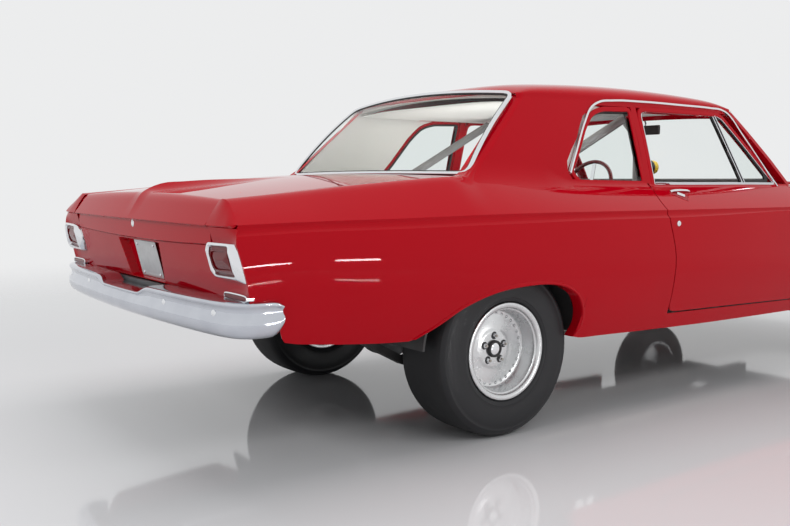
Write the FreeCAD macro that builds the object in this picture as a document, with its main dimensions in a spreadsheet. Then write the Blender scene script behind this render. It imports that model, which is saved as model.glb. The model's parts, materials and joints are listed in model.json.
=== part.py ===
import FreeCAD
import Part
import Sketcher
import math
import os
from FreeCAD import Placement, Rotation, Vector

# Drag racing car: a two-door sedan body on narrow front tyres and wide rear slicks.
# Millimetres. +X runs forward, +Y to the car's left, +Z up.
# The origin is on the floor, under the middle of the car's bounding box.

# Driving dimensions. Stations and places along the car are measured in X from the origin.
SIZES = {
    # overall
    "rear_axle_x": -1239.0,
    "wheelbase": 2946.0,
    "panel_gap": 6.0,
    "seat_clearance": 0.3,
    "hinge_leaf_width": 40.0,
    "hinge_leaf_height": 10.0,
    "door_lean": 0.17,
    "frame_lean": 0.28,
    "hinge_low": 600.0,
    "hinge_high": 850.0,
    "lid_hinge_offset": 60.0,
    "hood_hinge_offset": 560.0,
    # body shell
    "skin_thickness": 26.0,
    "door_thickness": 95.0,
    "pillar_thickness": 34.0,
    "glass_thickness": 5.0,
    "tail_x": -2486.0,
    "nose_x": 2490.0,
    "trunk_x": -1960.0,
    "door_rear_x": -262.0,
    "door_front_x": 966.0,
    "door_bottom_rear": 455.0,
    "door_bottom_front": 432.0,
    "door_rear_belly": 16.0,
    "door_belly_rise": 74.0,
    "door_lap": 60.0,
    "arch_radius_rear": 405.0,
    "arch_top_rear": 652.0,
    "arch_setback_rear": 20.0,
    "arch_radius_front": 400.0,
    "arch_drop_front": 40.0,
    # greenhouse
    "belt_height": 1047.0,
    "drip_height": 1461.0,
    "roof_crown": 95.0,
    "roof_thickness": 24.0,
    "belt_half_width": 768.0,
    "drip_half_width": 648.0,
    "windshield_base_x": 990.0,
    "windshield_base_half": 716.0,
    "windshield_bow": 120.0,
    "windshield_top_x": 575.0,
    "windshield_top_half": 618.0,
    "windshield_top_bow": 70.0,
    "rear_window_base_x": -1402.0,
    "rear_window_base_half": 744.0,
    "rear_window_bow": 35.0,
    "rear_window_top_x": -994.0,
    "rear_window_top_half": 646.0,
    "rear_window_top_bow": 45.0,
    "window_frame": 34.0,
    "rear_frame_share": 1.2,
    "glass_inset": 10.0,
    "glass_step": 20.0,
    "pillar_foot": 20.0,
    "door_pillar_width": 75.0,
    "sill_of_glass": 1062.0,
    "head_of_glass": 1412.0,
    "vent_bar_low_x": 545.0,
    "vent_bar_high_x": 404.0,
    "vent_front_low_x": 785.0,
    "vent_front_high_x": 505.0,
    "vent_bar_width": 18.0,
    "door_window_rear_x": -175.0,
    "quarter_window_front_x": -255.0,
    "quarter_window_sill": 10.0,
    "quarter_window_head": 8.0,
    "pillar_gap_x": -208.0,
    # trunk lid and hood
    "lid_half_width": 738.0,
    "lid_front_x": -1985.0,
    "lid_front_bow": 273.0,
    "lid_facet_x": -2470.0,
    "lid_rear_x": -2527.0,
    "lid_rear_bow": 9.0,
    "lid_rear_drop": 86.0,
    "lid_thickness": 20.0,
    "spine_half_width": 52.0,
    "spine_height": 29.0,
    "spine_front_x": -1800.0,
    "facet_rise": 80.0,
    "facet_run": 18.0,
    "deck_crown": 24.0,
    "hood_rear_x": 1150.0,
    "hood_front_x": 2470.0,
    "hood_crown": 26.0,
    "scoop_length": 620.0,
    "scoop_half_width": 260.0,
    "scoop_height": 110.0,
    "scoop_front_x": 2080.0,
    "scoop_rake": 30.0,
    "scoop_slope": 160.0,
    "scoop_tail": 30.0,
    "mouth_depth": 200.0,
    "mouth_wall": 25.0,
    "mouth_sill": 42.0,
    "mouth_roof": 18.0,
    # floor, tubs, rails
    "floor_top": 412.0,
    "floor_thickness": 12.0,
    "floor_half_width": "=sill_inner",
    "trunk_floor_top": 612.0,
    "kick_up_x": -790.0,
    "trunk_floor_half": 860.0,
    "trunk_floor_setback": 70.0,
    "bulkhead_x": -809.0,
    "shelf_half_width": 700.0,
    "tub_radius": 440.0,
    "tub_inner": 560.0,
    "tub_outer": 908.0,
    "tub_thickness": 10.0,
    "sill_inner": 782.0,
    "sill_outer": 893.0,
    "sill_bottom": 371.0,
    "sill_step": 9.0,
    "sill_inset": 20.0,
    "rail_offset": 400.0,
    "rail_width": 62.0,
    "rail_height": 70.0,
    "rail_end_gap": 20.0,
    "firewall_x": 1000.0,
    "firewall_thickness": 12.0,
    "firewall_drop": 36.0,
    "cowl_depth": 20.0,
    # wheels
    "rear_tyre_radius": 366.0,
    "rear_tyre_width": 268.0,
    "rear_tyre_outer": 869.0,
    "front_tyre_radius": 335.0,
    "front_tyre_width": 153.0,
    "front_tyre_outer": 799.0,
    "rim_seat_radius": 190.5,
    "rim_flange_radius": 207.0,
    "rim_flange_width": 9.0,
    "rim_wall": 9.0,
    "rear_dish": 88.0,
    "front_dish": 52.0,
    "rim_disc_thickness": 18.0,
    "rim_hub_radius": 62.0,
    "spindle_radius": 20.0,
    "spindle_clearance": 0.05,
    "lug_circle": 114.3,
    "lug_radius": 9.0,
    "lug_length": 26.0,
    # running gear
    "axle_tube_radius": 42.0,
    "differential_radius": 150.0,
    "differential_width": 190.0,
    "shaft_radius": 38.0,
    "pinion_base_radius": 110.0,
    "pinion_tip_radius": 60.0,
    "pinion_start": 60.0,
    "gearbox_shaft_height": 400.0,
    "spring_pad_half": 50.0,
    "hanger_half_width": 20.0,
    "spring_offset": 520.0,
    "spring_width": 60.0,
    "spring_thickness": 36.0,
    "kingpin_offset": 600.0,
    "knuckle_height": 250.0,
    "knuckle_width": 52.0,
    "arm_radius": 8.4,
    "arm_spread": 45.0,
    "cross_half_width": 60.0,
    "tower_thickness": 26.0,
    "steer_arm_length": 130.0,
    "engine_front_x": 1960.0,
    "engine_length": 700.0,
    "engine_half_width": 290.0,
    "engine_bottom": 330.0,
    "engine_height": 560.0,
    "gearbox_length": 640.0,
    "gearbox_half_width": 110.0,
    "gearbox_height": 230.0,
    "pipe_radius": 32.0,
    "pipe_offset": 250.0,
    "pipe_height": 290.0,
    "pipe_front_x": 1500.0,
    "pipe_length": 2150.0,
    "pipe_hanger_x": -400.0,
    "muffler_front_x": 420.0,
    "muffler_length": 420.0,
    "fuel_cell_length": 420.0,
    "fuel_cell_width": 560.0,
    "fuel_cell_height": 200.0,
    "radiator_width": 640.0,
    "radiator_height": 440.0,
    "radiator_thickness": 60.0,
    "radiator_x": 2110.0,
    # cabin
    "seat_offset": 385.0,
    "seat_width": 360.0,
    "seat_depth": 500.0,
    "seat_x": -34.0,
    "seat_cushion_top": 700.0,
    "seat_back_top": 1180.0,
    "seat_back_thickness": 120.0,
    "seat_back_rake": 50.0,
    "seat_foot_inset": 40.0,
    "seat_dip": 30.0,
    "dash_x": 780.0,
    "dash_depth": 220.0,
    "dash_bottom": 860.0,
    "dash_top": 1026.0,
    "dash_half_width": 722.0,
    "dash_brow": 50.0,
    "cage_tube_radius": 22.0,
    "hoop_x": -112.0,
    "hoop_half_width": 596.0,
    "hoop_top": 1412.0,
    "hoop_corner_drop": 120.0,
    "hoop_corner_run": 110.0,
    "side_bar_height": 850.0,
    "side_bar_front_x": 700.0,
    "side_bar_lift": 25.0,
    "shoulder_bar_height": 960.0,
    "diagonal_lift": 40.0,
    "brace_inset": 60.0,
    "brace_foot_gap": 48.0,
    "brace_foot_x": -1700.0,
    "brace_foot_half": 470.0,
    "column_x": 651.0,
    "column_offset": 400.0,
    "column_height": 1012.0,
    "column_tilt": 22.0,
    "column_radius": 26.0,
    "column_start": 45.0,
    "wheel_shaft_radius": 10.0,
    "wheel_shaft_length": 40.0,
    "wheel_dish": 30.0,
    "wheel_boss_radius": 38.0,
    "wheel_boss_length": 34.0,
    "wheel_spoke_radius": 9.0,
    "steering_wheel_radius": 200.0,
    "steering_rim_radius": 13.0,
    # bumpers, lamps and grille
    "rear_bumper_x": -2583.0,
    "rear_bumper_bottom": 500.0,
    "rear_bumper_height": 150.0,
    "bumper_horn_height": 45.0,
    "bumper_horn_depth": 14.0,
    "bumper_dip_half": 200.0,
    "bumper_dip_slope": 100.0,
    "bumper_depth": 70.0,
    "bumper_half_width": 960.0,
    "rear_bumper_wrap": 235.0,
    "front_bumper_wrap": 200.0,
    "bumper_bow": 90.0,
    "bumper_bracket_half": 20.0,
    "bumper_bracket_bottom": 540.0,
    "bumper_bracket_top": 588.0,
    "front_bumper_bottom": 440.0,
    "front_bumper_height": 130.0,
    "lamp_inner": 742.0,
    "lamp_outer": 917.0,
    "lamp_low": 738.0,
    "lamp_mid": 802.0,
    "lamp_high": 869.0,
    "lamp_depth": 46.0,
    "lamp_low_depth": 14.0,
    "lamp_high_depth": 38.0,
    "headlamp_radius": 89.0,
    "headlamp_offset": 740.0,
    "headlamp_rise": 150.0,
    "headlamp_height": "=grille_bottom + headlamp_rise",
    "headlamp_depth": 80.0,
    "grille_bottom": 640.0,
    "grille_top": 930.0,
    "grille_half_width": 640.0,
    "grille_frame_side": 20.0,
    "grille_frame_edge": 14.0,
    "grille_first_bar": 34.0,
    "nose_drop": 50.0,
    "grille_bar_height": 12.0,
    "grille_bar_depth": 24.0,
    "grille_bar_count": 9.0,
    "plate_hole_spacing_y": 178.0,
    "plate_hole_spacing_z": 120.0,
    "plate_hole_radius": 3.5,
    "plate_height": 757.0,
    "recess_depth": 35.0,
    "recess_half_width": 165.0,
    "recess_half_height": 80.0,
    "recess_flare": 34.0,
    "recess_wall": 6.0,
    "jack_pad_x": 300.0,
    "jack_pad_length": 90.0,
    "jack_pad_depth": 12.0,
    "marker_inner": 796.0,
    "marker_outer": 846.0,
    "marker_low": 664.0,
    "marker_high": 702.0,
    "marker_depth": 3.0,
    "tunnel_radius": 180.0,
    "tail_panel_thickness": 16.0,
    "tail_panel_bottom": 656.0,
    "nose_panel_x": 2440.0,
    "gearbox_drop": 30.0,
    "muffler_radius": 62.0,
    "pin_radius": 8.0,
    "boss_radius": 18.0,
    "cross_member_width": 90.0,
    "seat_base_thickness": 160.0,
    "shelf_thickness": 12.0,
}

# Table of offsets of the body side: each line's half width and height at each station.
STATIONS = ("tail", "trunk", "rear_axle", "door_rear", "door_front", "front_axle", "nose")
OFFSETS = {
    "rocker": ((899.0, 896.0, 894.0, 894.0, 894.0, 890.0, 880.0),
               (535.0, 481.0, 428.0, 377.0, 371.0, 400.0, 452.0)),
    "flank": ((936.0, 938.0, 938.0, 938.0, 936.0, 930.0, 912.0),
              (625.0, 585.0, 530.0, 500.0, 490.0, 495.0, 520.0)),
    "crease": ((950.0, 957.0, 960.0, 960.0, 957.0, 951.0, 930.0),
               (728.0, 706.0, 656.0, 646.0, 622.0, 612.0, 608.0)),
    "band_low": ((943.0, 950.0, 953.0, 953.0, 950.0, 943.0, 922.0),
                 (896.0, 902.0, 905.0, 907.0, 913.0, 914.0, 905.0)),
    "band_top": ((932.0, 940.0, 943.0, 943.0, 941.0, 932.0, 910.0),
                 (932.0, 938.0, 947.0, 942.0, 937.0, 934.0, 922.0)),
    "ridge": ((787.0, 787.0, 785.0, "=belt_half_width + 7", "=belt_half_width + 7", 790.0, 800.0),
              (1022.0, 1060.0, 1086.0, 1057.0, 1050.0, 1026.0, 980.0)),
    "shelf": ((744.0, 744.0, 744.0, "=belt_half_width - skin_thickness",
               "=belt_half_width - skin_thickness", 706.0, 706.0),
              (1014.0, 1060.0, 1090.0, 1059.0, 1051.0, 1030.0, 985.0)),
}

# Side-view corners, each from the point that its name gives.
DOOR_REAR_EDGE = ((-12.0, -42.0), (-44.0, -92.0), (-43.0, -161.0), (2.0, -340.0))  # door rear, belt height
DOOR_REAR_CORNER = ((-2.0, 24.0), (16.0, 6.0), (66.0, 0.0))  # door rear, door bottom
QUARTER_WINDOW_TOP = ((0.0, 0.0), (-255.0, 0.0), (-300.0, -10.0), (-325.0, -34.0))  # window front, window top
QUARTER_WINDOW_LOW = ((-505.0, 70.0), (-512.0, 40.0), (-495.0, 8.0), (0.0, 0.0))  # window front, window bottom
REAR_ARCH_SLOPE = ((-250.0, 600.0), (-530.0, 465.0), (-530.0, 300.0), (385.0, 300.0), (398.0, 460.0),
                   (300.0, 560.0))  # arch centre, floor
TAIL_NOTCH = ((-100.0, 400.0), (156.0, 400.0), (156.0, 560.0), (116.0, 681.0), (68.0, 718.0), (10.0, 732.0),
              (-100.0, 732.0))  # tail, floor
NOSE_NOTCH = ((100.0, 300.0), (-160.0, 300.0), (-160.0, 500.0), (-120.0, 585.0), (100.0, 600.0))  # nose, floor
LEAF_SPRING = ((560.0, 40.0), (200.0, 4.0), (0.0, 0.0), (-300.0, 12.0), (-560.0, 150.0))  # axle, spring seat
SPINE_RISE = ((0.0, 0.4), (0.04, 0.85), (0.14, 1.0), (0.45, 0.8), (1.0, 0.1))  # share of its run, of its height

# Reaches of the blocks that cut or keep whole regions of the car.
FAR = 3000.0
ABOVE = 2000.0
BESIDE = 1000.0
INSIDE = 500.0
SIDE_SKIN = 850.0
NOTCH_SIDE = 800.0

doc = FreeCAD.newDocument("drag_racing_car")
sheet = doc.addObject("Spreadsheet::Sheet", "sizes")
pieces = []


def fill_sheet():
    """Write every driving dimension and every offset of the body side into the sheet."""
    rows = list(SIZES.items())
    for line, (widths, heights) in OFFSETS.items():
        for station, width, height in zip(STATIONS, widths, heights):
            rows.append((f"{line}_half_{station}", width))
            rows.append((f"{line}_height_{station}", height))
    for number, (alias, value) in enumerate(rows, start=1):
        sheet.set(f"A{number}", alias)
        sheet.set(f"B{number}", str(value))
        sheet.setAlias(f"B{number}", alias)
    doc.recompute()


def size(alias):
    """Value of one named size."""
    return float(sheet.get(alias))


def front_axle_x():
    """Place of the front axle."""
    return size("rear_axle_x") + size("wheelbase")


def keep(item, label):
    """Name a finished piece and list it for export."""
    item.Label = label
    pieces.append(item)
    return item


# Sketch and feature helpers


def origin_plane(body, role):
    """One of the origin planes of a body, by its role."""
    return [feature for feature in body.Origin.OriginFeatures if feature.Role == role][0]


def new_body(label):
    """An empty body that is a piece of the car."""
    return keep(doc.addObject("PartDesign::Body", label), label)


def new_sketch(body, role, name):
    """A sketch on an origin plane of its own body."""
    sketch = body.newObject("Sketcher::SketchObject", name)
    sketch.AttachmentSupport = [(origin_plane(body, role), "")]
    sketch.MapMode = "FlatFace"
    return sketch


def draw_outline(sketch, corners):
    """Draw a closed outline, with each corner held by two expressions from the sheet."""
    start = sketch.GeometryCount
    total = len(corners)
    places = [Vector(evaluate(across), evaluate(up), 0) for across, up in corners]
    for index in range(total):
        line = Part.LineSegment(places[index], places[(index + 1) % total])
        sketch.addGeometry(line, False)
    for index in range(total):
        following = start + (index + 1) % total
        sketch.addConstraint(Sketcher.Constraint("Coincident", start + index, 2, following, 1))
    for index, (across, up) in enumerate(corners):
        for kind, formula in (("DistanceX", across), ("DistanceY", up)):
            value = evaluate(formula)
            rule = Sketcher.Constraint(kind, -1, 1, start + index, 1, value)
            number = sketch.addConstraint(rule)
            sketch.setExpression(f"Constraints[{number}]", formula)


def draw_circle(sketch, across, up, radius):
    """Draw a circle held by expressions for its centre and radius."""
    centre = Vector(evaluate(across), evaluate(up), 0)
    number = sketch.addGeometry(Part.Circle(centre, Vector(0, 0, 1), evaluate(radius)), False)
    rules = (("DistanceX", across), ("DistanceY", up))
    for kind, formula in rules:
        rule = sketch.addConstraint(Sketcher.Constraint(kind, -1, 1, number, 3, evaluate(formula)))
        sketch.setExpression(f"Constraints[{rule}]", formula)
    rule = sketch.addConstraint(Sketcher.Constraint("Radius", number, evaluate(radius)))
    sketch.setExpression(f"Constraints[{rule}]", radius)


def evaluate(formula):
    """Value of an expression written with the sheet's names."""
    return float(sheet.evalExpression(formula.replace("sizes.", "")))


def pad(body, sketch, length, name, midplane=False, reverse=False):
    """Pad a sketch by an expression."""
    feature = body.newObject("PartDesign::Pad", name)
    feature.Profile = sketch
    feature.Length = evaluate(length)
    feature.setExpression("Length", length)
    feature.Midplane = midplane
    feature.Reversed = reverse
    sketch.Visibility = False
    doc.recompute()
    return feature


def revolve(body, sketch, name):
    """Revolve a sketch about its own vertical axis."""
    feature = body.newObject("PartDesign::Revolution", name)
    feature.Profile = sketch
    feature.ReferenceAxis = (sketch, ["V_Axis"])
    feature.Angle = 360.0
    doc.recompute()
    return feature


def place(item, x="0", y="0", z="0"):
    """Bind the place of a piece to expressions."""
    for axis, formula in (("x", x), ("y", y), ("z", z)):
        item.setExpression(f"Placement.Base.{axis}", formula)


def rod(name, start, end, radius):
    """A round bar between two points, with its radius bound to the sheet."""
    item = doc.addObject("Part::Cylinder", name)
    run = end - start
    item.setExpression("Radius", radius)
    item.Height = run.Length
    item.Placement = Placement(start, Rotation(Vector(0, 0, 1), run))
    return item


def join(items, label):
    """Fuse several solids into one piece."""
    item = doc.addObject("Part::MultiFuse", label)
    item.Shapes = items
    return keep(item, label)


def mirrored(source, label):
    """The same piece on the other side of the car."""
    item = doc.addObject("Part::Mirroring", label)
    item.Source = source
    item.Normal = Vector(0, 1, 0)
    return keep(item, label)


def computed(shape, label):
    """A piece whose surface is worked out from the sheet."""
    item = doc.addObject("Part::Feature", label)
    item.Shape = shape
    item.Placement = Placement()
    return keep(item, label)


def shape_of(label):
    """Shape of a piece that is already made."""
    return [item.Shape for item in pieces if item.Label == label][0]


# Body surface


def station_x(station):
    """Place of a station along the car."""
    places = {
        "tail": size("tail_x"),
        "trunk": size("trunk_x"),
        "rear_axle": size("rear_axle_x"),
        "door_rear": size("door_rear_x"),
        "door_front": size("door_front_x"),
        "front_axle": front_axle_x(),
        "nose": size("nose_x"),
    }
    return places[station]


def offset(line, x):
    """Half width and height of a body line at any place along the car."""
    xs = [station_x(station) for station in STATIONS]
    index = 0
    while index < len(xs) - 2 and x > xs[index + 1]:
        index += 1
    share = (x - xs[index]) / (xs[index + 1] - xs[index])
    values = []
    for kind in ("half", "height"):
        rear = size(f"{line}_{kind}_{STATIONS[index]}")
        front = size(f"{line}_{kind}_{STATIONS[index + 1]}")
        values.append(rear + share * (front - rear))
    return values


def thicken(points, thickness):
    """Close a run of section points with the same run moved inwards by the wall."""
    inner = []
    for index, (across, up) in enumerate(points):
        back = points[max(index - 1, 0)]
        ahead = points[min(index + 1, len(points) - 1)]
        run = math.hypot(ahead[0] - back[0], ahead[1] - back[1])
        normal = (-(ahead[1] - back[1]) / run, (ahead[0] - back[0]) / run)
        inner.append((across + thickness * normal[0], up + thickness * normal[1]))
    return points + inner[::-1]


def loft_sections(sections):
    """A solid through closed sections, each a place along the car and its points."""
    wires = []
    for x, points in sections:
        corners = [Vector(x, across, up) for across, up in points]
        wires.append(Part.makePolygon(corners + corners[:1]))
    return Part.makeLoft(wires, True, True)


def side_wall(lines, thickness, low_x, high_x):
    """The left side of the body between two places along the car."""
    inside = [station_x(station) for station in STATIONS]
    places = [low_x] + [x for x in inside if low_x < x < high_x] + [high_x]
    sections = []
    for x in places:
        outline = thicken([tuple(offset(line, x)) for line in lines], thickness)
        del outline[-1 - lines.index("band_low")]
        sections.append((x, outline))
    return loft_sections(sections)


def door_slab(low_x, high_x):
    """The whole thickness of the door below its window, between two places along the car."""
    lines = ("rocker", "flank", "crease", "band_low", "band_top", "ridge")
    depth = size("door_thickness")
    sections = []
    for x in (low_x, size("door_rear_x"), high_x):
        outer = [tuple(offset(line, x)) for line in lines]
        inner_top = offset("shelf", x)
        inner_low = outer[0]
        waist = (outer[2][0] - depth, outer[3][1] - depth / 2)
        inner = [(inner_top[0], inner_top[1]), (inner_top[0], inner_top[1] - depth), waist]
        inner.append((outer[2][0] - depth, inner_low[1]))
        sections.append((x, outer + inner))
    return loft_sections(sections)


def prism_xz(outline, low_y, high_y):
    """A prism across the car with a side-view outline."""
    corners = [Vector(x, low_y, z) for x, z in outline]
    face = Part.Face(Part.makePolygon(corners + corners[:1]))
    return face.extrude(Vector(0, high_y - low_y, 0))


def block(low, high):
    """A plain box between two corners."""
    span = Vector(*high) - Vector(*low)
    return Part.makeBox(span.x, span.y, span.z, Vector(*low))


def mirror(shape):
    """A shape on the other side of the car."""
    return shape.mirror(Vector(0, 0, 0), Vector(0, 1, 0))


def loop(height, front, rear, inset):
    """Closed outline of the greenhouse at one height: two bowed ends and two straight sides.

    front and rear are (corner x, corner half width, bow).
    """
    front_x, front_half, front_bow = front
    rear_x, rear_half, rear_bow = rear
    front_left = Vector(front_x - inset, front_half - inset, height)
    front_right = Vector(front_x - inset, inset - front_half, height)
    rear_left = Vector(rear_x + inset, rear_half - inset, height)
    rear_right = Vector(rear_x + inset, inset - rear_half, height)
    nose = Vector(front_x + front_bow - inset, 0, height)
    tail = Vector(rear_x - rear_bow + inset, 0, height)
    edges = [
        Part.Arc(front_right, nose, front_left).toShape(),
        Part.LineSegment(front_left, rear_left).toShape(),
        Part.Arc(rear_left, tail, rear_right).toShape(),
        Part.LineSegment(rear_right, front_right).toShape(),
    ]
    return Part.Wire(edges)


def greenhouse(inset):
    """Solid between the belt and the roof, moved in from the outer surface."""
    base_front = (size("windshield_base_x"), size("belt_half_width"), size("windshield_bow"))
    base_rear = (size("rear_window_base_x"), size("belt_half_width"), size("rear_window_bow"))
    top_front = (size("windshield_top_x"), size("drip_half_width"), size("windshield_top_bow"))
    top_rear = (size("rear_window_top_x"), size("drip_half_width"), size("rear_window_top_bow"))
    base = loop(size("belt_height"), base_front, base_rear, inset)
    top = loop(size("drip_height"), top_front, top_rear, inset)
    return Part.makeLoft([base, top], True, True)


def side_glass_x(height, base_x, top_x):
    """Place along a pillar line at a height between the belt and the drip rail."""
    share = (height - size("belt_height")) / (size("drip_height") - size("belt_height"))
    return base_x + share * (top_x - base_x)


def outer_half(height):
    """Half width of the car beside the door's rear edge, at one height."""
    belt = size("belt_height")
    if height > belt:
        share = (height - belt) / (size("drip_height") - belt)
        return size("belt_half_width") + share * (size("drip_half_width") - size("belt_half_width"))
    lines = ("rocker", "flank", "crease", "band_low", "band_top", "ridge")
    levels = [offset(line, size("door_rear_x")) for line in lines]
    for (low_half, low), (high_half, high) in zip(levels, levels[1:]):
        if height <= high:
            return low_half + (high_half - low_half) * (height - low) / (high - low)
    return levels[-1][0]


def door_outline(extra):
    """Side-view outline of the door on its outer skin, widened all round by extra."""
    rear = size("door_rear_x")
    front = size("door_front_x")
    low_rear = size("door_bottom_rear")
    belt = size("belt_height")
    top = size("head_of_glass") + size("window_frame") / 2
    pillar = size("door_pillar_width")
    head = side_glass_x(top, size("windshield_base_x"), size("windshield_top_x"))
    corners = [(rear + along, low_rear + up) for along, up in DOOR_REAR_CORNER]
    corners += [
        (front, size("door_bottom_front")),
        (front, belt),
        (size("windshield_base_x") - pillar, belt),
        (head - pillar, top),
        (size("pillar_gap_x"), top),
        (size("pillar_gap_x"), belt + size("pillar_foot")),
    ]
    corners += [(rear + along, belt + up) for along, up in DOOR_REAR_EDGE]
    corners.append((rear - size("door_rear_belly"), low_rear + size("door_belly_rise")))
    return moved_outline(corners, extra)


def moved_outline(corners, extra):
    """Side-view outline with every edge moved out by extra, or in where extra is negative."""
    if extra == 0:
        return corners
    face = Part.Face(Part.makePolygon([Vector(x, 0, z) for x, z in corners + corners[:1]]))
    grown = face.makeOffset2D(extra, join=2)
    return [(point.Point.x, point.Point.z) for point in grown.OuterWire.OrderedVertexes]


def door_prism(extra):
    """Prism across the car with the door's outline.

    Its rear edge leans forward towards the cabin, inside the path of the swinging door.
    """
    outline = door_outline(extra)
    wires = []
    for across in (INSIDE, BESIDE):
        corners = []
        for x, z in outline:
            if x < 0:
                lean = size("frame_lean") if z > size("belt_height") else size("door_lean")
                x += lean * (outer_half(z) - across)
            corners.append(Vector(x, across, z))
        wires.append(Part.makePolygon(corners + corners[:1]))
    return Part.makeLoft(wires, True, True)


def door_window():
    """Side-view outline of the window opening in the door."""
    low = size("sill_of_glass")
    high = size("head_of_glass")
    return [
        (size("door_window_rear_x"), low),
        (size("vent_bar_low_x"), low),
        (size("vent_bar_high_x"), high),
        (size("door_window_rear_x"), high),
    ]


def vent_window(inset):
    """Side-view outline of the vent window, made smaller all round by inset."""
    low = size("sill_of_glass")
    high = size("head_of_glass")
    bar = size("vent_bar_width")
    corners = [
        (size("vent_bar_low_x") + bar, low),
        (size("vent_front_low_x"), low),
        (size("vent_front_high_x"), high),
        (size("vent_bar_high_x") + bar, high),
    ]
    return moved_outline(corners, -inset)


def quarter_window():
    """Side-view outline of the fixed window behind the door."""
    low = size("sill_of_glass") + size("quarter_window_sill")
    high = size("head_of_glass") + size("quarter_window_head")
    front = size("quarter_window_front_x")
    upper = [(front + along, high + up) for along, up in QUARTER_WINDOW_TOP]
    lower = [(front + along, low + up) for along, up in QUARTER_WINDOW_LOW]
    return upper + lower


def arch(centre_x, centre_z, radius, low_y, high_y):
    """A round wheel opening across the body side."""
    start = Vector(centre_x, low_y, centre_z)
    return Part.makeCylinder(radius, high_y - low_y, start, Vector(0, 1, 0))


def rear_arch():
    """Opening over the rear wheel, with its top at the lip's height."""
    top = size("arch_top_rear")
    radius = size("arch_radius_rear")
    x = size("rear_axle_x") - size("arch_setback_rear")
    round_part = arch(x, top - radius, radius, SIDE_SKIN, BESIDE)
    slope = prism_xz([(x + along, up) for along, up in REAR_ARCH_SLOPE], SIDE_SKIN, BESIDE)
    return round_part.fuse(slope)


def front_arch():
    """Opening over the front wheel."""
    x = front_axle_x()
    centre = size("front_tyre_radius") - size("arch_drop_front")
    return arch(x, centre, size("arch_radius_front"), SIDE_SKIN, BESIDE)


def window_block(half_low, half_high, low, high, reach):
    """Block that tapers upwards, from the middle of the cabin out through one end's window."""
    corners = [(-half_low, low), (half_low, low), (half_high, high), (-half_high, high)]
    outline = [Vector(0, y, z) for y, z in corners + corners[:1]]
    return Part.Face(Part.makePolygon(outline)).extrude(Vector(reach, 0, 0))


def shell():
    """Pillars and window frames of the greenhouse as one closed ring."""
    ring = greenhouse(0).cut(greenhouse(size("pillar_thickness")))
    frame = size("window_frame")
    low = size("sill_of_glass")
    high = size("head_of_glass") + size("glass_step")
    half_low = size("windshield_base_half") - frame
    half_high = size("windshield_top_half") - frame
    ring = ring.cut(window_block(half_low, half_high, low, high, FAR))
    half_low = size("rear_window_base_half") - size("rear_frame_share") * frame
    half_high = size("rear_window_top_half") - frame
    low = size("sill_of_glass") + size("glass_step")
    return ring.cut(window_block(half_low, half_high, low, high, -FAR))


def deck_section(x, half, thickness, crown):
    """Closed section of a crowned lid between the two shoulders."""
    edge = offset("shelf", x)[1]
    upper = []
    for step in range(-4, 5):
        share = step / 4
        upper.append((half * share, edge + crown * (1 - share * share)))
    lower = [(across, up - thickness) for across, up in upper[::-1]]
    return upper + lower


def bowed_outline(half, rear_x, rear_bow, front_x, front_bow):
    """Top-view outline with straight sides and arched ends, as a face at floor level."""
    corners = [Vector(rear_x, -half, 0), Vector(front_x, -half, 0), Vector(front_x, half, 0),
               Vector(rear_x, half, 0)]
    back = Part.LineSegment(corners[3], corners[0])
    if rear_bow:
        back = Part.Arc(corners[3], Vector(rear_x - rear_bow, 0, 0), corners[0])
    edges = [
        Part.LineSegment(corners[0], corners[1]).toShape(),
        Part.Arc(corners[1], Vector(front_x + front_bow, 0, 0), corners[2]).toShape(),
        Part.LineSegment(corners[2], corners[3]).toShape(),
        back.toShape(),
    ]
    return Part.Face(Part.Wire(edges))


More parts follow.
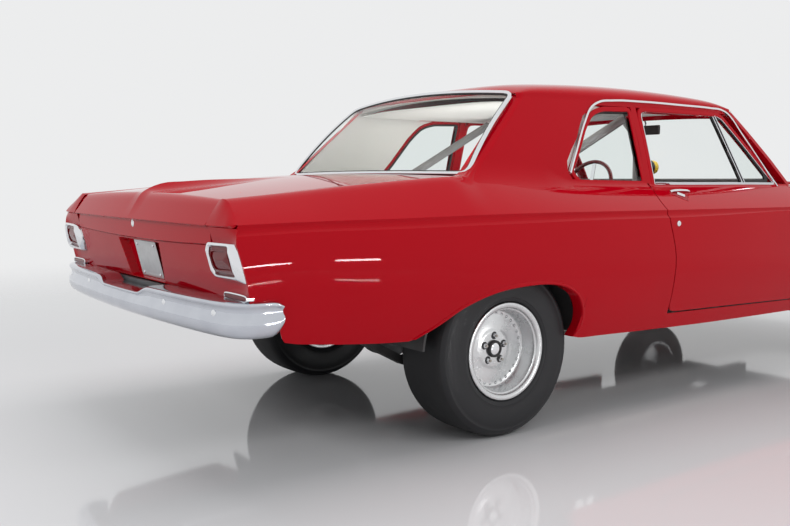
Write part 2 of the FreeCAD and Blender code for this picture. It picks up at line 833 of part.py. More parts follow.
def make_body_sides():
    """Quarter panels, doors, front fenders and the windshield frame."""
    gap = size("panel_gap")
    skin = size("skin_thickness")
    ring = shell()
    lines = ("rocker", "flank", "crease", "band_low", "band_top", "ridge", "shelf")
    lap = size("door_lap")
    rear = side_wall(lines, skin, size("tail_x"), size("door_rear_x") + lap)
    tail = size("tail_x")
    tail_notch = prism_xz([(tail + along, up) for along, up in TAIL_NOTCH], NOTCH_SIDE, BESIDE)
    corner = offset("band_top", tail)[1]
    slope = prism_xz([(tail - 100, corner), (tail, corner), (tail + size("facet_run"), corner + size("facet_rise")),
                      (tail + size("facet_run"), ABOVE), (tail - 100, ABOVE)], INSIDE, BESIDE)
    rear = rear.cut([rear_arch(), tail_notch, slope])
    opening = door_prism(gap)
    side = block((-FAR, 0, 0), (size("door_rear_x") + lap, BESIDE, size("drip_height")))
    low_rail = block((-FAR, 0, 0), (-900, rail_half(), size("sill_of_glass") + size("glass_step")))
    high_rail = block((-FAR, 0, size("head_of_glass")), (-800, header_half(), ABOVE))
    pillars = ring.common(side).cut(low_rail).cut(high_rail)
    quarter = rear.cut(greenhouse(size("pillar_thickness"))).fuse(pillars)
    quarter = quarter.cut(opening).cut(prism_xz(quarter_window(), INSIDE, BESIDE)).removeSplitter()
    computed(quarter, "quarter_panel_left")
    computed(mirror(quarter), "quarter_panel_right")

    lower = door_slab(size("door_rear_x") - 200, size("door_front_x") + 10)
    lower = lower.common(block((-FAR, 0, 0), (FAR, BESIDE, size("sill_of_glass"))))
    frame = ring.common(block((-FAR, 0, size("belt_height") - 1), (FAR, BESIDE, FAR)))
    door = lower.fuse(frame).common(door_prism(0))
    for window in (door_window(), vent_window(0)):
        door = door.cut(prism_xz(window, INSIDE, BESIDE))
    computed(door, "door_left")
    computed(mirror(door), "door_right")

    fender = side_wall(lines, skin, size("door_front_x") + gap, size("nose_x"))
    nose = size("nose_x")
    nose_notch = prism_xz([(nose + along, up) for along, up in NOSE_NOTCH], NOTCH_SIDE, BESIDE)
    under_frame = block((size("door_front_x"), 0, size("belt_height") - size("seat_clearance")),
                        (size("hood_rear_x"), size("belt_half_width") + 2, size("drip_height")))
    fender = fender.cut(front_arch()).cut(nose_notch).cut(under_frame)
    leaves = []
    for z in (size("hinge_low"), size("hinge_high")):
        half = offset("crease", size("door_front_x"))[0] - size("skin_thickness")
        leaves.append(block((size("door_front_x") + size("seat_clearance"), half, z),
                            (size("door_front_x") + 2 * gap, half + size("hinge_leaf_height"),
                             z + size("hinge_leaf_width"))))
    fender = fender.multiFuse(leaves)
    computed(fender, "front_fender_left")
    computed(mirror(fender), "front_fender_right")

    front = ring.common(block((size("door_rear_x") + lap, -BESIDE, 0), (FAR, BESIDE, size("drip_height"))))
    computed(front.cut([opening, mirror(opening)]), "windshield_frame")

    sill_front = size("door_front_x") + gap
    sill_rear = size("door_rear_x") + lap
    inset = size("sill_inset")
    inner = block((sill_rear, size("sill_inner"), size("sill_bottom") + size("sill_step")),
                  (sill_front, size("sill_outer") - inset, size("door_bottom_front") - inset))
    under_door = prism_xz([(sill_rear, 0), (sill_front, 0), (sill_front, size("door_bottom_front") - gap),
                           (sill_rear, size("door_bottom_rear") - gap)], 0, BESIDE)
    sill = door_slab(sill_rear, sill_front).common(under_door).fuse(inner)
    computed(Part.makeCompound([sill, mirror(sill)]), "side_sills")


def rail_half():
    """Half width of the rail under the rear window, between the two rear pillars."""
    return size("belt_half_width") - 2 * size("window_frame")


def header_half():
    """Half width of the roof's rear header, between the two corners of the window frame."""
    return size("drip_half_width") - 1.4 * size("window_frame")


def roof_dome(inset, drop):
    """Solid dome over the greenhouse, moved in from the sides and lowered."""
    half = size("drip_half_width")
    base = size("drip_height")
    rear = size("rear_window_top_x") - size("rear_window_top_bow")
    front = size("windshield_top_x") + size("windshield_top_bow")
    sections = []
    for step in range(9):
        share = step / 8
        x = rear + share * (front - rear)
        rise = size("roof_crown") * (0.5 + 0.5 * math.sin(math.pi * share) ** 0.7) - drop
        points = []
        for turn in range(-6, 7):
            angle = math.pi / 2 * turn / 6
            points.append(((half - inset) * math.sin(angle), base + rise * math.cos(angle) ** 0.62))
        sections.append((x, points))
    top_front = (size("windshield_top_x"), half, size("windshield_top_bow"))
    top_rear = (size("rear_window_top_x"), half, size("rear_window_top_bow"))
    plan = Part.Face(loop(base, top_front, top_rear, inset)).extrude(Vector(0, 0, ABOVE))
    return loft_sections(sections).common(plan)


def make_roof():
    """Roof skin between the drip rails, and its rear header."""
    inside = size("pillar_thickness")
    roof = roof_dome(0, 0).cut(roof_dome(inside, size("roof_thickness")))
    header = shell().common(block((-FAR, -header_half(), size("head_of_glass")),
                                  (-800, header_half(), size("drip_height"))))
    computed(roof.fuse(header), "roof_panel")


def make_back_panel():
    """Deck between the trunk lid and the rear window, with the window's lower rail."""
    gap = size("panel_gap")
    low = size("lid_front_x")
    high = size("rear_window_base_x") + size("door_lap")
    sections = []
    for step in range(6):
        x = low + (high - low) * step / 5
        sections.append((x, deck_section(x, offset("shelf", x)[0], size("lid_thickness"), size("deck_crown"))))
    deck = loft_sections(sections)
    lid = bowed_outline(size("lid_half_width") + gap, -FAR, 0, low + gap, size("lid_front_bow"))
    deck = deck.cut(lid.extrude(Vector(0, 0, ABOVE)))
    rail = shell().common(block((-FAR, -rail_half(), 0),
                                (-900, rail_half(), size("sill_of_glass") + size("glass_step"))))
    deck = deck.cut([greenhouse(0), shape_of("quarter_panel_left"), shape_of("quarter_panel_right")])
    leaves = []
    edge = low + size("lid_front_bow")
    axis_height = offset("shelf", edge)[1] + size("deck_crown")
    for side in (-1, 1):
        near = size("lid_hinge_offset") * side - size("hinge_leaf_width") / 2
        leaves.append(block((edge - 1, near, axis_height - size("lid_thickness") + 2),
                            (edge + 3 * gap, near + size("hinge_leaf_width"),
                             axis_height - size("lid_thickness") + 2 + size("hinge_leaf_height"))))
    lid = bowed_outline(size("lid_half_width") + size("seat_clearance"), -FAR, 0,
                        low + size("seat_clearance"), size("lid_front_bow"))
    leaves = [leaf.cut(lid.extrude(Vector(0, 0, ABOVE))) for leaf in leaves]
    computed(deck.multiFuse([rail] + leaves), "upper_back_panel")


def lid_lip_height():
    """Height of the lower edge of the trunk lid's rear facet."""
    return offset("shelf", size("lid_facet_x"))[1] - size("lid_rear_drop")


def lid_spine():
    """Raised centre line of the trunk lid, highest behind and fading forwards."""
    half = size("spine_half_width")
    rear = size("lid_facet_x")
    front = size("spine_front_x")
    sections = []
    for share, rise in SPINE_RISE:
        x = rear + share * (front - rear)
        foot = offset("shelf", x)[1] + size("deck_crown") * (1 - (half / size("lid_half_width")) ** 2)
        top = foot + size("spine_height") * rise
        base = foot - size("lid_thickness") / 2
        sections.append((x, [(-half, base), (-half, foot), (0.0, top), (half, foot), (half, base)]))
    return loft_sections(sections)


def make_trunk_lid():
    """Trunk lid with its turned-down rear facet."""
    half = size("lid_half_width")
    crown = size("deck_crown")
    thickness = size("lid_thickness")
    facet = size("lid_facet_x")
    front = size("lid_front_x") + size("lid_front_bow")
    sections = []
    for step in range(6):
        x = facet + (front - facet) * step / 5
        sections.append((x, deck_section(x, half, thickness, crown)))
    plate = loft_sections(sections)
    outline = bowed_outline(half, -FAR, 0, size("lid_front_x"), size("lid_front_bow"))
    plate = plate.common(outline.extrude(Vector(0, 0, ABOVE)))
    wires = []
    for across, up in deck_section(facet, half, thickness, crown)[:9]:
        bow = size("lid_rear_bow") * (1 - (across / half) ** 2)
        lip_x = size("lid_rear_x") - bow
        lip_z = lid_lip_height()
        corners = [Vector(facet, across, up), Vector(lip_x, across, lip_z),
                   Vector(lip_x + 2 * thickness, across, lip_z), Vector(facet + 2 * thickness, across, up - 4)]
        wires.append(Part.makePolygon(corners + corners[:1]))
    facet_plate = Part.makeLoft(wires, True, True)
    computed(plate.multiFuse([facet_plate, lid_spine()]), "trunk_lid")


def make_hood():
    """Hood with its box scoop."""
    low = size("hood_rear_x")
    high = size("hood_front_x")
    sections = []
    for x in (low, (low + front_axle_x()) / 2, front_axle_x(), (front_axle_x() + high) / 2, high):
        half = offset("shelf", x)[0] - size("panel_gap")
        sections.append((x, deck_section(x, half, size("lid_thickness"), size("hood_crown"))))
    plate = loft_sections(sections)
    scoop_front = size("scoop_front_x")
    scoop_rear = scoop_front - size("scoop_length")
    base = offset("shelf", scoop_front)[1]
    top = base + size("scoop_height")
    side = [(scoop_front, base), (scoop_front - size("scoop_rake"), top), (scoop_rear + size("scoop_slope"), top),
            (scoop_rear, base + size("scoop_tail")), (scoop_rear, base)]
    scoop = prism_xz(side, -size("scoop_half_width"), size("scoop_half_width"))
    mouth_half = size("scoop_half_width") - size("mouth_wall")
    mouth = block((scoop_front - size("mouth_depth"), -mouth_half, base + size("mouth_sill")),
                  (scoop_front + size("mouth_depth"), mouth_half, top - size("mouth_roof")))
    computed(plate.fuse(scoop.cut(mouth)), "hood")


def end_panel(x, bottom, thickness, top):
    """Panel that closes the body at one end, inside the side walls."""
    lines = ("rocker", "flank", "crease", "band_low", "band_top", "ridge", "shelf")
    outer = [tuple(offset(line, x)) for line in lines]
    inner = thicken(outer, size("skin_thickness") + size("seat_clearance"))[len(outer):][::-1]
    del inner[lines.index("band_low")]
    corners = [(across, up) for across, up in inner if up > bottom + 20]
    first = corners[0]
    half = [(0.0, bottom), (first[0] - 8, bottom)] + corners
    edge = corners[-1][0] + 4
    half[-1] = (edge, half[-1][1])
    half += [(edge, top), (0.0, top)]
    wire = [Vector(x, across, up) for across, up in half]
    right = [Vector(x, -across, up) for across, up in half[::-1]]
    outline = wire + right[1:-1]
    return Part.Face(Part.makePolygon(outline + outline[:1])).extrude(Vector(thickness, 0, 0))


def recess_frustum(wall):
    """Slanted block of the plate's recess, made smaller all round and shallower by wall."""
    wires = []
    middle = size("plate_height")
    reach = size("recess_depth") - min(wall, 0)
    for x, flare in ((size("tail_x"), size("recess_flare")), (size("tail_x") + reach, 0.0)):
        half = size("recess_half_width") + flare - wall
        tall = size("recess_half_height") - wall
        corners = [Vector(x, -half + flare / 2, middle - tall), Vector(x, half - flare / 2, middle - tall),
                   Vector(x, half + flare / 2, middle + tall), Vector(x, -half - flare / 2, middle + tall)]
        wires.append(Part.makePolygon(corners + corners[:1]))
    return Part.makeLoft(wires, True, True)


def plate_recess():
    """Pan that the number plate stands in, behind the tail panel's face."""
    return recess_frustum(-size("recess_wall")).cut(recess_frustum(0.0))


def make_ends():
    """Tail panel with its plate holes, and the nose panel with its openings."""
    tail = end_panel(size("tail_x"), size("tail_panel_bottom"), size("tail_panel_thickness"),
                     lid_lip_height() - size("panel_gap"))
    tail = tail.cut(recess_frustum(-size("recess_wall"))).fuse(plate_recess())
    for side in (-1, 1):
        near, far = sorted((side * (size("marker_outer") + size("panel_gap")), side * BESIDE))
        tail = tail.cut(block((size("tail_x") - 100, near, 0), (size("tail_x") + 100, far, size("marker_high"))))
    holes = []
    for side in (-0.5, 0.5):
        for row in (-0.5, 0.5):
            start = Vector(size("tail_x"), side * size("plate_hole_spacing_y"),
                           size("plate_height") + row * size("plate_hole_spacing_z"))
            holes.append(Part.makeCylinder(size("plate_hole_radius"), 60, start, Vector(1, 0, 0)))
    computed(tail.cut(holes), "tail_panel")

    nose = end_panel(size("nose_panel_x"), size("grille_bottom") - size("nose_drop"), size("tail_panel_thickness"),
                     size("grille_top") + 12)
    reach = size("headlamp_radius") + 1
    half = size("grille_half_width")
    nose = nose.cut(block((size("radiator_x"), -half, size("grille_bottom")), (FAR, half, size("grille_top"))))
    for side in (-1, 1):
        start = Vector(size("radiator_x"), side * size("headlamp_offset"), size("headlamp_height"))
        nose = nose.cut(Part.makeCylinder(reach, INSIDE, start, Vector(1, 0, 0)))
    nose = nose.cut([shape_of("front_fender_left"), shape_of("front_fender_right")])
    computed(nose, "nose_panel")


def make_glass():
    """Windshield, rear window and quarter windows, set in their frames."""
    seat = size("seat_clearance")
    inset = size("glass_inset")
    pane = greenhouse(inset).cut(greenhouse(inset + size("glass_thickness")))
    frame = size("window_frame")
    panes = []
    low = size("sill_of_glass") + seat
    high = size("head_of_glass") + size("glass_step") - seat
    half_low = size("windshield_base_half") - frame - seat
    half_high = size("windshield_top_half") - frame - seat
    panes.append(pane.common(window_block(half_low, half_high, low, high, FAR)))
    half_low = size("rear_window_base_half") - size("rear_frame_share") * frame - seat
    half_high = size("rear_window_top_half") - frame - seat
    low = size("sill_of_glass") + size("glass_step") + seat
    panes.append(pane.common(window_block(half_low, half_high, low, high, -FAR)))
    face = Part.Face(Part.makePolygon([Vector(x, 0, z) for x, z in quarter_window() + quarter_window()[:1]]))
    inner = face.makeOffset2D(-seat)
    side = pane.common(inner.extrude(Vector(0, BESIDE, 0)))
    panes += [side, mirror(side)]
    computed(Part.makeCompound(panes), "window_glass")
    vent = pane.common(prism_xz(vent_window(seat), INSIDE, BESIDE))
    computed(vent, "vent_window_left")
    computed(mirror(vent), "vent_window_right")


def make_floor():
    """Cabin floor with its tunnel, kick-up and trunk floor."""
    thick = size("floor_thickness")
    top = size("floor_top")
    kick = size("kick_up_x")
    front = size("firewall_x")
    cabin = block((kick, -size("floor_half_width"), top - thick), (front, size("floor_half_width"), top))
    riser = block((kick - thick, -size("tub_inner"), top - thick),
                  (kick, size("tub_inner"), size("trunk_floor_top")))
    rear_end = size("tail_x") + size("tail_panel_thickness")
    back = block((rear_end, -size("tub_inner"), size("trunk_floor_top") - thick),
                 (kick, size("tub_inner"), size("trunk_floor_top")))
    wing_half = size("trunk_floor_half")
    wing = block((rear_end + size("trunk_floor_setback"), -wing_half, size("trunk_floor_top") - thick),
                 (size("rear_axle_x") - size("tub_radius") - 2, wing_half, size("trunk_floor_top")))
    rear_lip = block((rear_end, -size("tub_inner"), size("trunk_floor_top") - thick),
                     (rear_end + thick, size("tub_inner"), size("tail_panel_bottom") + thick))
    radius = size("tunnel_radius")
    base = Vector(kick - 20, 0, top - thick)
    bore = Part.makeCylinder(radius, FAR, base, Vector(1, 0, 0))
    hump = Part.makeCylinder(radius + thick, front - kick, Vector(kick, 0, top - thick), Vector(1, 0, 0))
    hump = hump.common(block((kick, -INSIDE, top - thick), (front, INSIDE, ABOVE)))
    floor = cabin.multiFuse([riser, back, wing, rear_lip, hump]).cut(bore)
    computed(floor.removeSplitter(), "floor_pan")

    outer = size("tub_radius")
    inner = outer - size("tub_thickness")
    low_y = size("tub_inner")
    centre = Vector(size("rear_axle_x"), low_y, size("rear_tyre_radius"))
    tub = Part.makeCylinder(outer, size("tub_outer") - low_y, centre, Vector(0, 1, 0))
    tub = tub.cut(Part.makeCylinder(inner, INSIDE, centre + Vector(0, size("tub_thickness"), 0), Vector(0, 1, 0)))
    tub = tub.common(block((-FAR, 0, top), (kick - 1, BESIDE, ABOVE)))
    tub = tub.cut(block((-FAR, SIDE_SKIN, 0), (kick, BESIDE, size("trunk_floor_top") - thick)))
    computed(Part.makeCompound([tub, mirror(tub)]), "wheel_tubs")

    plate = block((front, -size("floor_half_width"), top - thick),
                  (front + size("firewall_thickness"), size("floor_half_width"),
                   size("belt_height") - size("firewall_drop")))
    cowl_rear = size("windshield_base_x") - size("pillar_thickness") - size("cowl_depth")
    cowl_half = offset("shelf", size("hood_rear_x"))[0] - size("panel_gap")
    cowl = block((cowl_rear, -cowl_half, size("belt_height") - size("cowl_depth")),
                 (size("hood_rear_x") - size("panel_gap"), cowl_half, size("belt_height")))
    web_half = cowl_half - size("cowl_depth") / 2
    web = block((front, -web_half, size("belt_height") - 3 * size("cowl_depth")),
                (front + size("firewall_thickness"), web_half, size("belt_height") - size("cowl_depth") / 2))
    leaves = []
    edge = size("hood_rear_x")
    for side in (-1, 1):
        near = size("hood_hinge_offset") * side - size("hinge_leaf_width") / 2
        leaves.append(block((edge - 2 * size("panel_gap"), near, size("belt_height") - size("hinge_leaf_height")),
                            (edge - size("seat_clearance"), near + size("hinge_leaf_width"), size("belt_height"))))
    computed(plate.multiFuse([cowl, web] + leaves).cut(bore), "firewall")

    low = size("rail_offset") - size("rail_width") / 2
    high = size("rail_offset") + size("rail_width") / 2
    deep = size("rail_height")
    under = top - thick
    raised = size("trunk_floor_top") - thick
    setback = size("rail_end_gap")
    tip = size("nose_panel_x") - setback
    side = [(rear_end + setback, raised), (rear_end + setback, raised - deep), (kick - 130, raised - deep),
            (kick - 40, under - deep), (tip, under - deep), (tip, under), (kick - thick - 3, under),
            (kick - 110, raised)]
    left = prism_xz(side, low, high)
    bar_x = size("radiator_x") - 15
    bar = block((bar_x, -low, under - deep), (bar_x + size("cross_member_width"), low, under - 20))
    pad_x = size("jack_pad_x")
    pads = []
    for near, far in ((low, high), (-high, -low)):
        pads.append(block((pad_x - size("jack_pad_length") / 2, near, under - deep - size("jack_pad_depth")),
                          (pad_x + size("jack_pad_length") / 2, far, under - deep)))
    rails = left.multiFuse([mirror(left), bar] + pads)
    computed(rails, "frame_rails")


def make_shelf():
    """Package shelf and bulkhead between the cabin and the trunk."""
    thick = size("shelf_thickness")
    top = size("belt_height")
    x = size("bulkhead_x")
    half = size("shelf_half_width")
    shelf = block((size("rear_window_base_x") + 30, -half, top - thick), (x, half, top))
    half = size("tub_inner") - 10
    wall = block((x - thick, -half, size("trunk_floor_top")), (x, half, top))
    item = shelf.fuse(wall)
    for side in (-1, 1):
        start, end = brace_line(side)
        run = end - start
        item = item.cut(Part.makeCylinder(size("cage_tube_radius") + 4, run.Length, start, run))
    computed(item, "package_shelf")


def brace_line(side):
    """Ends of the rear brace of the roll cage on one side."""
    top = Vector(size("hoop_x"), side * (size("hoop_half_width") - size("brace_inset")), size("hoop_top") - 5)
    foot = Vector(size("brace_foot_x"), side * size("brace_foot_half"), size("trunk_floor_top"))
    return top, foot


def make_cage():
    """Roll cage: main hoop, rear braces, side bars and a shoulder bar."""
    radius = "sizes.cage_tube_radius"
    x = size("hoop_x")
    half = size("hoop_half_width")
    floor = size("floor_top")
    top = size("hoop_top")
    items = []
    for side in (-1, 1):
        corner = Vector(x, side * half, top - size("hoop_corner_drop"))
        upper = Vector(x, side * (half - size("hoop_corner_run")), top)
        items.append(rod("hoop_leg", Vector(x, side * half, floor), corner, radius))
        items.append(rod("hoop_corner", corner, upper, radius))
        start, foot = brace_line(side)
        run = foot - start
        items.append(rod("hoop_brace", start, foot - run * (size("brace_foot_gap") / run.Length), radius))
        low_end = Vector(size("side_bar_front_x"), side * half, floor + size("side_bar_lift"))
        items.append(rod("side_bar", Vector(x, side * half, size("side_bar_height")), low_end, radius))
    reach = half - size("hoop_corner_run")
    items.append(rod("hoop_top_bar", Vector(x, -reach, top), Vector(x, reach, top), radius))
    shoulder = size("shoulder_bar_height")
    items.append(rod("shoulder_bar", Vector(x, -half, shoulder), Vector(x, half, shoulder), radius))
    low_end = Vector(x, size("brace_inset") - half, floor + size("diagonal_lift"))
    items.append(rod("diagonal_bar", Vector(x, half, shoulder), low_end, radius))
    join(items, "roll_cage")


def make_seats():
    """Two bucket seats on their bases."""
    low = size("seat_offset") - size("seat_width") / 2
    high = size("seat_offset") + size("seat_width") / 2
    x = size("seat_x")
    floor = size("floor_top")
    cushion = size("seat_cushion_top")
    front = x + size("seat_depth")
    back = x + size("seat_back_thickness")
    under = cushion - size("seat_base_thickness")
    foot = size("seat_foot_inset")
    rake = size("seat_back_rake")
    side = [(x + foot, floor), (front - 1.5 * foot, floor), (front - 1.5 * foot, under), (front, under + foot / 2),
            (front, cushion), (back + size("seat_dip"), cushion - size("seat_dip")),
            (back - rake, size("seat_back_top")), (x - rake, size("seat_back_top")), (x, under), (x + foot, under)]
    seat = prism_xz(side, low, high)
    computed(Part.makeCompound([seat, mirror(seat)]), "bucket_seats")


def make_dash():
    """Dashboard with the steering column."""
    low = Vector(size("dash_x"), -size("dash_half_width"), size("dash_bottom"))
    x = low.x
    depth = size("dash_depth")
    bottom = size("dash_bottom")
    top = size("dash_top")
    side = [(x + 60, bottom), (x + depth, bottom), (x + depth, top), (x + 40, top), (x, top - size("dash_brow")),
            (x, top - size("dash_brow") - 20)]
    dash = prism_xz(side, -size("dash_half_width"), size("dash_half_width"))
    tilt = math.radians(size("column_tilt"))
    along = Vector(math.cos(tilt), 0, -math.sin(tilt))
    hub = Vector(size("column_x"), size("column_offset"), size("column_height"))
    start = hub + along * size("column_start")
    reach = (size("firewall_x") - start.x) / along.x - size("column_radius") * math.tan(tilt)
    column = Part.makeCylinder(size("column_radius"), reach, start, along)
    pin = size("wheel_shaft_radius")
    shaft = Part.makeCylinder(pin, size("wheel_shaft_length"), hub + along * pin, along)
    computed(dash.multiFuse([column, shaft]), "dashboard")

    rim = Part.makeTorus(size("steering_wheel_radius") - size("steering_rim_radius"),
                         size("steering_rim_radius"), hub - along * size("wheel_dish"), along)
    centre = Part.makeCylinder(size("wheel_boss_radius"), size("wheel_boss_length"), hub + along * 5, along)
    parts = []
    for turn in (90, 210, 330):
        angle = math.radians(turn)
        up = Vector(math.sin(tilt), 0, math.cos(tilt))
        out = Vector(0, 1, 0) * math.cos(angle) + up * math.sin(angle)
        end = hub - along * size("wheel_dish") + out * (size("steering_wheel_radius") - size("steering_rim_radius"))
        begin = hub + along * 14 + out * 20
        parts.append(Part.makeCylinder(size("wheel_spoke_radius"), (end - begin).Length, begin, end - begin))
    wheel = rim.multiFuse([centre] + parts)
    wheel = wheel.cut(Part.makeCylinder(pin + size("spindle_clearance"), 60, hub + along * 8, along))
    computed(wheel, "steering_wheel")


def make_tyre(label, radius, width, outer, centre_x):
    """A tyre as a hollow ring seated on its rim; sketch axes are radius across and width up."""
    body = new_body(label)
    sketch = new_sketch(body, "XY_Plane", label + "_section")
    bead = f"{width} / 2 - 16"
    edge = f"{width} / 2"
    corners = [
        ("sizes.rim_seat_radius", f"{bead}"),
        ("sizes.rim_flange_radius + 2", f"{bead}"),
        ("sizes.rim_flange_radius + 6", f"{edge} - 5"),
        (f"sizes.rim_flange_radius + 0.5 * ({radius} - sizes.rim_flange_radius)", edge),
        (f"{radius} - 26", f"{edge} - 8"),
        (f"{radius} - 6", f"{edge} - 22"),
        (radius, f"{edge} - 40"),
        (radius, f"40 - {edge}"),
        (f"{radius} - 6", f"22 - {edge}"),
        (f"{radius} - 26", f"8 - {edge}"),
        (f"sizes.rim_flange_radius + 0.5 * ({radius} - sizes.rim_flange_radius)", f"-({edge})"),
        ("sizes.rim_flange_radius + 6", f"5 - {edge}"),
        ("sizes.rim_flange_radius + 2", f"-({bead})"),
        ("sizes.rim_seat_radius", f"-({bead})"),
        ("sizes.rim_seat_radius", f"14 - ({bead})"),
        (f"{radius} - 30", f"26 - {edge}"),
        (f"{radius} - 14", f"46 - {edge}"),
        (f"{radius} - 14", f"{edge} - 46"),
        (f"{radius} - 30", f"{edge} - 26"),
        ("sizes.rim_seat_radius", f"{bead} - 14"),
    ]
    draw_outline(sketch, corners)
    revolve(body, sketch, label + "_ring")
    place(body, centre_x, f"{outer} - {width} / 2", radius)
    return body


def make_rim(label, radius, width, outer, dish, centre_x):
    """A dished rim with its disc face on the sketch plane; radius across and width up."""
    body = new_body(label)
    sketch = new_sketch(body, "XY_Plane", label + "_section")
    lip = f"{dish}"
    back = f"{dish} - {width} + 14"
    flange = "sizes.rim_flange_width"
    corners = [
        ("sizes.spindle_radius + sizes.spindle_clearance", "14"),
        ("44", "14"),
        ("48", "0"),
        ("sizes.rim_seat_radius - sizes.rim_wall - 12", "0"),
        ("sizes.rim_seat_radius - sizes.rim_wall", "12"),
        ("sizes.rim_seat_radius - sizes.rim_wall", f"{lip} - 6"),
        ("sizes.rim_flange_radius - 4", lip),
        ("sizes.rim_flange_radius", f"{lip} - 3"),
        ("sizes.rim_flange_radius", f"{lip} - {flange}"),
        ("sizes.rim_seat_radius", f"{lip} - {flange}"),
        ("sizes.rim_seat_radius", f"{back} + {flange}"),
        ("sizes.rim_flange_radius", f"{back} + {flange}"),
        ("sizes.rim_flange_radius", back),
        ("sizes.rim_seat_radius - sizes.rim_wall", back),
        ("sizes.rim_seat_radius - sizes.rim_wall", "-sizes.rim_disc_thickness"),
        ("sizes.rim_hub_radius", "-sizes.rim_disc_thickness"),
        ("sizes.rim_hub_radius", f"{back} + 20"),
        ("sizes.spindle_radius + sizes.spindle_clearance", f"{back} + 20"),
    ]
    draw_outline(sketch, corners)
    revolve(body, sketch, label + "_ring")
    before = body.Shape.Volume
    stud = new_sketch(body, "XZ_Plane", label + "_stud")
    draw_circle(stud, "sizes.lug_circle / 2", "0", "sizes.lug_radius")
    lug = pad(body, stud, "sizes.lug_length", label + "_lug", reverse=True)
    if body.Shape.Volume <= before:
        raise RuntimeError(label + " lug adds nothing")
    pattern = body.newObject("PartDesign::PolarPattern", label + "_lugs")
    pattern.Originals = [lug]
    axis = [item for item in body.Origin.OriginFeatures if item.Role == "Y_Axis"][0]
    pattern.Axis = (axis, [""])
    pattern.Angle = 360.0
    pattern.Occurrences = 5
    body.Tip = pattern
    place(body, centre_x, f"{outer} - 7 - {dish}", radius)
    doc.recompute()
    return body


def make_wheels():
    """Four tyres and four rims."""
    front_x = "sizes.rear_axle_x + sizes.wheelbase"
    sets = (("rear", "sizes.rear_axle_x", "sizes.rear_dish"), ("front", front_x, "sizes.front_dish"))
    for end, centre, dish in sets:
        radius = f"sizes.{end}_tyre_radius"
        width = f"sizes.{end}_tyre_width"
        outer = f"sizes.{end}_tyre_outer"
        tyre = make_tyre(f"tyre_{end}_left", radius, width, outer, centre)
        rim = make_rim(f"rim_{end}_left", radius, width, outer, dish, centre)
        mirrored(tyre, f"tyre_{end}_right")
        mirrored(rim, f"rim_{end}_right")


def make_rear_axle():
    """Axle housing with its differential and drive shaft, on leaf springs."""
    reach = size("rear_tyre_outer") - 7 - size("rear_dish") + 10
    inner = size("rear_tyre_outer") - size("rear_tyre_width") + 14
    x = size("rear_axle_x")
    z = size("rear_tyre_radius")
    across = Vector(0, 1, 0)
    tube = Part.makeCylinder(size("axle_tube_radius"), 2 * inner - 24, Vector(x, 12 - inner, z), across)
    stub = Part.makeCylinder(size("spindle_radius"), 2 * reach, Vector(x, -reach, z), across)
    width = size("differential_width")
    drum = Part.makeCylinder(size("differential_radius"), width * 0.5, Vector(x, -width * 0.25, z), across)
    base = size("pinion_base_radius")
    start = Vector(x + size("pinion_start"), 0, z)
    nose = Part.makeCone(base, size("pinion_tip_radius"), 2 * base, start, Vector(1, 0, 0))
    tail = start + Vector(2 * base - 10, 0, 0)
    gear = Vector(size("engine_front_x") - size("engine_length") - size("gearbox_length") - 2, 0,
                  size("gearbox_shaft_height"))
    shaft = Part.makeCylinder(size("shaft_radius"), (gear - tail).Length, tail, gear - tail)
    computed(tube.multiFuse([stub, drum, nose, shaft]), "rear_axle")

    wide = size("spring_width") / 2
    y = size("spring_offset")
    low = z - size("axle_tube_radius") - size("spring_thickness") - 8
    thick = size("spring_thickness")
    lower = [(x + along, low + up) for along, up in LEAF_SPRING]
    upper = [(px, pz + thick) for px, pz in lower[::-1]]
    leaf = prism_xz(lower + upper, y - wide, y + wide)
    pad_half = size("spring_pad_half")
    seat = block((x - pad_half, y - wide, low + thick), (x + pad_half, y + wide, z - size("axle_tube_radius")))
    under = size("floor_top") - size("floor_thickness")
    front_end = x + LEAF_SPRING[0][0]
    rear_end = x + LEAF_SPRING[-1][0]
    half = size("hanger_half_width")
    front_hanger = block((front_end - 60, y - half, low + 50), (front_end, y + half, under))
    raised = size("trunk_floor_top") - size("floor_thickness")
    rear_hanger = block((rear_end, y - half, low + 160), (rear_end + 50, y + half, raised))
    spring = leaf.multiFuse([seat, front_hanger, rear_hanger])
    computed(Part.makeCompound([spring, mirror(spring)]), "leaf_springs")


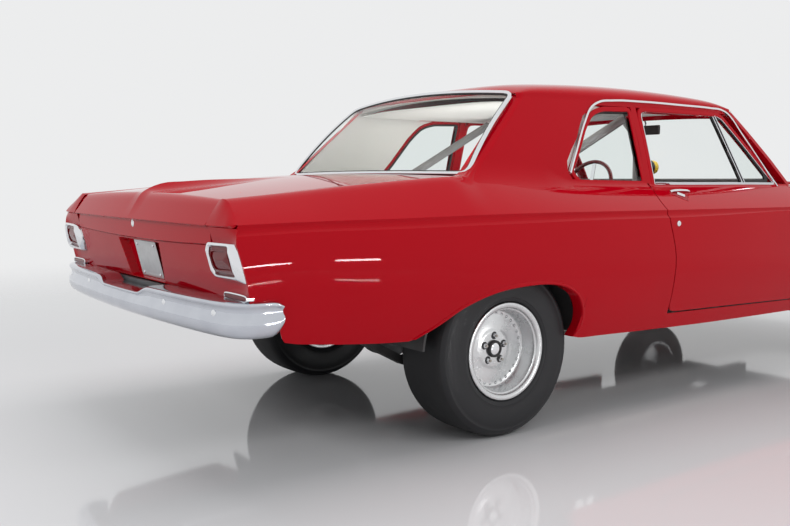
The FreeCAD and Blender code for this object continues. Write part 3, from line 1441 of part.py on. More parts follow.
def make_engine():
    """Engine and gearbox as plain blocks, the radiator, the exhaust and the fuel cell."""
    front = size("engine_front_x")
    rear = front - size("engine_length")
    low = size("engine_bottom")
    half = size("engine_half_width")
    engine = block((rear, -half, low), (front, half, low + size("engine_height")))
    side = size("gearbox_half_width")
    floor = low - size("gearbox_drop")
    gearbox = block((rear - size("gearbox_length"), -side, floor), (rear, side, floor + size("gearbox_height")))
    computed(engine.fuse(gearbox), "engine")

    wide = size("radiator_width") / 2
    x = size("radiator_x")
    base = size("floor_top") - size("floor_thickness")
    bars = base - 20
    core = block((x, -wide, bars), (x + size("radiator_thickness"), wide, base + size("radiator_height")))
    computed(core, "radiator")

    pipe = size("pipe_radius")
    y = size("pipe_offset")
    z = size("pipe_height")
    along = Vector(-1, 0, 0)
    start = size("pipe_front_x")
    run = Part.makeCylinder(pipe, size("pipe_length"), Vector(start, y, z), along)
    middle = Vector(size("muffler_front_x"), y, z)
    muffler = Part.makeCylinder(size("muffler_radius"), size("muffler_length"), middle, along)
    riser = Part.makeCylinder(pipe, low - z, Vector(start - 40, y, z), Vector(0, 0, 1))
    hang = size("pipe_hanger_x")
    hanger = block((hang, y - 8, z), (hang + 30, y + 8, base))
    exhaust = run.multiFuse([muffler, riser, hanger])
    computed(Part.makeCompound([exhaust, mirror(exhaust)]), "exhaust")

    wide = size("fuel_cell_width") / 2
    top = size("trunk_floor_top") - size("floor_thickness")
    x = size("trunk_x") - 300
    cell = block((x, -wide, top - size("fuel_cell_height")), (x + size("fuel_cell_length"), wide, top))
    computed(cell, "fuel_cell")


def make_front_suspension():
    """Cross member with the control arms, and the two knuckles with their spindles."""
    x = front_axle_x()
    z = size("front_tyre_radius")
    y = size("kingpin_offset")
    half = size("knuckle_height") / 2
    under = size("floor_top") - size("floor_thickness") - size("rail_height")
    rail_out = size("rail_offset") + size("rail_width") / 2
    wide = size("cross_half_width")
    cross = block((x - wide, -rail_out, under - 1.5 * wide), (x + wide, rail_out, under))
    parts = []
    radius = size("arm_radius")
    boss = size("boss_radius")
    up = Vector(0, 0, 1)
    tower = block((x - wide, rail_out, under - 40), (x + wide, rail_out + size("tower_thickness"), z + half + 30))
    low_boss = Part.makeCylinder(boss, boss, Vector(x, y, z - half - boss - 6), up)
    high_boss = Part.makeCylinder(boss, boss, Vector(x, y, z + half + 6), up)
    parts += [tower, low_boss, high_boss]
    spread = size("arm_spread")
    joint = half + 15
    for reach in (-1, 1):
        start = Vector(x + reach * spread, rail_out - 10, under - wide)
        end = Vector(x, y - 8, z - joint)
        parts.append(Part.makeCylinder(radius, (end - start).Length, start, end - start))
        start = Vector(x + reach * spread, rail_out + 16, z + joint)
        end = Vector(x, y - 8, z + joint)
        parts.append(Part.makeCylinder(radius, (end - start).Length, start, end - start))
    bore = Part.makeCylinder(size("pin_radius") + size("spindle_clearance"), 600, Vector(x, y, z - 300), up)
    arms = parts[0].multiFuse(parts[1:]).cut(bore)
    computed(cross.multiFuse([arms, mirror(arms)]), "front_suspension")

    wide = size("knuckle_width") / 2
    post = block((x - wide, y - wide / 2, z - half), (x + wide, y + wide / 2, z + half))
    pin = Part.makeCylinder(size("pin_radius"), 2 * half + 44, Vector(x, y, z - half - 22), up)
    reach = size("front_tyre_outer") - 7 - size("front_dish") + 10 - y
    spindle = Part.makeCylinder(size("spindle_radius"), reach, Vector(x, y, z), Vector(0, 1, 0))
    arm = block((x - size("steer_arm_length"), y - 16, z - 70), (x, y + 10, z - 46))
    knuckle = post.multiFuse([pin, spindle, arm])
    computed(knuckle, "knuckle_left")
    computed(mirror(knuckle), "knuckle_right")


def bumper_level(height, inset, end_x, sign, bow, wrap, depth):
    """Closed plan outline of a bumper at one height, from one wrapped end to the other."""
    half = size("bumper_half_width") - inset
    tip = end_x - sign * inset
    outer = [(tip - sign * wrap, half), (tip - sign * bow * 1.5, half), (tip - sign * bow * 0.9, half * 0.96),
             (tip - sign * bow * 0.45, half * 0.8), (tip - sign * bow * 0.12, half * 0.42), (tip, 0.0)]
    inner = [(tip - sign * depth, 0.0), (tip - sign * (bow * 0.12 + depth), half * 0.4),
             (tip - sign * (bow * 0.45 + depth), half * 0.76), (tip - sign * (bow * 0.9 + depth), half - 62),
             (tip - sign * (bow * 1.5 + depth * 0.8), half - 12), (tip - sign * wrap, half - 9)]
    right = [(x, -y) for x, y in outer[:-1]]
    inner_right = [(x, -y) for x, y in inner[1:]]
    points = outer + right[::-1] + inner_right[::-1] + inner[:1] + inner[1:]
    corners = [Vector(x, y, height) for x, y in points]
    return Part.makePolygon(corners + corners[:1])


def bumper_horns(base, end_x, bow, wrap):
    """Raised outer thirds of the rear bumper, with a dip between them under the plate."""
    thin = size("bumper_horn_depth")
    top = base + size("bumper_horn_height")
    levels = [bumper_level(base - 10, 6, end_x, -1, bow, wrap - 22, thin),
              bumper_level(top, 9, end_x, -1, bow, wrap - 60, thin)]
    dip = size("bumper_dip_half")
    slope = size("bumper_dip_slope")
    reach = end_x - 10
    corners = [Vector(reach, -dip, base), Vector(reach, dip, base), Vector(reach, dip + slope, top + 1),
               Vector(reach, -dip - slope, top + 1)]
    gap = Part.Face(Part.makePolygon(corners + corners[:1])).extrude(Vector(400, 0, 0))
    return Part.makeLoft(levels, True, True).cut(gap)


def make_bumpers():
    """Chrome bumpers that wrap round the body's corners, with their brackets."""
    for label, end_x, sign in (("rear_bumper", size("rear_bumper_x"), -1),
                               ("front_bumper", -size("rear_bumper_x"), 1)):
        low = size(label + "_bottom")
        tall = size(label + "_height")
        wrap = size("rear_bumper_wrap") if sign < 0 else size("front_bumper_wrap")
        bow = size("bumper_bow")
        depth = size("bumper_depth")
        levels = [bumper_level(low, 24, end_x, sign, bow, wrap, depth),
                  bumper_level(low + 50, 0, end_x, sign, bow, wrap, depth),
                  bumper_level(low + tall, 3, end_x, sign, bow, wrap, depth)]
        bar = Part.makeLoft(levels, True, True)
        if sign < 0:
            bar = bar.fuse(bumper_horns(low + tall, end_x, bow, wrap))
        back = size("tail_x") + size("tail_panel_thickness") + 20
        if sign > 0:
            back = size("nose_panel_x") - 20
        parts = []
        half = size("bumper_bracket_half")
        top = size("bumper_bracket_top")
        bottom = size("bumper_bracket_bottom")
        if sign > 0:
            top = size("front_bumper_bottom") + 3 * half
            bottom = size("floor_top") - size("floor_thickness") - 50
        for side in (-1, 1):
            y = side * size("rail_offset")
            low_x = min(back, end_x - sign * 60)
            high_x = max(back, end_x - sign * 60)
            parts.append(block((low_x, y - half, bottom), (high_x, y + half, top)))
        computed(bar.multiFuse(parts), label)


def make_lamps():
    """Tail lamps, headlamps and grille."""
    tail = size("tail_x")
    deep = size("lamp_depth")
    low_x = tail - size("lamp_low_depth")
    high_x = tail - size("lamp_high_depth")
    side = [(tail, size("lamp_low")), (low_x, size("lamp_low")), (tail - deep, size("lamp_mid")),
            (high_x, size("lamp_high")), (tail, size("lamp_high"))]
    lamp = prism_xz(side, size("lamp_inner"), size("lamp_outer"))
    small = block((tail - size("marker_depth"), size("marker_inner"), size("marker_low")),
                  (tail, size("marker_outer"), size("marker_high")))
    computed(Part.makeCompound([lamp, mirror(lamp), small, mirror(small)]), "tail_lamps")

    x = size("nose_panel_x") - 10
    lamps = []
    for side in (-1, 1):
        start = Vector(x, side * size("headlamp_offset"), size("headlamp_height"))
        lamps.append(Part.makeCylinder(size("headlamp_radius") + 0.7, size("headlamp_depth"), start, Vector(1, 0, 0)))
    computed(Part.makeCompound(lamps), "headlamps")

    body = new_body("grille")
    frame = new_sketch(body, "YZ_Plane", "grille_frame_outline")
    for side_inset, inset in (("seat_clearance", "seat_clearance"), ("grille_frame_side", "grille_frame_edge")):
        half = f"(sizes.grille_half_width - sizes.{side_inset})"
        low = f"sizes.grille_bottom + sizes.{inset}"
        high = f"sizes.grille_top - sizes.{inset}"
        draw_outline(frame, [(f"-{half}", low), (half, low), (half, high), (f"-{half}", high)])
    pad(body, frame, "sizes.grille_bar_depth", "grille_frame")
    bar = new_sketch(body, "YZ_Plane", "grille_bar_outline")
    half = "(sizes.grille_half_width - sizes.grille_frame_side + 2)"
    low = "sizes.grille_bottom + sizes.grille_first_bar"
    high = low + " + sizes.grille_bar_height"
    draw_outline(bar, [(f"-{half}", low), (half, low), (half, high), (f"-{half}", high)])
    first = pad(body, bar, "sizes.grille_bar_depth", "grille_bar")
    pattern = body.newObject("PartDesign::LinearPattern", "grille_bars")
    pattern.Originals = [first]
    axis = [item for item in body.Origin.OriginFeatures if item.Role == "Z_Axis"][0]
    pattern.Direction = (axis, [""])
    pattern.setExpression("Length", "sizes.grille_top - sizes.grille_bottom - 2 * sizes.grille_first_bar "
                                    "- sizes.grille_bar_height")
    pattern.setExpression("Occurrences", "sizes.grille_bar_count")
    body.Tip = pattern
    place(body, "sizes.nose_panel_x", "0", "0")


def check_and_export():
    """Stop on a failed object, then write every piece."""
    doc.recompute()
    for item in doc.Objects:
        states = [word for word in item.State if word in ("Invalid", "Error")]
        if states:
            raise RuntimeError(f"{item.Name} is {states}")
    os.makedirs("parts", exist_ok=True)
    for piece in pieces:
        shape = piece.Shape
        if shape.isNull() or not shape.isValid() or not shape.Solids:
            raise RuntimeError(piece.Label + " has no valid solid")
        shape.exportStep(f"parts/{piece.Label}.step")
        print(piece.Label, len(shape.Solids), round(shape.Volume / 1e6, 2))


fill_sheet()
make_body_sides()
make_roof()
make_back_panel()
make_trunk_lid()
make_hood()
make_ends()
make_glass()
make_floor()
make_shelf()
make_cage()
make_seats()
make_dash()
make_wheels()
make_rear_axle()
make_engine()
make_front_suspension()
make_bumpers()
make_lamps()
check_and_export()
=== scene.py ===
"""Looks of a drag racing car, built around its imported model.

Shapes are worked out in millimetres with +X forward, +Y to the car's left and +Z up,
and are written into the meshes in metres.
"""

import json
import logging
import math
from dataclasses import dataclass
from enum import Enum
from typing import Callable, Optional, Sequence

import bmesh
import bpy
import numpy as np
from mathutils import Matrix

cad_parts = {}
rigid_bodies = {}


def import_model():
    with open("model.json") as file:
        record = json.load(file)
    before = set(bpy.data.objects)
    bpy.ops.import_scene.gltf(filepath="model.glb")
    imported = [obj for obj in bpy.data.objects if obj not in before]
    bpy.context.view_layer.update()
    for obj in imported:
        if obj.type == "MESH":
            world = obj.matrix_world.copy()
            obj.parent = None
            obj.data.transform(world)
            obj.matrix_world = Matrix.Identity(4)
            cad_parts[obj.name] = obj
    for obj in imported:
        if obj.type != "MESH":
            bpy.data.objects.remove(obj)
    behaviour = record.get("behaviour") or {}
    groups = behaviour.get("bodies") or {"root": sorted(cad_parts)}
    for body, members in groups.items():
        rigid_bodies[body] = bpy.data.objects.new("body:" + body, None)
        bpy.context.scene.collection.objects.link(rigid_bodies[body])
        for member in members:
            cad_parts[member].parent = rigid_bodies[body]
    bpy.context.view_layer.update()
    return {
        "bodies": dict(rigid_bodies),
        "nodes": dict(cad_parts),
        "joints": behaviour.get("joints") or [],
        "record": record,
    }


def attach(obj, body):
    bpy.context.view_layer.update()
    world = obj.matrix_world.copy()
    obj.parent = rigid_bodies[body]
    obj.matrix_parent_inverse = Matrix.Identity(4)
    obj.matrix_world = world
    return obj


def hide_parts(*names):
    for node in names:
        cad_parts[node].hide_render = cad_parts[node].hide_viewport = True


Array = np.ndarray
log = logging.getLogger("drag_racing_car")

MM = 0.001  # scene units in one millimetre
REAR_AXLE_X = -1239.0
FRONT_AXLE_X = 1707.0
BUMPER_X = 2583.0
DOOR_FRONT_X = 966.0
BELT = 1047.0
DRIP = 1461.0
DECK_HALF = 744.0
LID_HALF = 738.0
ROOF_HALF = 648.0
PHOTO_WIDTH = 790.0
SENSOR_WIDTH = 36.0
CLOTH_FRAMES = 20


class Side(Enum):
    """The two sides of the car, as the sign of Y."""

    LEFT = 1.0
    RIGHT = -1.0

    @property
    def word(self) -> str:
        """Plain word for piece names."""
        return "left" if self is Side.LEFT else "right"


# Curves and grids


def xyz(x: Array, y: Array, z: Array) -> Array:
    """Points from their three coordinates, each a grid or one number."""
    return np.stack(np.broadcast_arrays(x, y, z), axis=-1)


def bent(wave: Array, power: float) -> Array:
    """A sine or cosine raised to a power with its sign kept, for rounded outlines."""
    return np.sign(wave) * np.abs(wave) ** power


def travelled(points: Array) -> Array:
    """Distance along a run of points up to each of them."""
    return np.concatenate([[0.0], np.cumsum(np.linalg.norm(np.diff(points, axis=0), axis=1))])


def unit(vectors: Array) -> Array:
    """Rows of vectors, each made one long."""
    return vectors / np.linalg.norm(vectors, axis=1, keepdims=True)


def hermite(at: Array, places: Sequence[float], values: Sequence[float]) -> Array:
    """Smooth curve through a table: cubic pieces whose slopes are the table's own gradient.

    Args:
        at: where the curve is wanted.
        places: rising places of the table.
        values: values of the table.

    Returns:
        The curve's values, held at the table's ends.
    """
    xs, ys = np.asarray(places, float), np.asarray(values, float)
    at = np.clip(np.asarray(at, float), xs[0], xs[-1])
    slopes = np.gradient(ys, xs)
    low = np.clip(np.searchsorted(xs, at, side="right") - 1, 0, len(xs) - 2)
    width = xs[low + 1] - xs[low]
    t = (at - xs[low]) / width
    first = (2 * t**3 - 3 * t**2 + 1) * ys[low] + (t**3 - 2 * t**2 + t) * width * slopes[low]
    second = (3 * t**2 - 2 * t**3) * ys[low + 1] + (t**3 - t**2) * width * slopes[low + 1]
    return first + second


def along(points: Sequence[Sequence[float]], count: int, smooth: bool = False) -> Array:
    """Points evenly spaced by arc length along a run of corners, straight or smoothly bent."""
    corners = np.asarray(points, float)
    run = travelled(corners)
    if smooth:
        fine = np.linspace(0.0, run[-1], 40 * len(corners))
        corners = np.stack([hermite(fine, run, corners[:, k]) for k in range(corners.shape[1])], axis=-1)
        run = travelled(corners)
    places = np.linspace(0.0, run[-1], count)
    return np.stack([np.interp(places, run, corners[:, k]) for k in range(corners.shape[1])], axis=-1)


def bezier(start: Array, middle: Array, end: Array, share: Array) -> Array:
    """Quadratic curve that leaves start towards middle and arrives at end from middle."""
    s = share[:, None, None]
    return (1 - s) ** 2 * start + 2 * s * (1 - s) * middle + s**2 * end


def other_side(points: Array) -> Array:
    """The same points on the other side of the car."""
    return points * np.array([1.0, -1.0, 1.0])


@dataclass
class Patch:
    """A grid of surface points in millimetres, rows by columns, and a direction that its faces look along."""

    points: Array
    outward: tuple[float, float, float]
    closed: bool = False

    def mirrored(self) -> "Patch":
        """The patch on the other side of the car."""
        x, y, z = self.outward
        return Patch(other_side(self.points), (x, -y, z), self.closed)

    def cells(self) -> Array:
        """Four point numbers for each cell, row by row."""
        rows, columns = self.points.shape[:2]
        number = np.arange(rows * columns).reshape(rows, columns)
        if self.closed:
            number = np.concatenate([number, number[:, :1]], axis=1)
        return np.stack([number[:-1, :-1], number[:-1, 1:], number[1:, 1:], number[1:, :-1]], axis=-1).reshape(-1, 4)

    def normals(self, cells: Array) -> Array:
        """Normal of each cell, from its two diagonals."""
        flat = self.points.reshape(-1, 3)
        return np.cross(flat[cells[:, 2]] - flat[cells[:, 0]], flat[cells[:, 3]] - flat[cells[:, 1]])

    def faces(self) -> Array:
        """The cells, turned so that their mean normal agrees with outward."""
        cells = self.cells()
        return cells if self.normals(cells).sum(0) @ np.asarray(self.outward) >= 0 else cells[:, ::-1]


@dataclass
class RingPatch(Patch):
    """A closed tube whose faces are turned away from the middle line of its rings."""

    def faces(self) -> Array:
        """Cells of the tube, looking away from the mean of their own ring."""
        cells = self.cells()
        out = (self.points - self.points.mean(1, keepdims=True))[:-1].reshape(-1, 3)
        return cells if (self.normals(cells) * out).sum() >= 0 else cells[:, ::-1]


@dataclass
class TurnedPatch(Patch):
    """A turned surface whose faces keep the side that its profile's order gives."""

    def faces(self) -> Array:
        """Cells whose normal points to the left of the profile's direction of travel."""
        return self.cells()

    def mirrored(self) -> "Patch":
        """The turned patch on the other side, with its ring reversed so that it stays right side out."""
        return TurnedPatch(other_side(self.points)[:, ::-1], self.outward, self.closed)


def both(patches: Sequence[Patch]) -> list[Patch]:
    """Patches of the left side together with their copies on the right side."""
    return list(patches) + [patch.mirrored() for patch in patches]


def on(side: Side, patches: Sequence[Patch]) -> list[Patch]:
    """Patches of the left side, or their copies where the right side is wanted."""
    return list(patches) if side is Side.LEFT else [patch.mirrored() for patch in patches]


@dataclass
class Wall:
    """Modifiers that give a skin its thickness and its rounded edges, in millimetres."""

    thickness: float = 0.0
    edge: float = 0.0
    angle: float = 38.0
    segments: int = 2


def mesh_piece(name: str, patches: Sequence[Patch], material: bpy.types.Material, wall: Wall = Wall(),
               weld: float = 0.25, sharp: float = 32.0) -> bpy.types.Object:
    """Join patches into one object at the origin.

    Args:
        name: the piece's name.
        patches: grids of points.
        material: finish of the whole piece.
        wall: thickness and edge rounding.
        weld: points nearer than this become one.
        sharp: edges that turn more than this many degrees stay sharp.

    Returns:
        The new object.
    """
    points, quads, start = [], [], 0
    for patch in patches:
        quads.append(patch.faces() + start)
        points.append(patch.points.reshape(-1, 3))
        start += len(points[-1])
    mesh = bpy.data.meshes.new(name)
    mesh.from_pydata((np.concatenate(points) * MM).tolist(), [], np.concatenate(quads).tolist())
    shape = bmesh.new()
    shape.from_mesh(mesh)
    bmesh.ops.remove_doubles(shape, verts=shape.verts, dist=weld * MM)
    bmesh.ops.dissolve_degenerate(shape, edges=shape.edges, dist=1e-6)
    shape.to_mesh(mesh)
    shape.free()
    mesh.polygons.foreach_set("use_smooth", np.ones(len(mesh.polygons), bool))
    mesh.set_sharp_from_angle(angle=math.radians(sharp))
    used, flags = np.zeros(len(mesh.loops), np.int32), np.zeros(len(mesh.edges), bool)
    mesh.loops.foreach_get("edge_index", used)
    mesh.edges.foreach_get("use_edge_sharp", flags)
    mesh.edges.foreach_set("use_edge_sharp", flags | (np.bincount(used, minlength=len(flags)) == 1))
    mesh.materials.append(material)
    piece = bpy.data.objects.new(name, mesh)
    bpy.context.scene.collection.objects.link(piece)
    if wall.thickness:
        solid = piece.modifiers.new("wall", "SOLIDIFY")
        solid.thickness, solid.offset = wall.thickness * MM, -1.0
        solid.use_even_offset = False
    if wall.edge:
        bevel = piece.modifiers.new("edge", "BEVEL")
        bevel.width, bevel.segments = wall.edge * MM, wall.segments
        bevel.limit_method, bevel.angle_limit = "ANGLE", math.radians(wall.angle)
        bevel.harden_normals = True
    log.info("%s: %d points", name, len(mesh.vertices))
    return piece


def frames(path: Array, up: Sequence[float], closed: bool = False) -> tuple[Array, Array]:
    """Two directions across a path: side = tangent x up, and rise = side x tangent, both of unit length."""
    if closed:
        tangent = np.roll(path, -1, axis=0) - np.roll(path, 1, axis=0)
    else:
        tangent = np.gradient(path, axis=0)
    tangent = unit(tangent)
    side = np.cross(tangent, np.broadcast_to(np.asarray(up, float), path.shape))
    side = unit(side)
    return side, np.cross(side, tangent)


def sweep(path: Array, profile: Sequence[Sequence[float]], up: Sequence[float], closed_path: bool = False,
          caps: bool = True) -> list[Patch]:
    """Carry a closed profile along a path: point = path + a * side + b * rise for each profile corner (a, b).

    Args:
        path: points of the path, in millimetres.
        profile: corners (a, b), in turn round the section.
        up: direction that the profile's second axis follows.
        closed_path: join the path's end to its start.
        caps: close the two ends.

    Returns:
        The tube and its end caps.
    """
    side, rise = frames(path, up, closed_path)
    outline = np.asarray(profile, float)
    rings = path[:, None] + outline[None, :, :1] * side[:, None] + outline[None, :, 1:] * rise[:, None]
    if closed_path:
        rings = np.concatenate([rings, rings[:1]])
    patches = [RingPatch(rings, (0, 0, 1), closed=True)]
    if caps and not closed_path:
        for ring, way in ((rings[0], path[0] - path[1]), (rings[-1], path[-1] - path[-2])):
            patches.append(Patch(np.stack([ring, np.broadcast_to(ring.mean(0), ring.shape)]), tuple(way),
                                 closed=True))
    return patches


def round_bar(path: Array, radius: float, corners: int = 14, closed_path: bool = False,
              up: Sequence[float] = (0.13, 0.21, 0.97)) -> list[Patch]:
    """A round bar: a circle of the given radius carried along the path."""
    turn = np.linspace(0, 2 * np.pi, corners, endpoint=False)
    return sweep(path, np.stack([radius * np.cos(turn), radius * np.sin(turn)], axis=-1), up, closed_path)


def turned(centre: Sequence[float], axis: Sequence[float], profile: Sequence[Sequence[float]],
           segments: int = 48, close_ring: bool = False) -> list[Patch]:
    """Turn a profile round an axis: point = centre + h * axis + r * (cos a * u + sin a * w).

    Args:
        centre: point on the axis, in millimetres.
        axis: direction of the axis.
        profile: corners (radius, height along the axis), listed so that the outside lies to the profile's left.
        segments: steps round the circle.
        close_ring: join the profile's end to its start.

    Returns:
        One closed patch.
    """
    way = np.asarray(axis, float) / np.linalg.norm(axis)
    helper = np.array([0.0, 0.0, 1.0]) if abs(way[2]) < 0.9 else np.array([1.0, 0.0, 0.0])
    across = np.cross(way, helper)
    across /= np.linalg.norm(across)
    third = np.cross(way, across)
    outline = np.asarray(profile, float)
    if close_ring:
        outline = np.concatenate([outline, outline[:1]])
    angle = np.linspace(0, 2 * np.pi, segments, endpoint=False)
    spoke = np.cos(angle)[:, None] * across + np.sin(angle)[:, None] * third
    points = (np.asarray(centre, float) + outline[:, None, 1:] * way + outline[:, None, :1] * spoke[None])
    return [TurnedPatch(points, tuple(way), True)]


def ride(piece: bpy.types.Object, body: str, slot: str, *nodes: str) -> bpy.types.Object:
    """Give a piece its body and hide the solids that it stands for."""
    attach(piece, body)
    if nodes:
        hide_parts(*nodes)
    return piece


# Finishes


def node(tree: bpy.types.NodeTree, kind: str, values: Optional[dict] = None, **settings: str) -> bpy.types.Node:
    """New shader node of one kind, with its settings and the values of its inputs."""
    made = tree.nodes.new(f"ShaderNode{kind}")
    for key, value in settings.items():
        setattr(made, key, value)
    for key, value in (values or {}).items():
        made.inputs[key].default_value = value
    return made


def node_group(name: str, inputs: Sequence[tuple[str, float]], output: str) -> tuple[bpy.types.NodeTree, dict]:
    """Empty shader node group with named float inputs and one float output.

    Args:
        name: group name.
        inputs: names and default values.
        output: name of the value that it puts out.

    Returns:
        The tree and its input and output nodes.
    """
    tree = bpy.data.node_groups.new(name, "ShaderNodeTree")
    for label, default in inputs:
        socket = tree.interface.new_socket(name=label, in_out="INPUT", socket_type="NodeSocketFloat")
        socket.default_value = default
    tree.interface.new_socket(name=output, in_out="OUTPUT", socket_type="NodeSocketFloat")
    return tree, {"in": tree.nodes.new("NodeGroupInput"), "out": tree.nodes.new("NodeGroupOutput")}


def mottle_group() -> bpy.types.NodeTree:
    """Soft patches for dust, wear and uneven gloss, and for the painted reflection on the bumper's chrome: fine and
    coarse noise mixed, from 0 to 1.
    """
    tree, ends = node_group("mottle", [("Scale", 20.0), ("Contrast", 0.5)], "Mask")
    place = node(tree, "TexCoord")
    coarse = node(tree, "TexNoise", {"Detail": 6.0, "Roughness": 0.62})
    ramp = node(tree, "MapRange")
    low = node(tree, "Math", {1: -0.3, 2: 0.5}, operation="MULTIPLY_ADD")
    high = node(tree, "Math", {1: 0.3, 2: 0.55}, operation="MULTIPLY_ADD")
    link = tree.links.new
    link(place.outputs["Object"], coarse.inputs["Vector"])
    link(ends["in"].outputs["Scale"], coarse.inputs["Scale"])
    link(ends["in"].outputs["Contrast"], low.inputs[0])
    link(ends["in"].outputs["Contrast"], high.inputs[0])
    link(coarse.outputs["Fac"], ramp.inputs["Value"])
    link(low.outputs[0], ramp.inputs["From Min"])
    link(high.outputs[0], ramp.inputs["From Max"])
    link(ramp.outputs["Result"], ends["out"].inputs["Mask"])
    return tree


def grain_group() -> bpy.types.NodeTree:
    """Fine pebbled grain: cells and noise together, for vinyl, leather and cast surfaces."""
    tree, ends = node_group("grain", [("Scale", 400.0), ("Cells", 0.6)], "Height")
    place, cells = node(tree, "TexCoord"), node(tree, "TexVoronoi")
    noise, mix = node(tree, "TexNoise", {"Detail": 3.0}), node(tree, "Mix")
    link = tree.links.new
    for texture in (cells, noise):
        link(place.outputs["Object"], texture.inputs["Vector"])
        link(ends["in"].outputs["Scale"], texture.inputs["Scale"])
    link(ends["in"].outputs["Cells"], mix.inputs["Factor"])
    link(noise.outputs["Fac"], mix.inputs["A"])
    link(cells.outputs["Distance"], mix.inputs["B"])
    link(mix.outputs["Result"], ends["out"].inputs["Height"])
    return tree


@dataclass(frozen=True)
class Finish:
    """A surface finish: base colour with a darker or dustier second colour (on the bumper's chrome a painted
    reflection), gloss and grain.

    Attributes:
        name: material name.
        colour: main colour, linear.
        second: colour in the patches: dust and wear on most finishes, a painted darker reflection of the floor on the
            bumper's chrome.
        patches: how strongly the second colour shows, 0 to 1.
        patch_scale: size of the patches, in cycles per metre.
        rough: roughness and its spread over the patches.
        metal: metallic value.
        coat: clear coat weight, with coat_rough.
        grain: depth of the grain in millimetres, with its scale and share of cells.
        transmission: share of light let through.
        sheen: sheen weight of cloth.
        ior: index of refraction, with specular as the strength of its reflection.
        coat_ior: index of refraction of the clear coat.
        clear: lets the lamps' light straight through, for window glass.
    """

    name: str
    colour: tuple[float, float, float]
    second: Optional[tuple[float, float, float]] = None
    patches: float = 0.25
    patch_scale: float = 9.0
    rough: tuple[float, float] = (0.4, 0.08)
    metal: float = 0.0
    coat: float = 0.0
    coat_rough: float = 0.03
    grain: tuple[float, float, float] = (0.0, 400.0, 0.5)
    transmission: float = 0.0
    alpha: float = 1.0
    sheen: float = 0.0
    ior: float = 1.5
    specular: float = 0.5
    coat_ior: float = 1.5
    clear: bool = False

    def build(self, kit: dict[str, bpy.types.NodeTree]) -> bpy.types.Material:
        """Make the material from the shared groups.

        Args:
            kit: node groups by name.

        Returns:
            The finished material.
        """
        material = bpy.data.materials.new(self.name)
        material.use_nodes = True
        tree = material.node_tree
        shader = tree.nodes["Principled BSDF"]
        link = tree.links.new
        mask = node(tree, "Group", {"Scale": self.patch_scale, "Contrast": 0.7}, node_tree=kit["mottle"])
        share = node(tree, "Math", {1: self.patches}, operation="MULTIPLY")
        second = self.second or tuple(c * 0.7 for c in self.colour)
        # second colour: dust and wear on most finishes, painted reflection on the bumper's chrome
        tint = node(tree, "Mix", {"A": (*self.colour, 1.0), "B": (*second, 1.0)}, data_type="RGBA")
        gloss = node(tree, "MapRange", {"To Min": self.rough[0], "To Max": self.rough[0] + self.rough[1]})
        link(mask.outputs["Mask"], share.inputs[0])
        link(share.outputs[0], tint.inputs["Factor"])
        link(tint.outputs["Result"], shader.inputs["Base Color"])
        link(mask.outputs["Mask"], gloss.inputs["Value"])
        link(gloss.outputs["Result"], shader.inputs["Roughness"])
        if self.grain[0]:
            grain = node(tree, "Group", {"Scale": self.grain[1], "Cells": self.grain[2]}, node_tree=kit["grain"])
            bump = node(tree, "Bump", {"Distance": self.grain[0] * MM, "Strength": 0.8})
            link(grain.outputs["Height"], bump.inputs["Height"])
            link(bump.outputs["Normal"], shader.inputs["Normal"])
        for label, value in (("Metallic", self.metal), ("Coat Weight", self.coat),
                             ("Coat Roughness", self.coat_rough), ("Transmission Weight", self.transmission),
                             ("Sheen Weight", self.sheen), ("IOR", self.ior), ("Alpha", self.alpha),
                             ("Specular IOR Level", self.specular), ("Coat IOR", self.coat_ior)):
            shader.inputs[label].default_value = value
        if self.clear:
            path, through, choice = (node(tree, kind) for kind in ("LightPath", "BsdfTransparent", "MixShader"))
            link(path.outputs["Is Shadow Ray"], choice.inputs["Fac"])
            link(shader.outputs[0], choice.inputs[1])
            link(through.outputs[0], choice.inputs[2])
            link(choice.outputs[0], tree.nodes["Material Output"].inputs["Surface"])
        material.diffuse_color = (*self.colour, 1.0)
        return material


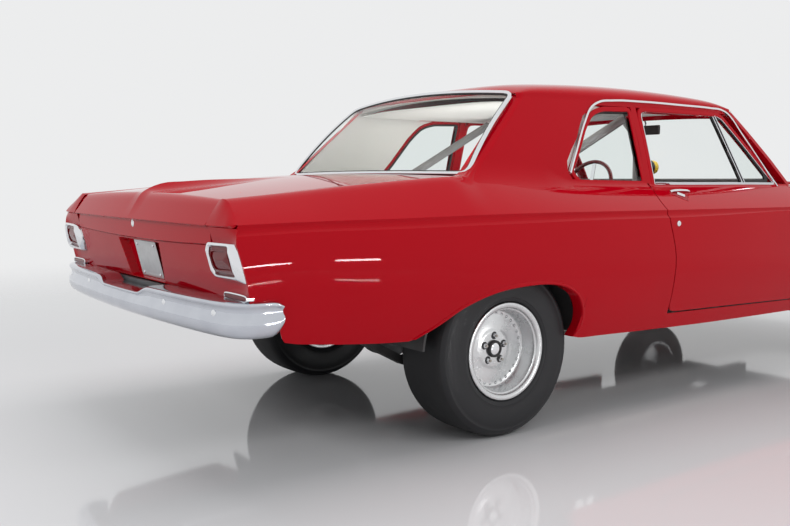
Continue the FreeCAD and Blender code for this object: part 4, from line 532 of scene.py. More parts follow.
FINISHES = (
    Finish("body_red", (0.45, 0.0006, 0.008), (0.38, 0.0006, 0.007), 0.25, 3.0, (0.22, 0.05), coat=1.0,
           coat_rough=0.012,
           specular=0.0, coat_ior=1.21),
    # darker, duller red of the door handle's cup: painted shade of a recess that the nearly flush cup lacks
    Finish("inner_red", (0.36, 0.002, 0.008), (0.25, 0.002, 0.006), 0.4, 6.0, (0.35, 0.15), coat=0.4, specular=0.1,
           coat_ior=1.3),
    Finish("chrome_trim", (0.84, 0.85, 0.87), (0.74, 0.75, 0.77), 0.3, 14.0, (0.045, 0.05), metal=1.0),
    # bumper_chrome: base darkened and tinted blue-grey, with darker blue-grey patches, as a painted reflection of the
    # floor below
    Finish("bumper_chrome", (0.64, 0.66, 0.71), (0.45, 0.47, 0.53), 0.5, 7.0, (0.07, 0.10), metal=1.0),
    Finish("dull_trim", (0.62, 0.63, 0.65), (0.50, 0.51, 0.52), 0.4, 20.0, (0.22, 0.12), metal=1.0),
    Finish("polished_wheel", (0.72, 0.725, 0.73), (0.55, 0.555, 0.565), 0.45, 16.0, (0.20, 0.12), metal=1.0,
           grain=(0.03, 900.0, 0.1)),
    Finish("wheel_dark_ring", (0.02, 0.02, 0.022), None, 0.3, 20.0, (0.35, 0.2)),
    Finish("slick_rubber", (0.014, 0.014, 0.016), (0.038, 0.037, 0.036), 0.5, 26.0, (0.60, 0.20),
           grain=(0.25, 520.0, 0.4),
           specular=0.35),
    Finish("sidewall_rubber", (0.010, 0.010, 0.012), (0.022, 0.022, 0.023), 0.4, 12.0, (0.40, 0.16),
           grain=(0.06, 700.0, 0.3),
           specular=0.4),
    Finish("gasket_rubber", (0.010, 0.010, 0.010), None, 0.3, 30.0, (0.5, 0.15), grain=(0.05, 600.0, 0.3)),
    Finish("window_pane", (0.93, 0.96, 0.95), (0.88, 0.92, 0.91), 0.3, 4.0, (0.0, 0.02), transmission=1.0, ior=1.10,
           clear=True),
    Finish("red_lamp_lens", (0.16, 0.001, 0.004), (0.09, 0.001, 0.003), 0.4, 30.0, (0.15, 0.08), coat=0.5,
           coat_ior=1.35,
           specular=0.15, grain=(0.35, 180.0, 0.9)),
    Finish("clear_lamp_lens", (0.90, 0.93, 0.94), (0.80, 0.83, 0.84), 0.3, 30.0, (0.06, 0.06), transmission=0.55,
           coat=1.0, grain=(0.5, 120.0, 0.9)),
    Finish("cabin_grey_paint", (0.075, 0.074, 0.076), (0.045, 0.044, 0.046), 0.45, 7.0, (0.42, 0.2),
           grain=(0.1, 300.0, 0.3)),
    Finish("cage_paint", (0.22, 0.215, 0.215), (0.14, 0.14, 0.14), 0.35, 12.0, (0.32, 0.15), coat=0.3),
    Finish("seat_vinyl", (0.024, 0.023, 0.024), (0.055, 0.053, 0.052), 0.4, 14.0, (0.38, 0.18),
           grain=(0.35, 520.0, 0.85), sheen=0.15),
    Finish("seat_piping", (0.12, 0.010, 0.012), None, 0.3, 40.0, (0.4, 0.1), grain=(0.1, 700.0, 0.6)),
    Finish("dash_vinyl", (0.032, 0.026, 0.026), (0.060, 0.050, 0.048), 0.4, 10.0, (0.48, 0.18),
           grain=(0.3, 480.0, 0.8)),
    Finish("wheel_grip_red", (0.20, 0.008, 0.012), (0.12, 0.005, 0.008), 0.4, 30.0, (0.18, 0.12), coat=0.6),
    Finish("headliner_cloth", (0.90, 0.88, 0.84), (0.82, 0.80, 0.75), 0.4, 9.0, (0.85, 0.1), grain=(0.5, 900.0, 0.6),
           sheen=0.3),
    Finish("shelf_board", (0.36, 0.35, 0.335), (0.24, 0.235, 0.225), 0.4, 12.0, (0.8, 0.12), grain=(0.5, 500.0, 0.5)),
    Finish("door_card", (0.030, 0.027, 0.027), (0.060, 0.056, 0.054), 0.4, 12.0, (0.5, 0.2), grain=(0.3, 460.0, 0.8)),
    Finish("chassis_black", (0.026, 0.026, 0.028), (0.080, 0.075, 0.070), 0.45, 18.0, (0.4, 0.3),
           grain=(0.2, 260.0, 0.4)),
    Finish("axle_grey", (0.16, 0.16, 0.165), (0.05, 0.05, 0.05), 0.5, 16.0, (0.4, 0.25), metal=0.6,
           grain=(0.3, 200.0, 0.4)),
    Finish("cast_grey", (0.34, 0.34, 0.345), (0.20, 0.20, 0.20), 0.5, 18.0, (0.35, 0.2), metal=0.8,
           grain=(0.5, 220.0, 0.6)),
    Finish("engine_enamel", (0.30, 0.04, 0.03), (0.10, 0.02, 0.015), 0.45, 14.0, (0.35, 0.25),
           grain=(0.6, 160.0, 0.4)),
    Finish("radiator_fins", (0.50, 0.51, 0.52), (0.25, 0.25, 0.26), 0.5, 60.0, (0.4, 0.2), metal=0.8,
           grain=(0.8, 90.0, 0.9)),
    Finish("pipe_steel", (0.42, 0.40, 0.37), (0.22, 0.16, 0.11), 0.5, 11.0, (0.3, 0.3), metal=0.9,
           grain=(0.1, 300.0, 0.3)),
    Finish("plate_blank", (0.62, 0.63, 0.63), (0.48, 0.49, 0.49), 0.45, 26.0, (0.35, 0.2), metal=0.5),
    Finish("gauge_face", (0.012, 0.012, 0.012), None, 0.3, 40.0, (0.25, 0.1)),
    Finish("gauge_yellow", (0.75, 0.50, 0.02), (0.55, 0.36, 0.02), 0.3, 40.0, (0.3, 0.1), coat=0.5),
    Finish("well_dark", (0.012, 0.011, 0.011), (0.045, 0.042, 0.040), 0.5, 14.0, (0.7, 0.2), grain=(0.6, 160.0, 0.5)),
)


class Finishes:
    """All finishes by name."""

    def __init__(self) -> None:
        """Build the shared node groups and every material."""
        kit = {"mottle": mottle_group(), "grain": grain_group()}
        self.made = {finish.name: finish.build(kit) for finish in FINISHES}

    def __getitem__(self, name: str) -> bpy.types.Material:
        """Material by name."""
        return self.made[name]


# Body surface


@dataclass
class BodySurface:
    """The surface of the body side, from tables of its lines.

    Each line has places along the car, half widths and heights. Between two lines the section is
    straight with a small bulge: point = (1 - t) a + t b + 4 t (1 - t) bulge outwards.
    """

    rocker_x: tuple = (-2486, -2253, -2089, -1914, -1727, -878, -840, -710, -434, 23, 542, 966, 1400, 2050, 2490)
    rocker_z: tuple = (545, 510, 492, 477, 468, 397, 388, 386, 379, 371, 368, 368, 371, 390, 440)
    crease_x: tuple = (-2486, -2423, -2282, -2080, -1863, -1675, -1526, -1400, -1080, -781, -513, -282, 10, 348, 708,
                       1300, 2490)
    crease_z: tuple = (716, 722, 726, 713, 696, 680, 668, 664, 663, 659, 651, 645, 643, 637, 624, 614, 606)
    low_x: tuple = (-2500, -2276, -1858, -1366, -781, -300, 698, 1707, 2490)
    low_z: tuple = (897, 903, 903, 905, 908, 906, 914, 914, 904)
    top_x: tuple = (-2500, -2271, -1852, -1359, -773, -291, 710, 1707, 2490)
    top_z: tuple = (934, 938, 940, 945, 944, 941, 937, 934, 922)
    foot_x: tuple = (-2493, -2379, -2182, -2012, -1740, -1491, -1357, -1150, -900, -262, 966, 1707, 2490)
    foot_z: tuple = (1020, 1028, 1043, 1058, 1078, 1095, 1098, 1087, 1072, 1057, 1049, 1028, 983)
    half_x: tuple = (-2486, -1960, -1239, -262, 966, 1707, 2300, 2490)
    crease_half: tuple = (950, 957, 960, 960, 957, 951, 940, 922)

    def foot(self, x: Array) -> Array:
        """Points of the line where the shoulder ends and the deck, glass or hood begins."""
        return xyz(x, *self.lines(x)[4])

    def on_belt(self, line: Array, proud: float = 0.0) -> Array:
        """Points on the side above the belt, from their x and z, moved out by a distance."""
        return xyz(line[:, 0], self.belt_half(line[:, 1]) + proud, line[:, 1])

    def ruled(self, z: Array, rear: Array, front: Array, count: int, depth: float) -> Patch:
        """Pane above the belt, ruled from its rear edge to its front edge and set in by a depth."""
        x = rear[:, None] + np.linspace(0, 1, count) * (front - rear)[:, None]
        return Patch(xyz(x, self.belt_half(z)[:, None] - depth, z[:, None]), (0, 1, 0))

    def belt_half(self, z: Array) -> Array:
        """Half width of the greenhouse side at a height: straight from belt to drip rail with a slight crown."""
        share = (np.asarray(z, float) - BELT) / (DRIP - BELT)
        return 768.0 - 120.0 * share + 14.0 * share * (1 - share)

    def lines(self, x: Array) -> list[tuple[Array, Array]]:
        """Half width and height of rocker, crease, band low, band top and shoulder foot at x."""
        crease_y = hermite(x, self.half_x, self.crease_half)
        foot_z = hermite(x, self.foot_x, self.foot_z)
        rear = np.clip((np.asarray(x, float) + 1500.0) / 150.0, 0.0, 1.0)
        front = np.clip((np.asarray(x, float) - 990.0) / 500.0, 0.0, 1.0)
        foot_y = 787.0 + rear * rear * (3 - 2 * rear) * (self.belt_half(foot_z) - 787.0)
        foot_y = foot_y + front * (792.0 - foot_y)
        return [
            (crease_y - 64.0, hermite(x, self.rocker_x, self.rocker_z)),
            (crease_y, hermite(x, self.crease_x, self.crease_z)),
            (crease_y - 7.0, hermite(x, self.low_x, self.low_z)),
            (crease_y - 17.0, hermite(x, self.top_x, self.top_z)),
            (foot_y, foot_z),
        ]

    def lower_half(self, x: Array, z: Array) -> Array:
        """Half width below the crease: turned under, y = crease - depth (0.42 s + 0.58 s^2), s the share down."""
        rocker, crease = self.lines(x)[:2]
        s = np.clip((crease[1] - z) / (crease[1] - rocker[1]), 0.0, 1.1)
        return crease[0] - (crease[0] - rocker[0]) * (0.42 * s + 0.58 * s * s)

    def strip_point(self, strip: int, t: float, x: Array) -> tuple[Array, Array]:
        """Half width and height on the strip above line number strip + 1, at share t across it."""
        bulge = (6.0, -7.0, 3.0)[strip]
        lines = self.lines(x)
        (y0, z0), (y1, z1) = lines[strip + 1], lines[strip + 2]
        run = np.hypot(y1 - y0, z1 - z0)
        push = 4 * t * (1 - t) * bulge
        return y0 + t * (y1 - y0) + push * (z1 - z0) / run, z0 + t * (z1 - z0) + push * (y0 - y1) / run

    def rows_above(self, left: Callable, right: Callable, share: Array, reach: float) -> Array:
        """Rows from the crease up to a distance before the shoulder's foot.

        Args:
            left: place of the left edge at a height.
            right: place of the right edge at a height.
            share: share of each column between the edges.
            reach: distance kept free before the foot, along the section.

        Returns:
            Points, rows by columns.
        """
        rows = []
        plan = [(0, t) for t in (0.0, 0.012, 0.1, 0.3, 0.5, 0.7, 0.9, 0.988)]
        plan += [(1, t) for t in (0.0, 0.07, 0.3, 0.5, 0.7, 0.93)]
        plan += [(2, t) for t in (0.0, 0.015, 0.12, 0.3, 0.5, 0.68)] + [(2, -1.0)]
        for strip, t in plan:
            x = left(np.full_like(share, 800.0)) * (1 - share) + right(np.full_like(share, 800.0)) * share
            for _ in range(4):
                use = t
                if t < 0:
                    lines = self.lines(x)
                    use = 1.0 - reach / np.hypot(lines[4][0] - lines[3][0], lines[4][1] - lines[3][1])
                y, z = self.strip_point(strip, use, x)
                x = left(z) * (1 - share) + right(z) * share
            rows.append(xyz(x, y, z))
        return np.stack(rows)

    def lower_rows(self, bottom: Array, top: Array) -> Array:
        """Rows between a bottom edge (x, z) and the crease row: straight in side view, on the surface in depth."""
        rows = []
        for t in (0.0, 0.03, 0.12, 0.28, 0.45, 0.62, 0.8, 0.93, 0.985):
            x = (1 - t) * bottom[:, 0] + t * top[:, 0]
            z = (1 - t) * bottom[:, 1] + t * top[:, 2]
            rows.append(xyz(x, self.lower_half(x, z), z))
        return np.stack(rows)


def shut_line(z: Array) -> Array:
    """Place of the gap behind the door at a height."""
    heights = (368, 480, 529, 600, 707, 800, 886, 955, 1005, 1040, 1067, 1461)
    places = (-264, -266, -272, -268, -262, -280, -303, -306, -274, -238, -214, -208)
    return hermite(z, heights, places)


@dataclass
class BodyShell:
    """Quarter panels, sills, shoulders, rear pillars, roof and upper back panel as one welded skin."""

    surface: BodySurface
    gap: float = 3.0
    reach: float = 40.0
    corner_radius: float = 42.0
    quarter_bottom: tuple = ((-2462, 668), (-2420, 664), (-2372, 652), (-2344, 617), (-2332, 559), (-2315, 523),
                             (-2253, 510), (-2089, 492), (-1914, 477), (-1769, 470), (-1754, 476))
    arch_lip: tuple = ((-1754, 476), (-1658, 524), (-1559, 582), (-1456, 621), (-1350, 645), (-1241, 655),
                       (-1160, 657), (-1097, 654), (-977, 629), (-902, 583), (-863, 518), (-855, 452), (-878, 397))
    front_arch: tuple = ((1308, 371), (1330, 440), (1377, 530), (1460, 615), (1580, 676), (1707, 694), (1834, 676),
                         (1954, 615), (2037, 530), (2084, 440), (2100, 388))

    def tail_edge(self, z: Array) -> Array:
        """Place of the rear end of the side at a height: out to the corner tip, then forward up the facet."""
        return np.interp(z, (660, 735, 815, 872, 905, 939, 1022, 1100),
                         (-2461, -2475, -2496, -2512, -2508, -2495, -2468, -2444))

    def quarter(self) -> list[Patch]:
        """Side of the left quarter panel from the rocker to just below the shoulder."""
        start = along(self.quarter_bottom, 34)
        arch = along(self.arch_lip, 64, smooth=True)
        end = along(((-878, 397), (-840, 388), (-710, 386), (-434, 379),
                     (float(shut_line(np.array(378.0))) - self.gap, 377)), 22)
        bottom = np.concatenate([start, arch[1:], end[1:]])
        reach = np.maximum.accumulate(bottom[:, 0])
        run = travelled(bottom)
        share = 0.3 * run / run[-1] + 0.7 * (reach - reach[0]) / (reach[-1] - reach[0])
        upper = self.surface.rows_above(self.tail_edge, lambda z: shut_line(z) - self.gap, share, self.reach)
        lower = self.surface.lower_rows(bottom, upper[0])
        side = np.concatenate([lower, upper])
        self.rear_top = upper[-1]
        self.rear_end = upper[-7:, 0]
        self.arch_path = np.concatenate([arch[:, :1], self.surface.lower_half(arch[:, 0], arch[:, 1])[:, None],
                                         arch[:, 1:]], axis=1)
        return [Patch(side, (0, 1, 0))]

    def sill(self) -> Patch:
        """Strip of the left side under the door."""
        x = np.linspace(float(shut_line(np.array(378.0))) - self.gap, DOOR_FRONT_X + self.gap, 40)
        share = (x - x[0]) / (x[-1] - x[0])
        low = self.surface.lines(x)[0][1]
        high = 449.0 - 20.0 * share
        rows = []
        for t in (0.0, 0.12, 0.35, 0.65, 1.0):
            z = low + t * (high - low)
            rows.append(xyz(x, self.surface.lower_half(x, z), z))
        return Patch(np.stack(rows), (0, 1, 0))

    def shoulder(self) -> list[Patch]:
        """Rounded shoulder behind the rear pillar, from the side over the ridge to the lid's gap."""
        edge = self.rear_top
        edge = edge[edge[:, 0] < -1330.0]
        x = edge[:, 0]
        foot = self.surface.foot(x)
        shelf_z = self.shelf_height(x)
        inner = xyz(x, np.full_like(x, DECK_HALF), shelf_z)
        share = np.linspace(0, 1, 9)
        end = foot + 0.55 * (inner - foot)
        curve = bezier(edge, foot, end, share)
        flat = np.stack([end + t * (inner - end) for t in (0.33, 0.66, 1.0)])
        self.rear_end = np.concatenate([self.rear_end, curve[1:, 0], flat[:, 0]])
        return [Patch(np.concatenate([curve, flat]), (0, 0.3, 1))]

    @staticmethod
    def shelf_height(x: Array) -> Array:
        """Height of the deck beside the lid."""
        return hermite(x, (-2470, -2100, -1740, -1480, -1239), (1012, 1047, 1078, 1094, 1100))

    def deck_height(self, x: Array, y: Array) -> Array:
        """Height of the deck: the shelf plus a crown, crown (1 - (y / 744)^2)."""
        crown = np.interp(x, (-2470, -1700, -1350), (18.0, 22.0, 10.0))
        return self.shelf_height(x) + crown * (1 - (y / DECK_HALF) ** 2)

    def back_panel(self) -> Patch:
        """Deck between the lid's front edge and the rear window."""
        y = np.linspace(-DECK_HALF, DECK_HALF, 61)
        front = TrunkLid.front_edge(y) + 2 * self.gap + 5.0 * np.clip(1 - np.abs(y) / 90.0, 0, 1)
        front[[0, -1]] = front[[1, -2]] - 4
        window = RearWindow.base_x(y) - 26.0
        rows = []
        for t in np.linspace(0, 1, 14):
            x = front + t * (window - front)
            rows.append(xyz(x, y, self.deck_height(x, y)))
        return Patch(np.stack(rows), (0, 0, 1))

    def tail_corner(self) -> list[Patch]:
        """Left end of the rear facet, beside the lid: ruled from its top to its lower edge, rounded at the tip."""
        top = self.rear_end
        low = along(((-2500, 931, 934), (-2512, 925, 932), (-2523, 895, 930), (-2527, 820, 929), (-2528, 744, 928)),
                    len(top))
        share = np.linspace(0, 1, 8)
        middle = 0.5 * (top + low) + np.array([-4.0, 4.0, 4.0])
        face = bezier(top, middle, low, share)
        under = np.stack([low, low * np.array([0, 1, 1]) + np.array([-2510, -3, -8])])
        return [Patch(face, (-1, 0, 0.4)), Patch(under, (0, 0, -1))]

    def section_height(self, x: Array, y: Array) -> Array:
        """Height of the rounded shoulder and deck at a place, from the shoulder's own section."""
        grid_x = np.linspace(-1520, -690, 84)
        lines = self.surface.lines(grid_x)
        top, foot = np.stack(lines[3], axis=-1), np.stack(lines[4], axis=-1)
        run = np.linalg.norm(foot - top, axis=1, keepdims=True)
        edge = foot + (top - foot) / run * self.reach
        inner = np.stack([np.full_like(grid_x, 640.0), self.shelf_height(grid_x)], axis=-1)
        end = foot + (inner - foot) * (24.0 / np.linalg.norm(inner - foot, axis=1, keepdims=True))
        share = np.linspace(0, 1, 9)[:, None, None]
        curve = (1 - share) ** 2 * edge + 2 * share * (1 - share) * foot + share**2 * end
        column = np.concatenate([top[None], curve, inner[None]])[::-1]
        x, y = np.broadcast_arrays(np.asarray(x, float), np.asarray(y, float))
        at = np.clip(np.round((x - grid_x[0]) / (grid_x[1] - grid_x[0])).astype(int), 0, len(grid_x) - 1)
        pairs = zip(at.ravel(), y.ravel())
        return np.array([np.interp(b, column[:, a, 0], column[:, a, 1]) for a, b in pairs]).reshape(x.shape)

    def pillar(self) -> list[Patch]:
        """Left rear pillar: horizontal runs from the quarter window round the rear corner to the rear window.

        The foot is a quadratic curve that leaves the shoulder and the deck along their slope and ends upright.
        """
        count = 56
        share = np.linspace(0, 1, count)
        ease = lambda t: np.clip(t, 0, 1) ** 2 * (3 - 2 * np.clip(t, 0, 1))
        front, back = ease(share / 0.2), ease((share - 0.66) / 0.22)
        base = self.ring_at(np.full(count, 1098.0), count)
        foot_z = self.surface.lines(base[:, 0])[4][1]
        middle = self.ring_at(foot_z, count)
        normal = self.ring_normal(middle)
        spread = ((40.0 + 26.0 * front) * (1 - 0.45 * back))[:, None]
        low = middle + normal * spread
        low[:, 2] = self.section_height(low[:, 0], low[:, 1])
        step = 8.0
        near = middle + normal * (spread - step)
        slope = (low[:, 2] - self.section_height(near[:, 0], near[:, 1])) / step
        middle[:, 2] = low[:, 2] - slope * spread[:, 0]
        lift = (18.0 + 56.0 * front) * (1 - 0.7 * back)
        start = self.ring_at(middle[:, 2] + lift, count)
        rows = list(bezier(low, middle, start, np.linspace(0, 1, 11)))
        for t in (0.05, 0.12, 0.22, 0.36, 0.5, 0.64, 0.78, 0.9, 1.0):
            rows.append(self.ring_at(start[:, 2] + t * (1462.0 - start[:, 2]), count))
        return [Patch(np.stack(rows), (-0.3, 1, 0))]

    def ring_at(self, z: Array, count: int) -> Array:
        """Run of the left pillar with its own height for each column: side line, corner arc, rear line."""
        share = np.linspace(0, 1, count)
        window = hermite(z, (1040, 1071, 1134, 1286, 1392, 1420, 1470), (-735, -748, -774, -662, -582, -524, -500))
        corner_x = -1357.0 + (z - 1112.0) * 359.0 / 339.0
        side = self.surface.belt_half(z)
        r = self.corner_radius
        x_side = window + (corner_x + r - window) * np.clip(share / 0.62, 0, 1)
        angle = np.clip((share - 0.62) / 0.26, 0, 1) * math.radians(78)
        rear = np.clip((share - 0.88) / 0.12, 0, 1)
        x = x_side - r * np.sin(angle) - 4.0 * rear
        y = side - r * (1 - np.cos(angle)) - 34.0 * rear
        return xyz(x, y, z)

    @staticmethod
    def ring_normal(ring: Array) -> Array:
        """Outward direction of a run in the plan."""
        tangent = np.gradient(ring, axis=0)
        normal = unit(xyz(tangent[:, 1], -tangent[:, 0], np.zeros(len(ring))))
        return normal * np.sign(normal[:1, 1:2])

    def belt_strip(self) -> Patch:
        """Left shoulder under the quarter window, from the side up to the window's trim."""
        edge = self.rear_top
        edge = edge[edge[:, 0] > -790.0]
        x = edge[:, 0]
        foot = self.surface.foot(x)
        top = self.surface.on_belt(foot[:, ::2] + (0, 18))
        return Patch(bezier(edge, foot, top, np.linspace(0, 1, 8)), (0, 0.4, 1))

    def side_fill(self) -> Patch:
        """Strip of the left shoulder at the pillar's foot, between the side's top row and the pillar's flare."""
        edge = self.rear_top
        edge = edge[(edge[:, 0] > -1420.0) & (edge[:, 0] < -700.0)]
        x = edge[:, 0]
        inner = self.surface.foot(x) + (0, 6, -5)
        return Patch(np.stack([edge + t * (inner - edge) for t in (0.0, 0.3, 0.6, 1.0)]), (0, 0.6, 1))

    def roof(self) -> list[Patch]:
        """Roof skin: z = drip + rise(x) (1 - |y / 648|^4.5)^0.4, rolled down at the windows, with a skirt."""
        share = np.linspace(0, 1, 53)
        across = np.sin(np.linspace(-np.pi / 2, np.pi / 2, 61))
        rows = []
        for a in 0.5 - 0.5 * np.cos(np.pi * share):
            bow = 1 - across**2
            rear = -996.0 - 45.0 * bow
            front = 577.0 + 68.0 * bow
            x = rear + a * (front - rear)
            end = 1 - abs(2 * a - 1) ** 14
            rise = (57.0 + 39.0 * math.sin(math.pi * a) ** 0.85) * (0.2 + 0.8 * end)
            z = DRIP + rise * (1 - np.abs(across) ** 4.5) ** 0.4
            line = xyz(x, ROOF_HALF * across, z)
            skirt = np.array([[x[0], float(self.surface.belt_half(h)), h] for h in (1440.0, 1449.0)])
            line = np.concatenate([skirt * np.array([1, -1, 1]), line, skirt[::-1]])
            tuck = self.corner_radius - np.sqrt(self.corner_radius**2 - np.clip(-966.0 - line[:, 0], 0, 40) ** 2)
            line[:, 1] -= tuck * np.sign(line[:, 1]) * np.abs(line[:, 1] / 650.0) ** 10
            rows.append(line)
        return [Patch(np.stack(rows), (0, 0, 1))]

    def door_seals(self) -> list[Patch]:
        """Dark strips behind the gaps at the rear of the doors."""
        z = np.linspace(400, 1040, 40)
        x = shut_line(z)
        lines = self.surface.lines(x)
        levels, halves = (np.stack([lines[k][part] for k in range(1, 5)]) for part in (1, 0))
        y = np.array([np.interp(h, levels[:, k], halves[:, k]) for k, h in enumerate(z)])
        y = np.where(z < levels[0], self.surface.lower_half(x, z), y) - 16.0
        strip = np.stack([xyz(x + dx, y, z) for dx in (-16.0, 0.0, 16.0)])
        return both([Patch(strip, (0, 1, 0))])

    def lips(self) -> list[Patch]:
        """Rolled lips of the left wheel openings with the flanges behind them."""
        patches = []
        front = along(self.front_arch, 60, smooth=True)
        front = xyz(front[:, 0], self.surface.lower_half(front[:, 0], front[:, 1]), front[:, 1])
        for path in (self.arch_path, front):
            centre = path.mean(0) * np.array([1, 1, 0]) + np.array([0, 0, 430.0])
            out = path - centre
            out[:, 1] = 0
            out = unit(out)
            rows = []
            for depth, push in ((9.0, 0.3), (5.0, 4.6), (0.0, 6.0), (-5.0, 4.8), (-8.0, 0.0), (-8.5, -8.0),
                                (-7.0, -52.0)):
                rows.append(path + out * depth + np.array([0, push, 0]))
            patches.append(Patch(np.stack(rows), (0, 1, 0)))
        return patches

    def build(self, finish: Finishes) -> None:
        """Build the skin and its wheel lips."""
        side = self.quarter()
        parts = side + [self.sill(), self.belt_strip(),
                        self.side_fill()] + self.shoulder() + self.tail_corner() + self.pillar()
        ride(mesh_piece("body_skin", both(parts) + [self.back_panel()], finish["body_red"], Wall(3.0), weld=0.6,
                        sharp=13.0), "body", "body_paint", "quarter_panel_left", "quarter_panel_right",
             "upper_back_panel", "side_sills")
        ride(mesh_piece("roof_skin", self.roof(), finish["body_red"], Wall(4.0)), "body", "body_paint", "roof_panel")
        ride(mesh_piece("wheel_lips", both(self.lips()), finish["body_red"]), "body", "body_paint")
        ride(mesh_piece("door_seals", self.door_seals(), finish["gasket_rubber"]), "body", "slick_rubber")


@dataclass
class TrunkLid:
    """Trunk lid: crowned deck, raised centre line, sloping rear facet and turned lip."""

    half: float = LID_HALF
    facet_x: float = -2470.0
    lip_x: float = -2527.0
    lip_z: float = 928.0

    @staticmethod
    def front_edge(y: Array) -> Array:
        """Place of the lid's front edge, a blunt arrow: -1712 - 273 (sqrt(n^2 + 0.04) - 0.2) / 0.82, n = y / 738."""
        return -1712.0 - 273.0 * (np.sqrt((np.asarray(y, float) / LID_HALF) ** 2 + 0.04) - 0.2) / 0.82

    @staticmethod
    def spine(x: Array, y: Array) -> Array:
        """Height of the raised centre line: rise(x) (1 - |y| / 76)^1.6, fading out forwards."""
        rise = hermite(x, (-2500, -2470, -2436, -2386, -2288, -2188, -2084, -1922, -1780),
                       (0, 3, 17, 29, 27, 23, 16, 6, 0))
        return rise * np.clip(1 - np.abs(y) / 76.0, 0, 1) ** 1.6

    def build(self, shell: BodyShell, finish: Finishes) -> None:
        """Build the lid skin and its lock."""
        y = np.concatenate([np.linspace(-LID_HALF, -90, 22), np.linspace(-80, 80, 33), np.linspace(90, LID_HALF, 22)])
        front = self.front_edge(y)
        rows = []
        for t in np.concatenate([np.linspace(0, 0.93, 26), [0.955, 0.968]]):
            x = front + t * (self.facet_x - front)
            rows.append(xyz(x, y, shell.deck_height(x, y) + self.spine(x, y)))
        bow = 9.0 * (1 - (y / self.half) ** 2)
        ridge = xyz(np.full_like(y, self.facet_x), y, shell.deck_height(self.facet_x + 0 * y, y))
        ridge = ridge + np.clip(1 - np.abs(y) / 76.0, 0, 1)[:, None] ** 1.6 * np.array([-4.0, 0, 3.0])
        lip = xyz(self.lip_x - bow, y, np.full_like(y, self.lip_z))
        facet = [ridge + t * (lip - ridge) for t in (0.30, 0.45, 0.62, 0.8, 0.93, 0.98, 1.0)]
        rows += list(bezier(rows[-1], ridge, facet[0], np.linspace(0, 1, 10)[1:-1])) + facet
        low = 861.0 - 13.0 * (1 - (y / self.half) ** 2)
        rows.append(rows[-1] + np.array([2.0, 0, -3.0]))
        for x, z in ((-2512.0, 922.0 + 0 * y), (-2508.0, 919.0 + 0 * y), (-2507.0, 0.5 * (919.0 + low)),
                     (-2506.0, low + 2), (-2503.0, low), (-2484.0, low + 1)):
            rows.append(xyz(x - 0.6 * bow, y, z))
        ride(mesh_piece("trunk_lid_skin", [Patch(np.stack(rows), (0, 0, 1))], finish["body_red"], Wall(7.0, 1.2),
                        sharp=50.0), "trunk_lid", "body_paint", "trunk_lid")
        lock = turned((-2513, 0, 906), (-1, 0, 0), ((0.0, 3.5), (7, 3.5), (8, 2.5), (13, 2.0), (15, 0.5), (15, -12)))
        ride(mesh_piece("trunk_lock", lock, finish["chrome_trim"]), "trunk_lid", "chrome")


@dataclass
class RearWindow:
    """Rear window: glass ruled between two bowed edges, with a bright trim and a dark gasket."""

    @staticmethod
    def base_x(y: Array) -> Array:
        """Place of the glass's lower edge."""
        return -1343.0 - 38.0 * (1 - (np.asarray(y, float) / 735.0) ** 2)

    def edge(self, top: bool, count: int = 41) -> Array:
        """Lower or upper edge of the opening, from right to left."""
        if top:
            return bowed(622.0, count, (-1012.0, -40.0), (1460.0, 32.0))
        y = np.linspace(-716, 716, count)
        bow = 1 - (y / 716.0) ** 2
        return xyz(self.base_x(y), y, 1112.0 + 6.0 * bow)

    def pane(self) -> Array:
        """Glass surface: straight from edge to edge with an outward bulge of 16 mm at the middle."""
        low, high = self.edge(False), self.edge(True)
        rows = []
        for t in np.linspace(0, 1, 21):
            row = low + t * (high - low)
            row += np.array([-0.69, 0, 0.72]) * 16.0 * 4 * t * (1 - t)
            rows.append(row)
        return np.stack(rows)

    def build(self, finish: Finishes) -> None:
        """Build the pane, gasket and trim."""
        pane = self.pane()
        ride(mesh_piece("rear_window_pane", [Patch(pane, (-1, 0, 1))], finish["window_pane"], Wall(4.0)), "body",
             "glass", "window_glass")
        corners = smooth_loop(border(pane), 3)
        up = (-0.69, 0, 0.72)
        ride(mesh_piece("rear_window_trim", sweep(corners, ((-17, -4), (1, -4), (1, 3), (-2, 7), (-9, 9), (-15, 6),
                                                            (-17, 1)), up, True), finish["chrome_trim"], sharp=50),
             "body", "chrome")
        ride(mesh_piece("rear_window_gasket", sweep(corners, ((0, -4), (9, -4), (9, 2), (6, 4), (0, 4)), up, True),
                        finish["gasket_rubber"], Wall(0, 0.8)), "body", "slick_rubber")


def bowed(half: float, count: int, x: tuple[float, float], z: tuple[float, float]) -> Array:
    """Run across the car from right to left; x and z give the value at its ends and what the middle adds."""
    y = np.linspace(-half, half, count)
    bow = 1 - (y / half) ** 2
    return xyz(x[0] + x[1] * bow, y, z[0] + z[1] * bow)


def border(pane: Array) -> Array:
    """Closed run of points round a grid, from its first corner."""
    return np.concatenate([pane[0], pane[1:, -1], pane[-1, ::-1][1:], pane[::-1, 0][1:-1]])


def smooth_loop(loop: Array, times: int) -> Array:
    """Round a closed run of points by averaging each with its neighbours."""
    spaced = along(np.concatenate([loop, loop[:1]]), 181)[:-1]
    for _ in range(times):
        spaced = 0.25 * np.roll(spaced, 1, axis=0) + 0.5 * spaced + 0.25 * np.roll(spaced, -1, axis=0)
    return spaced


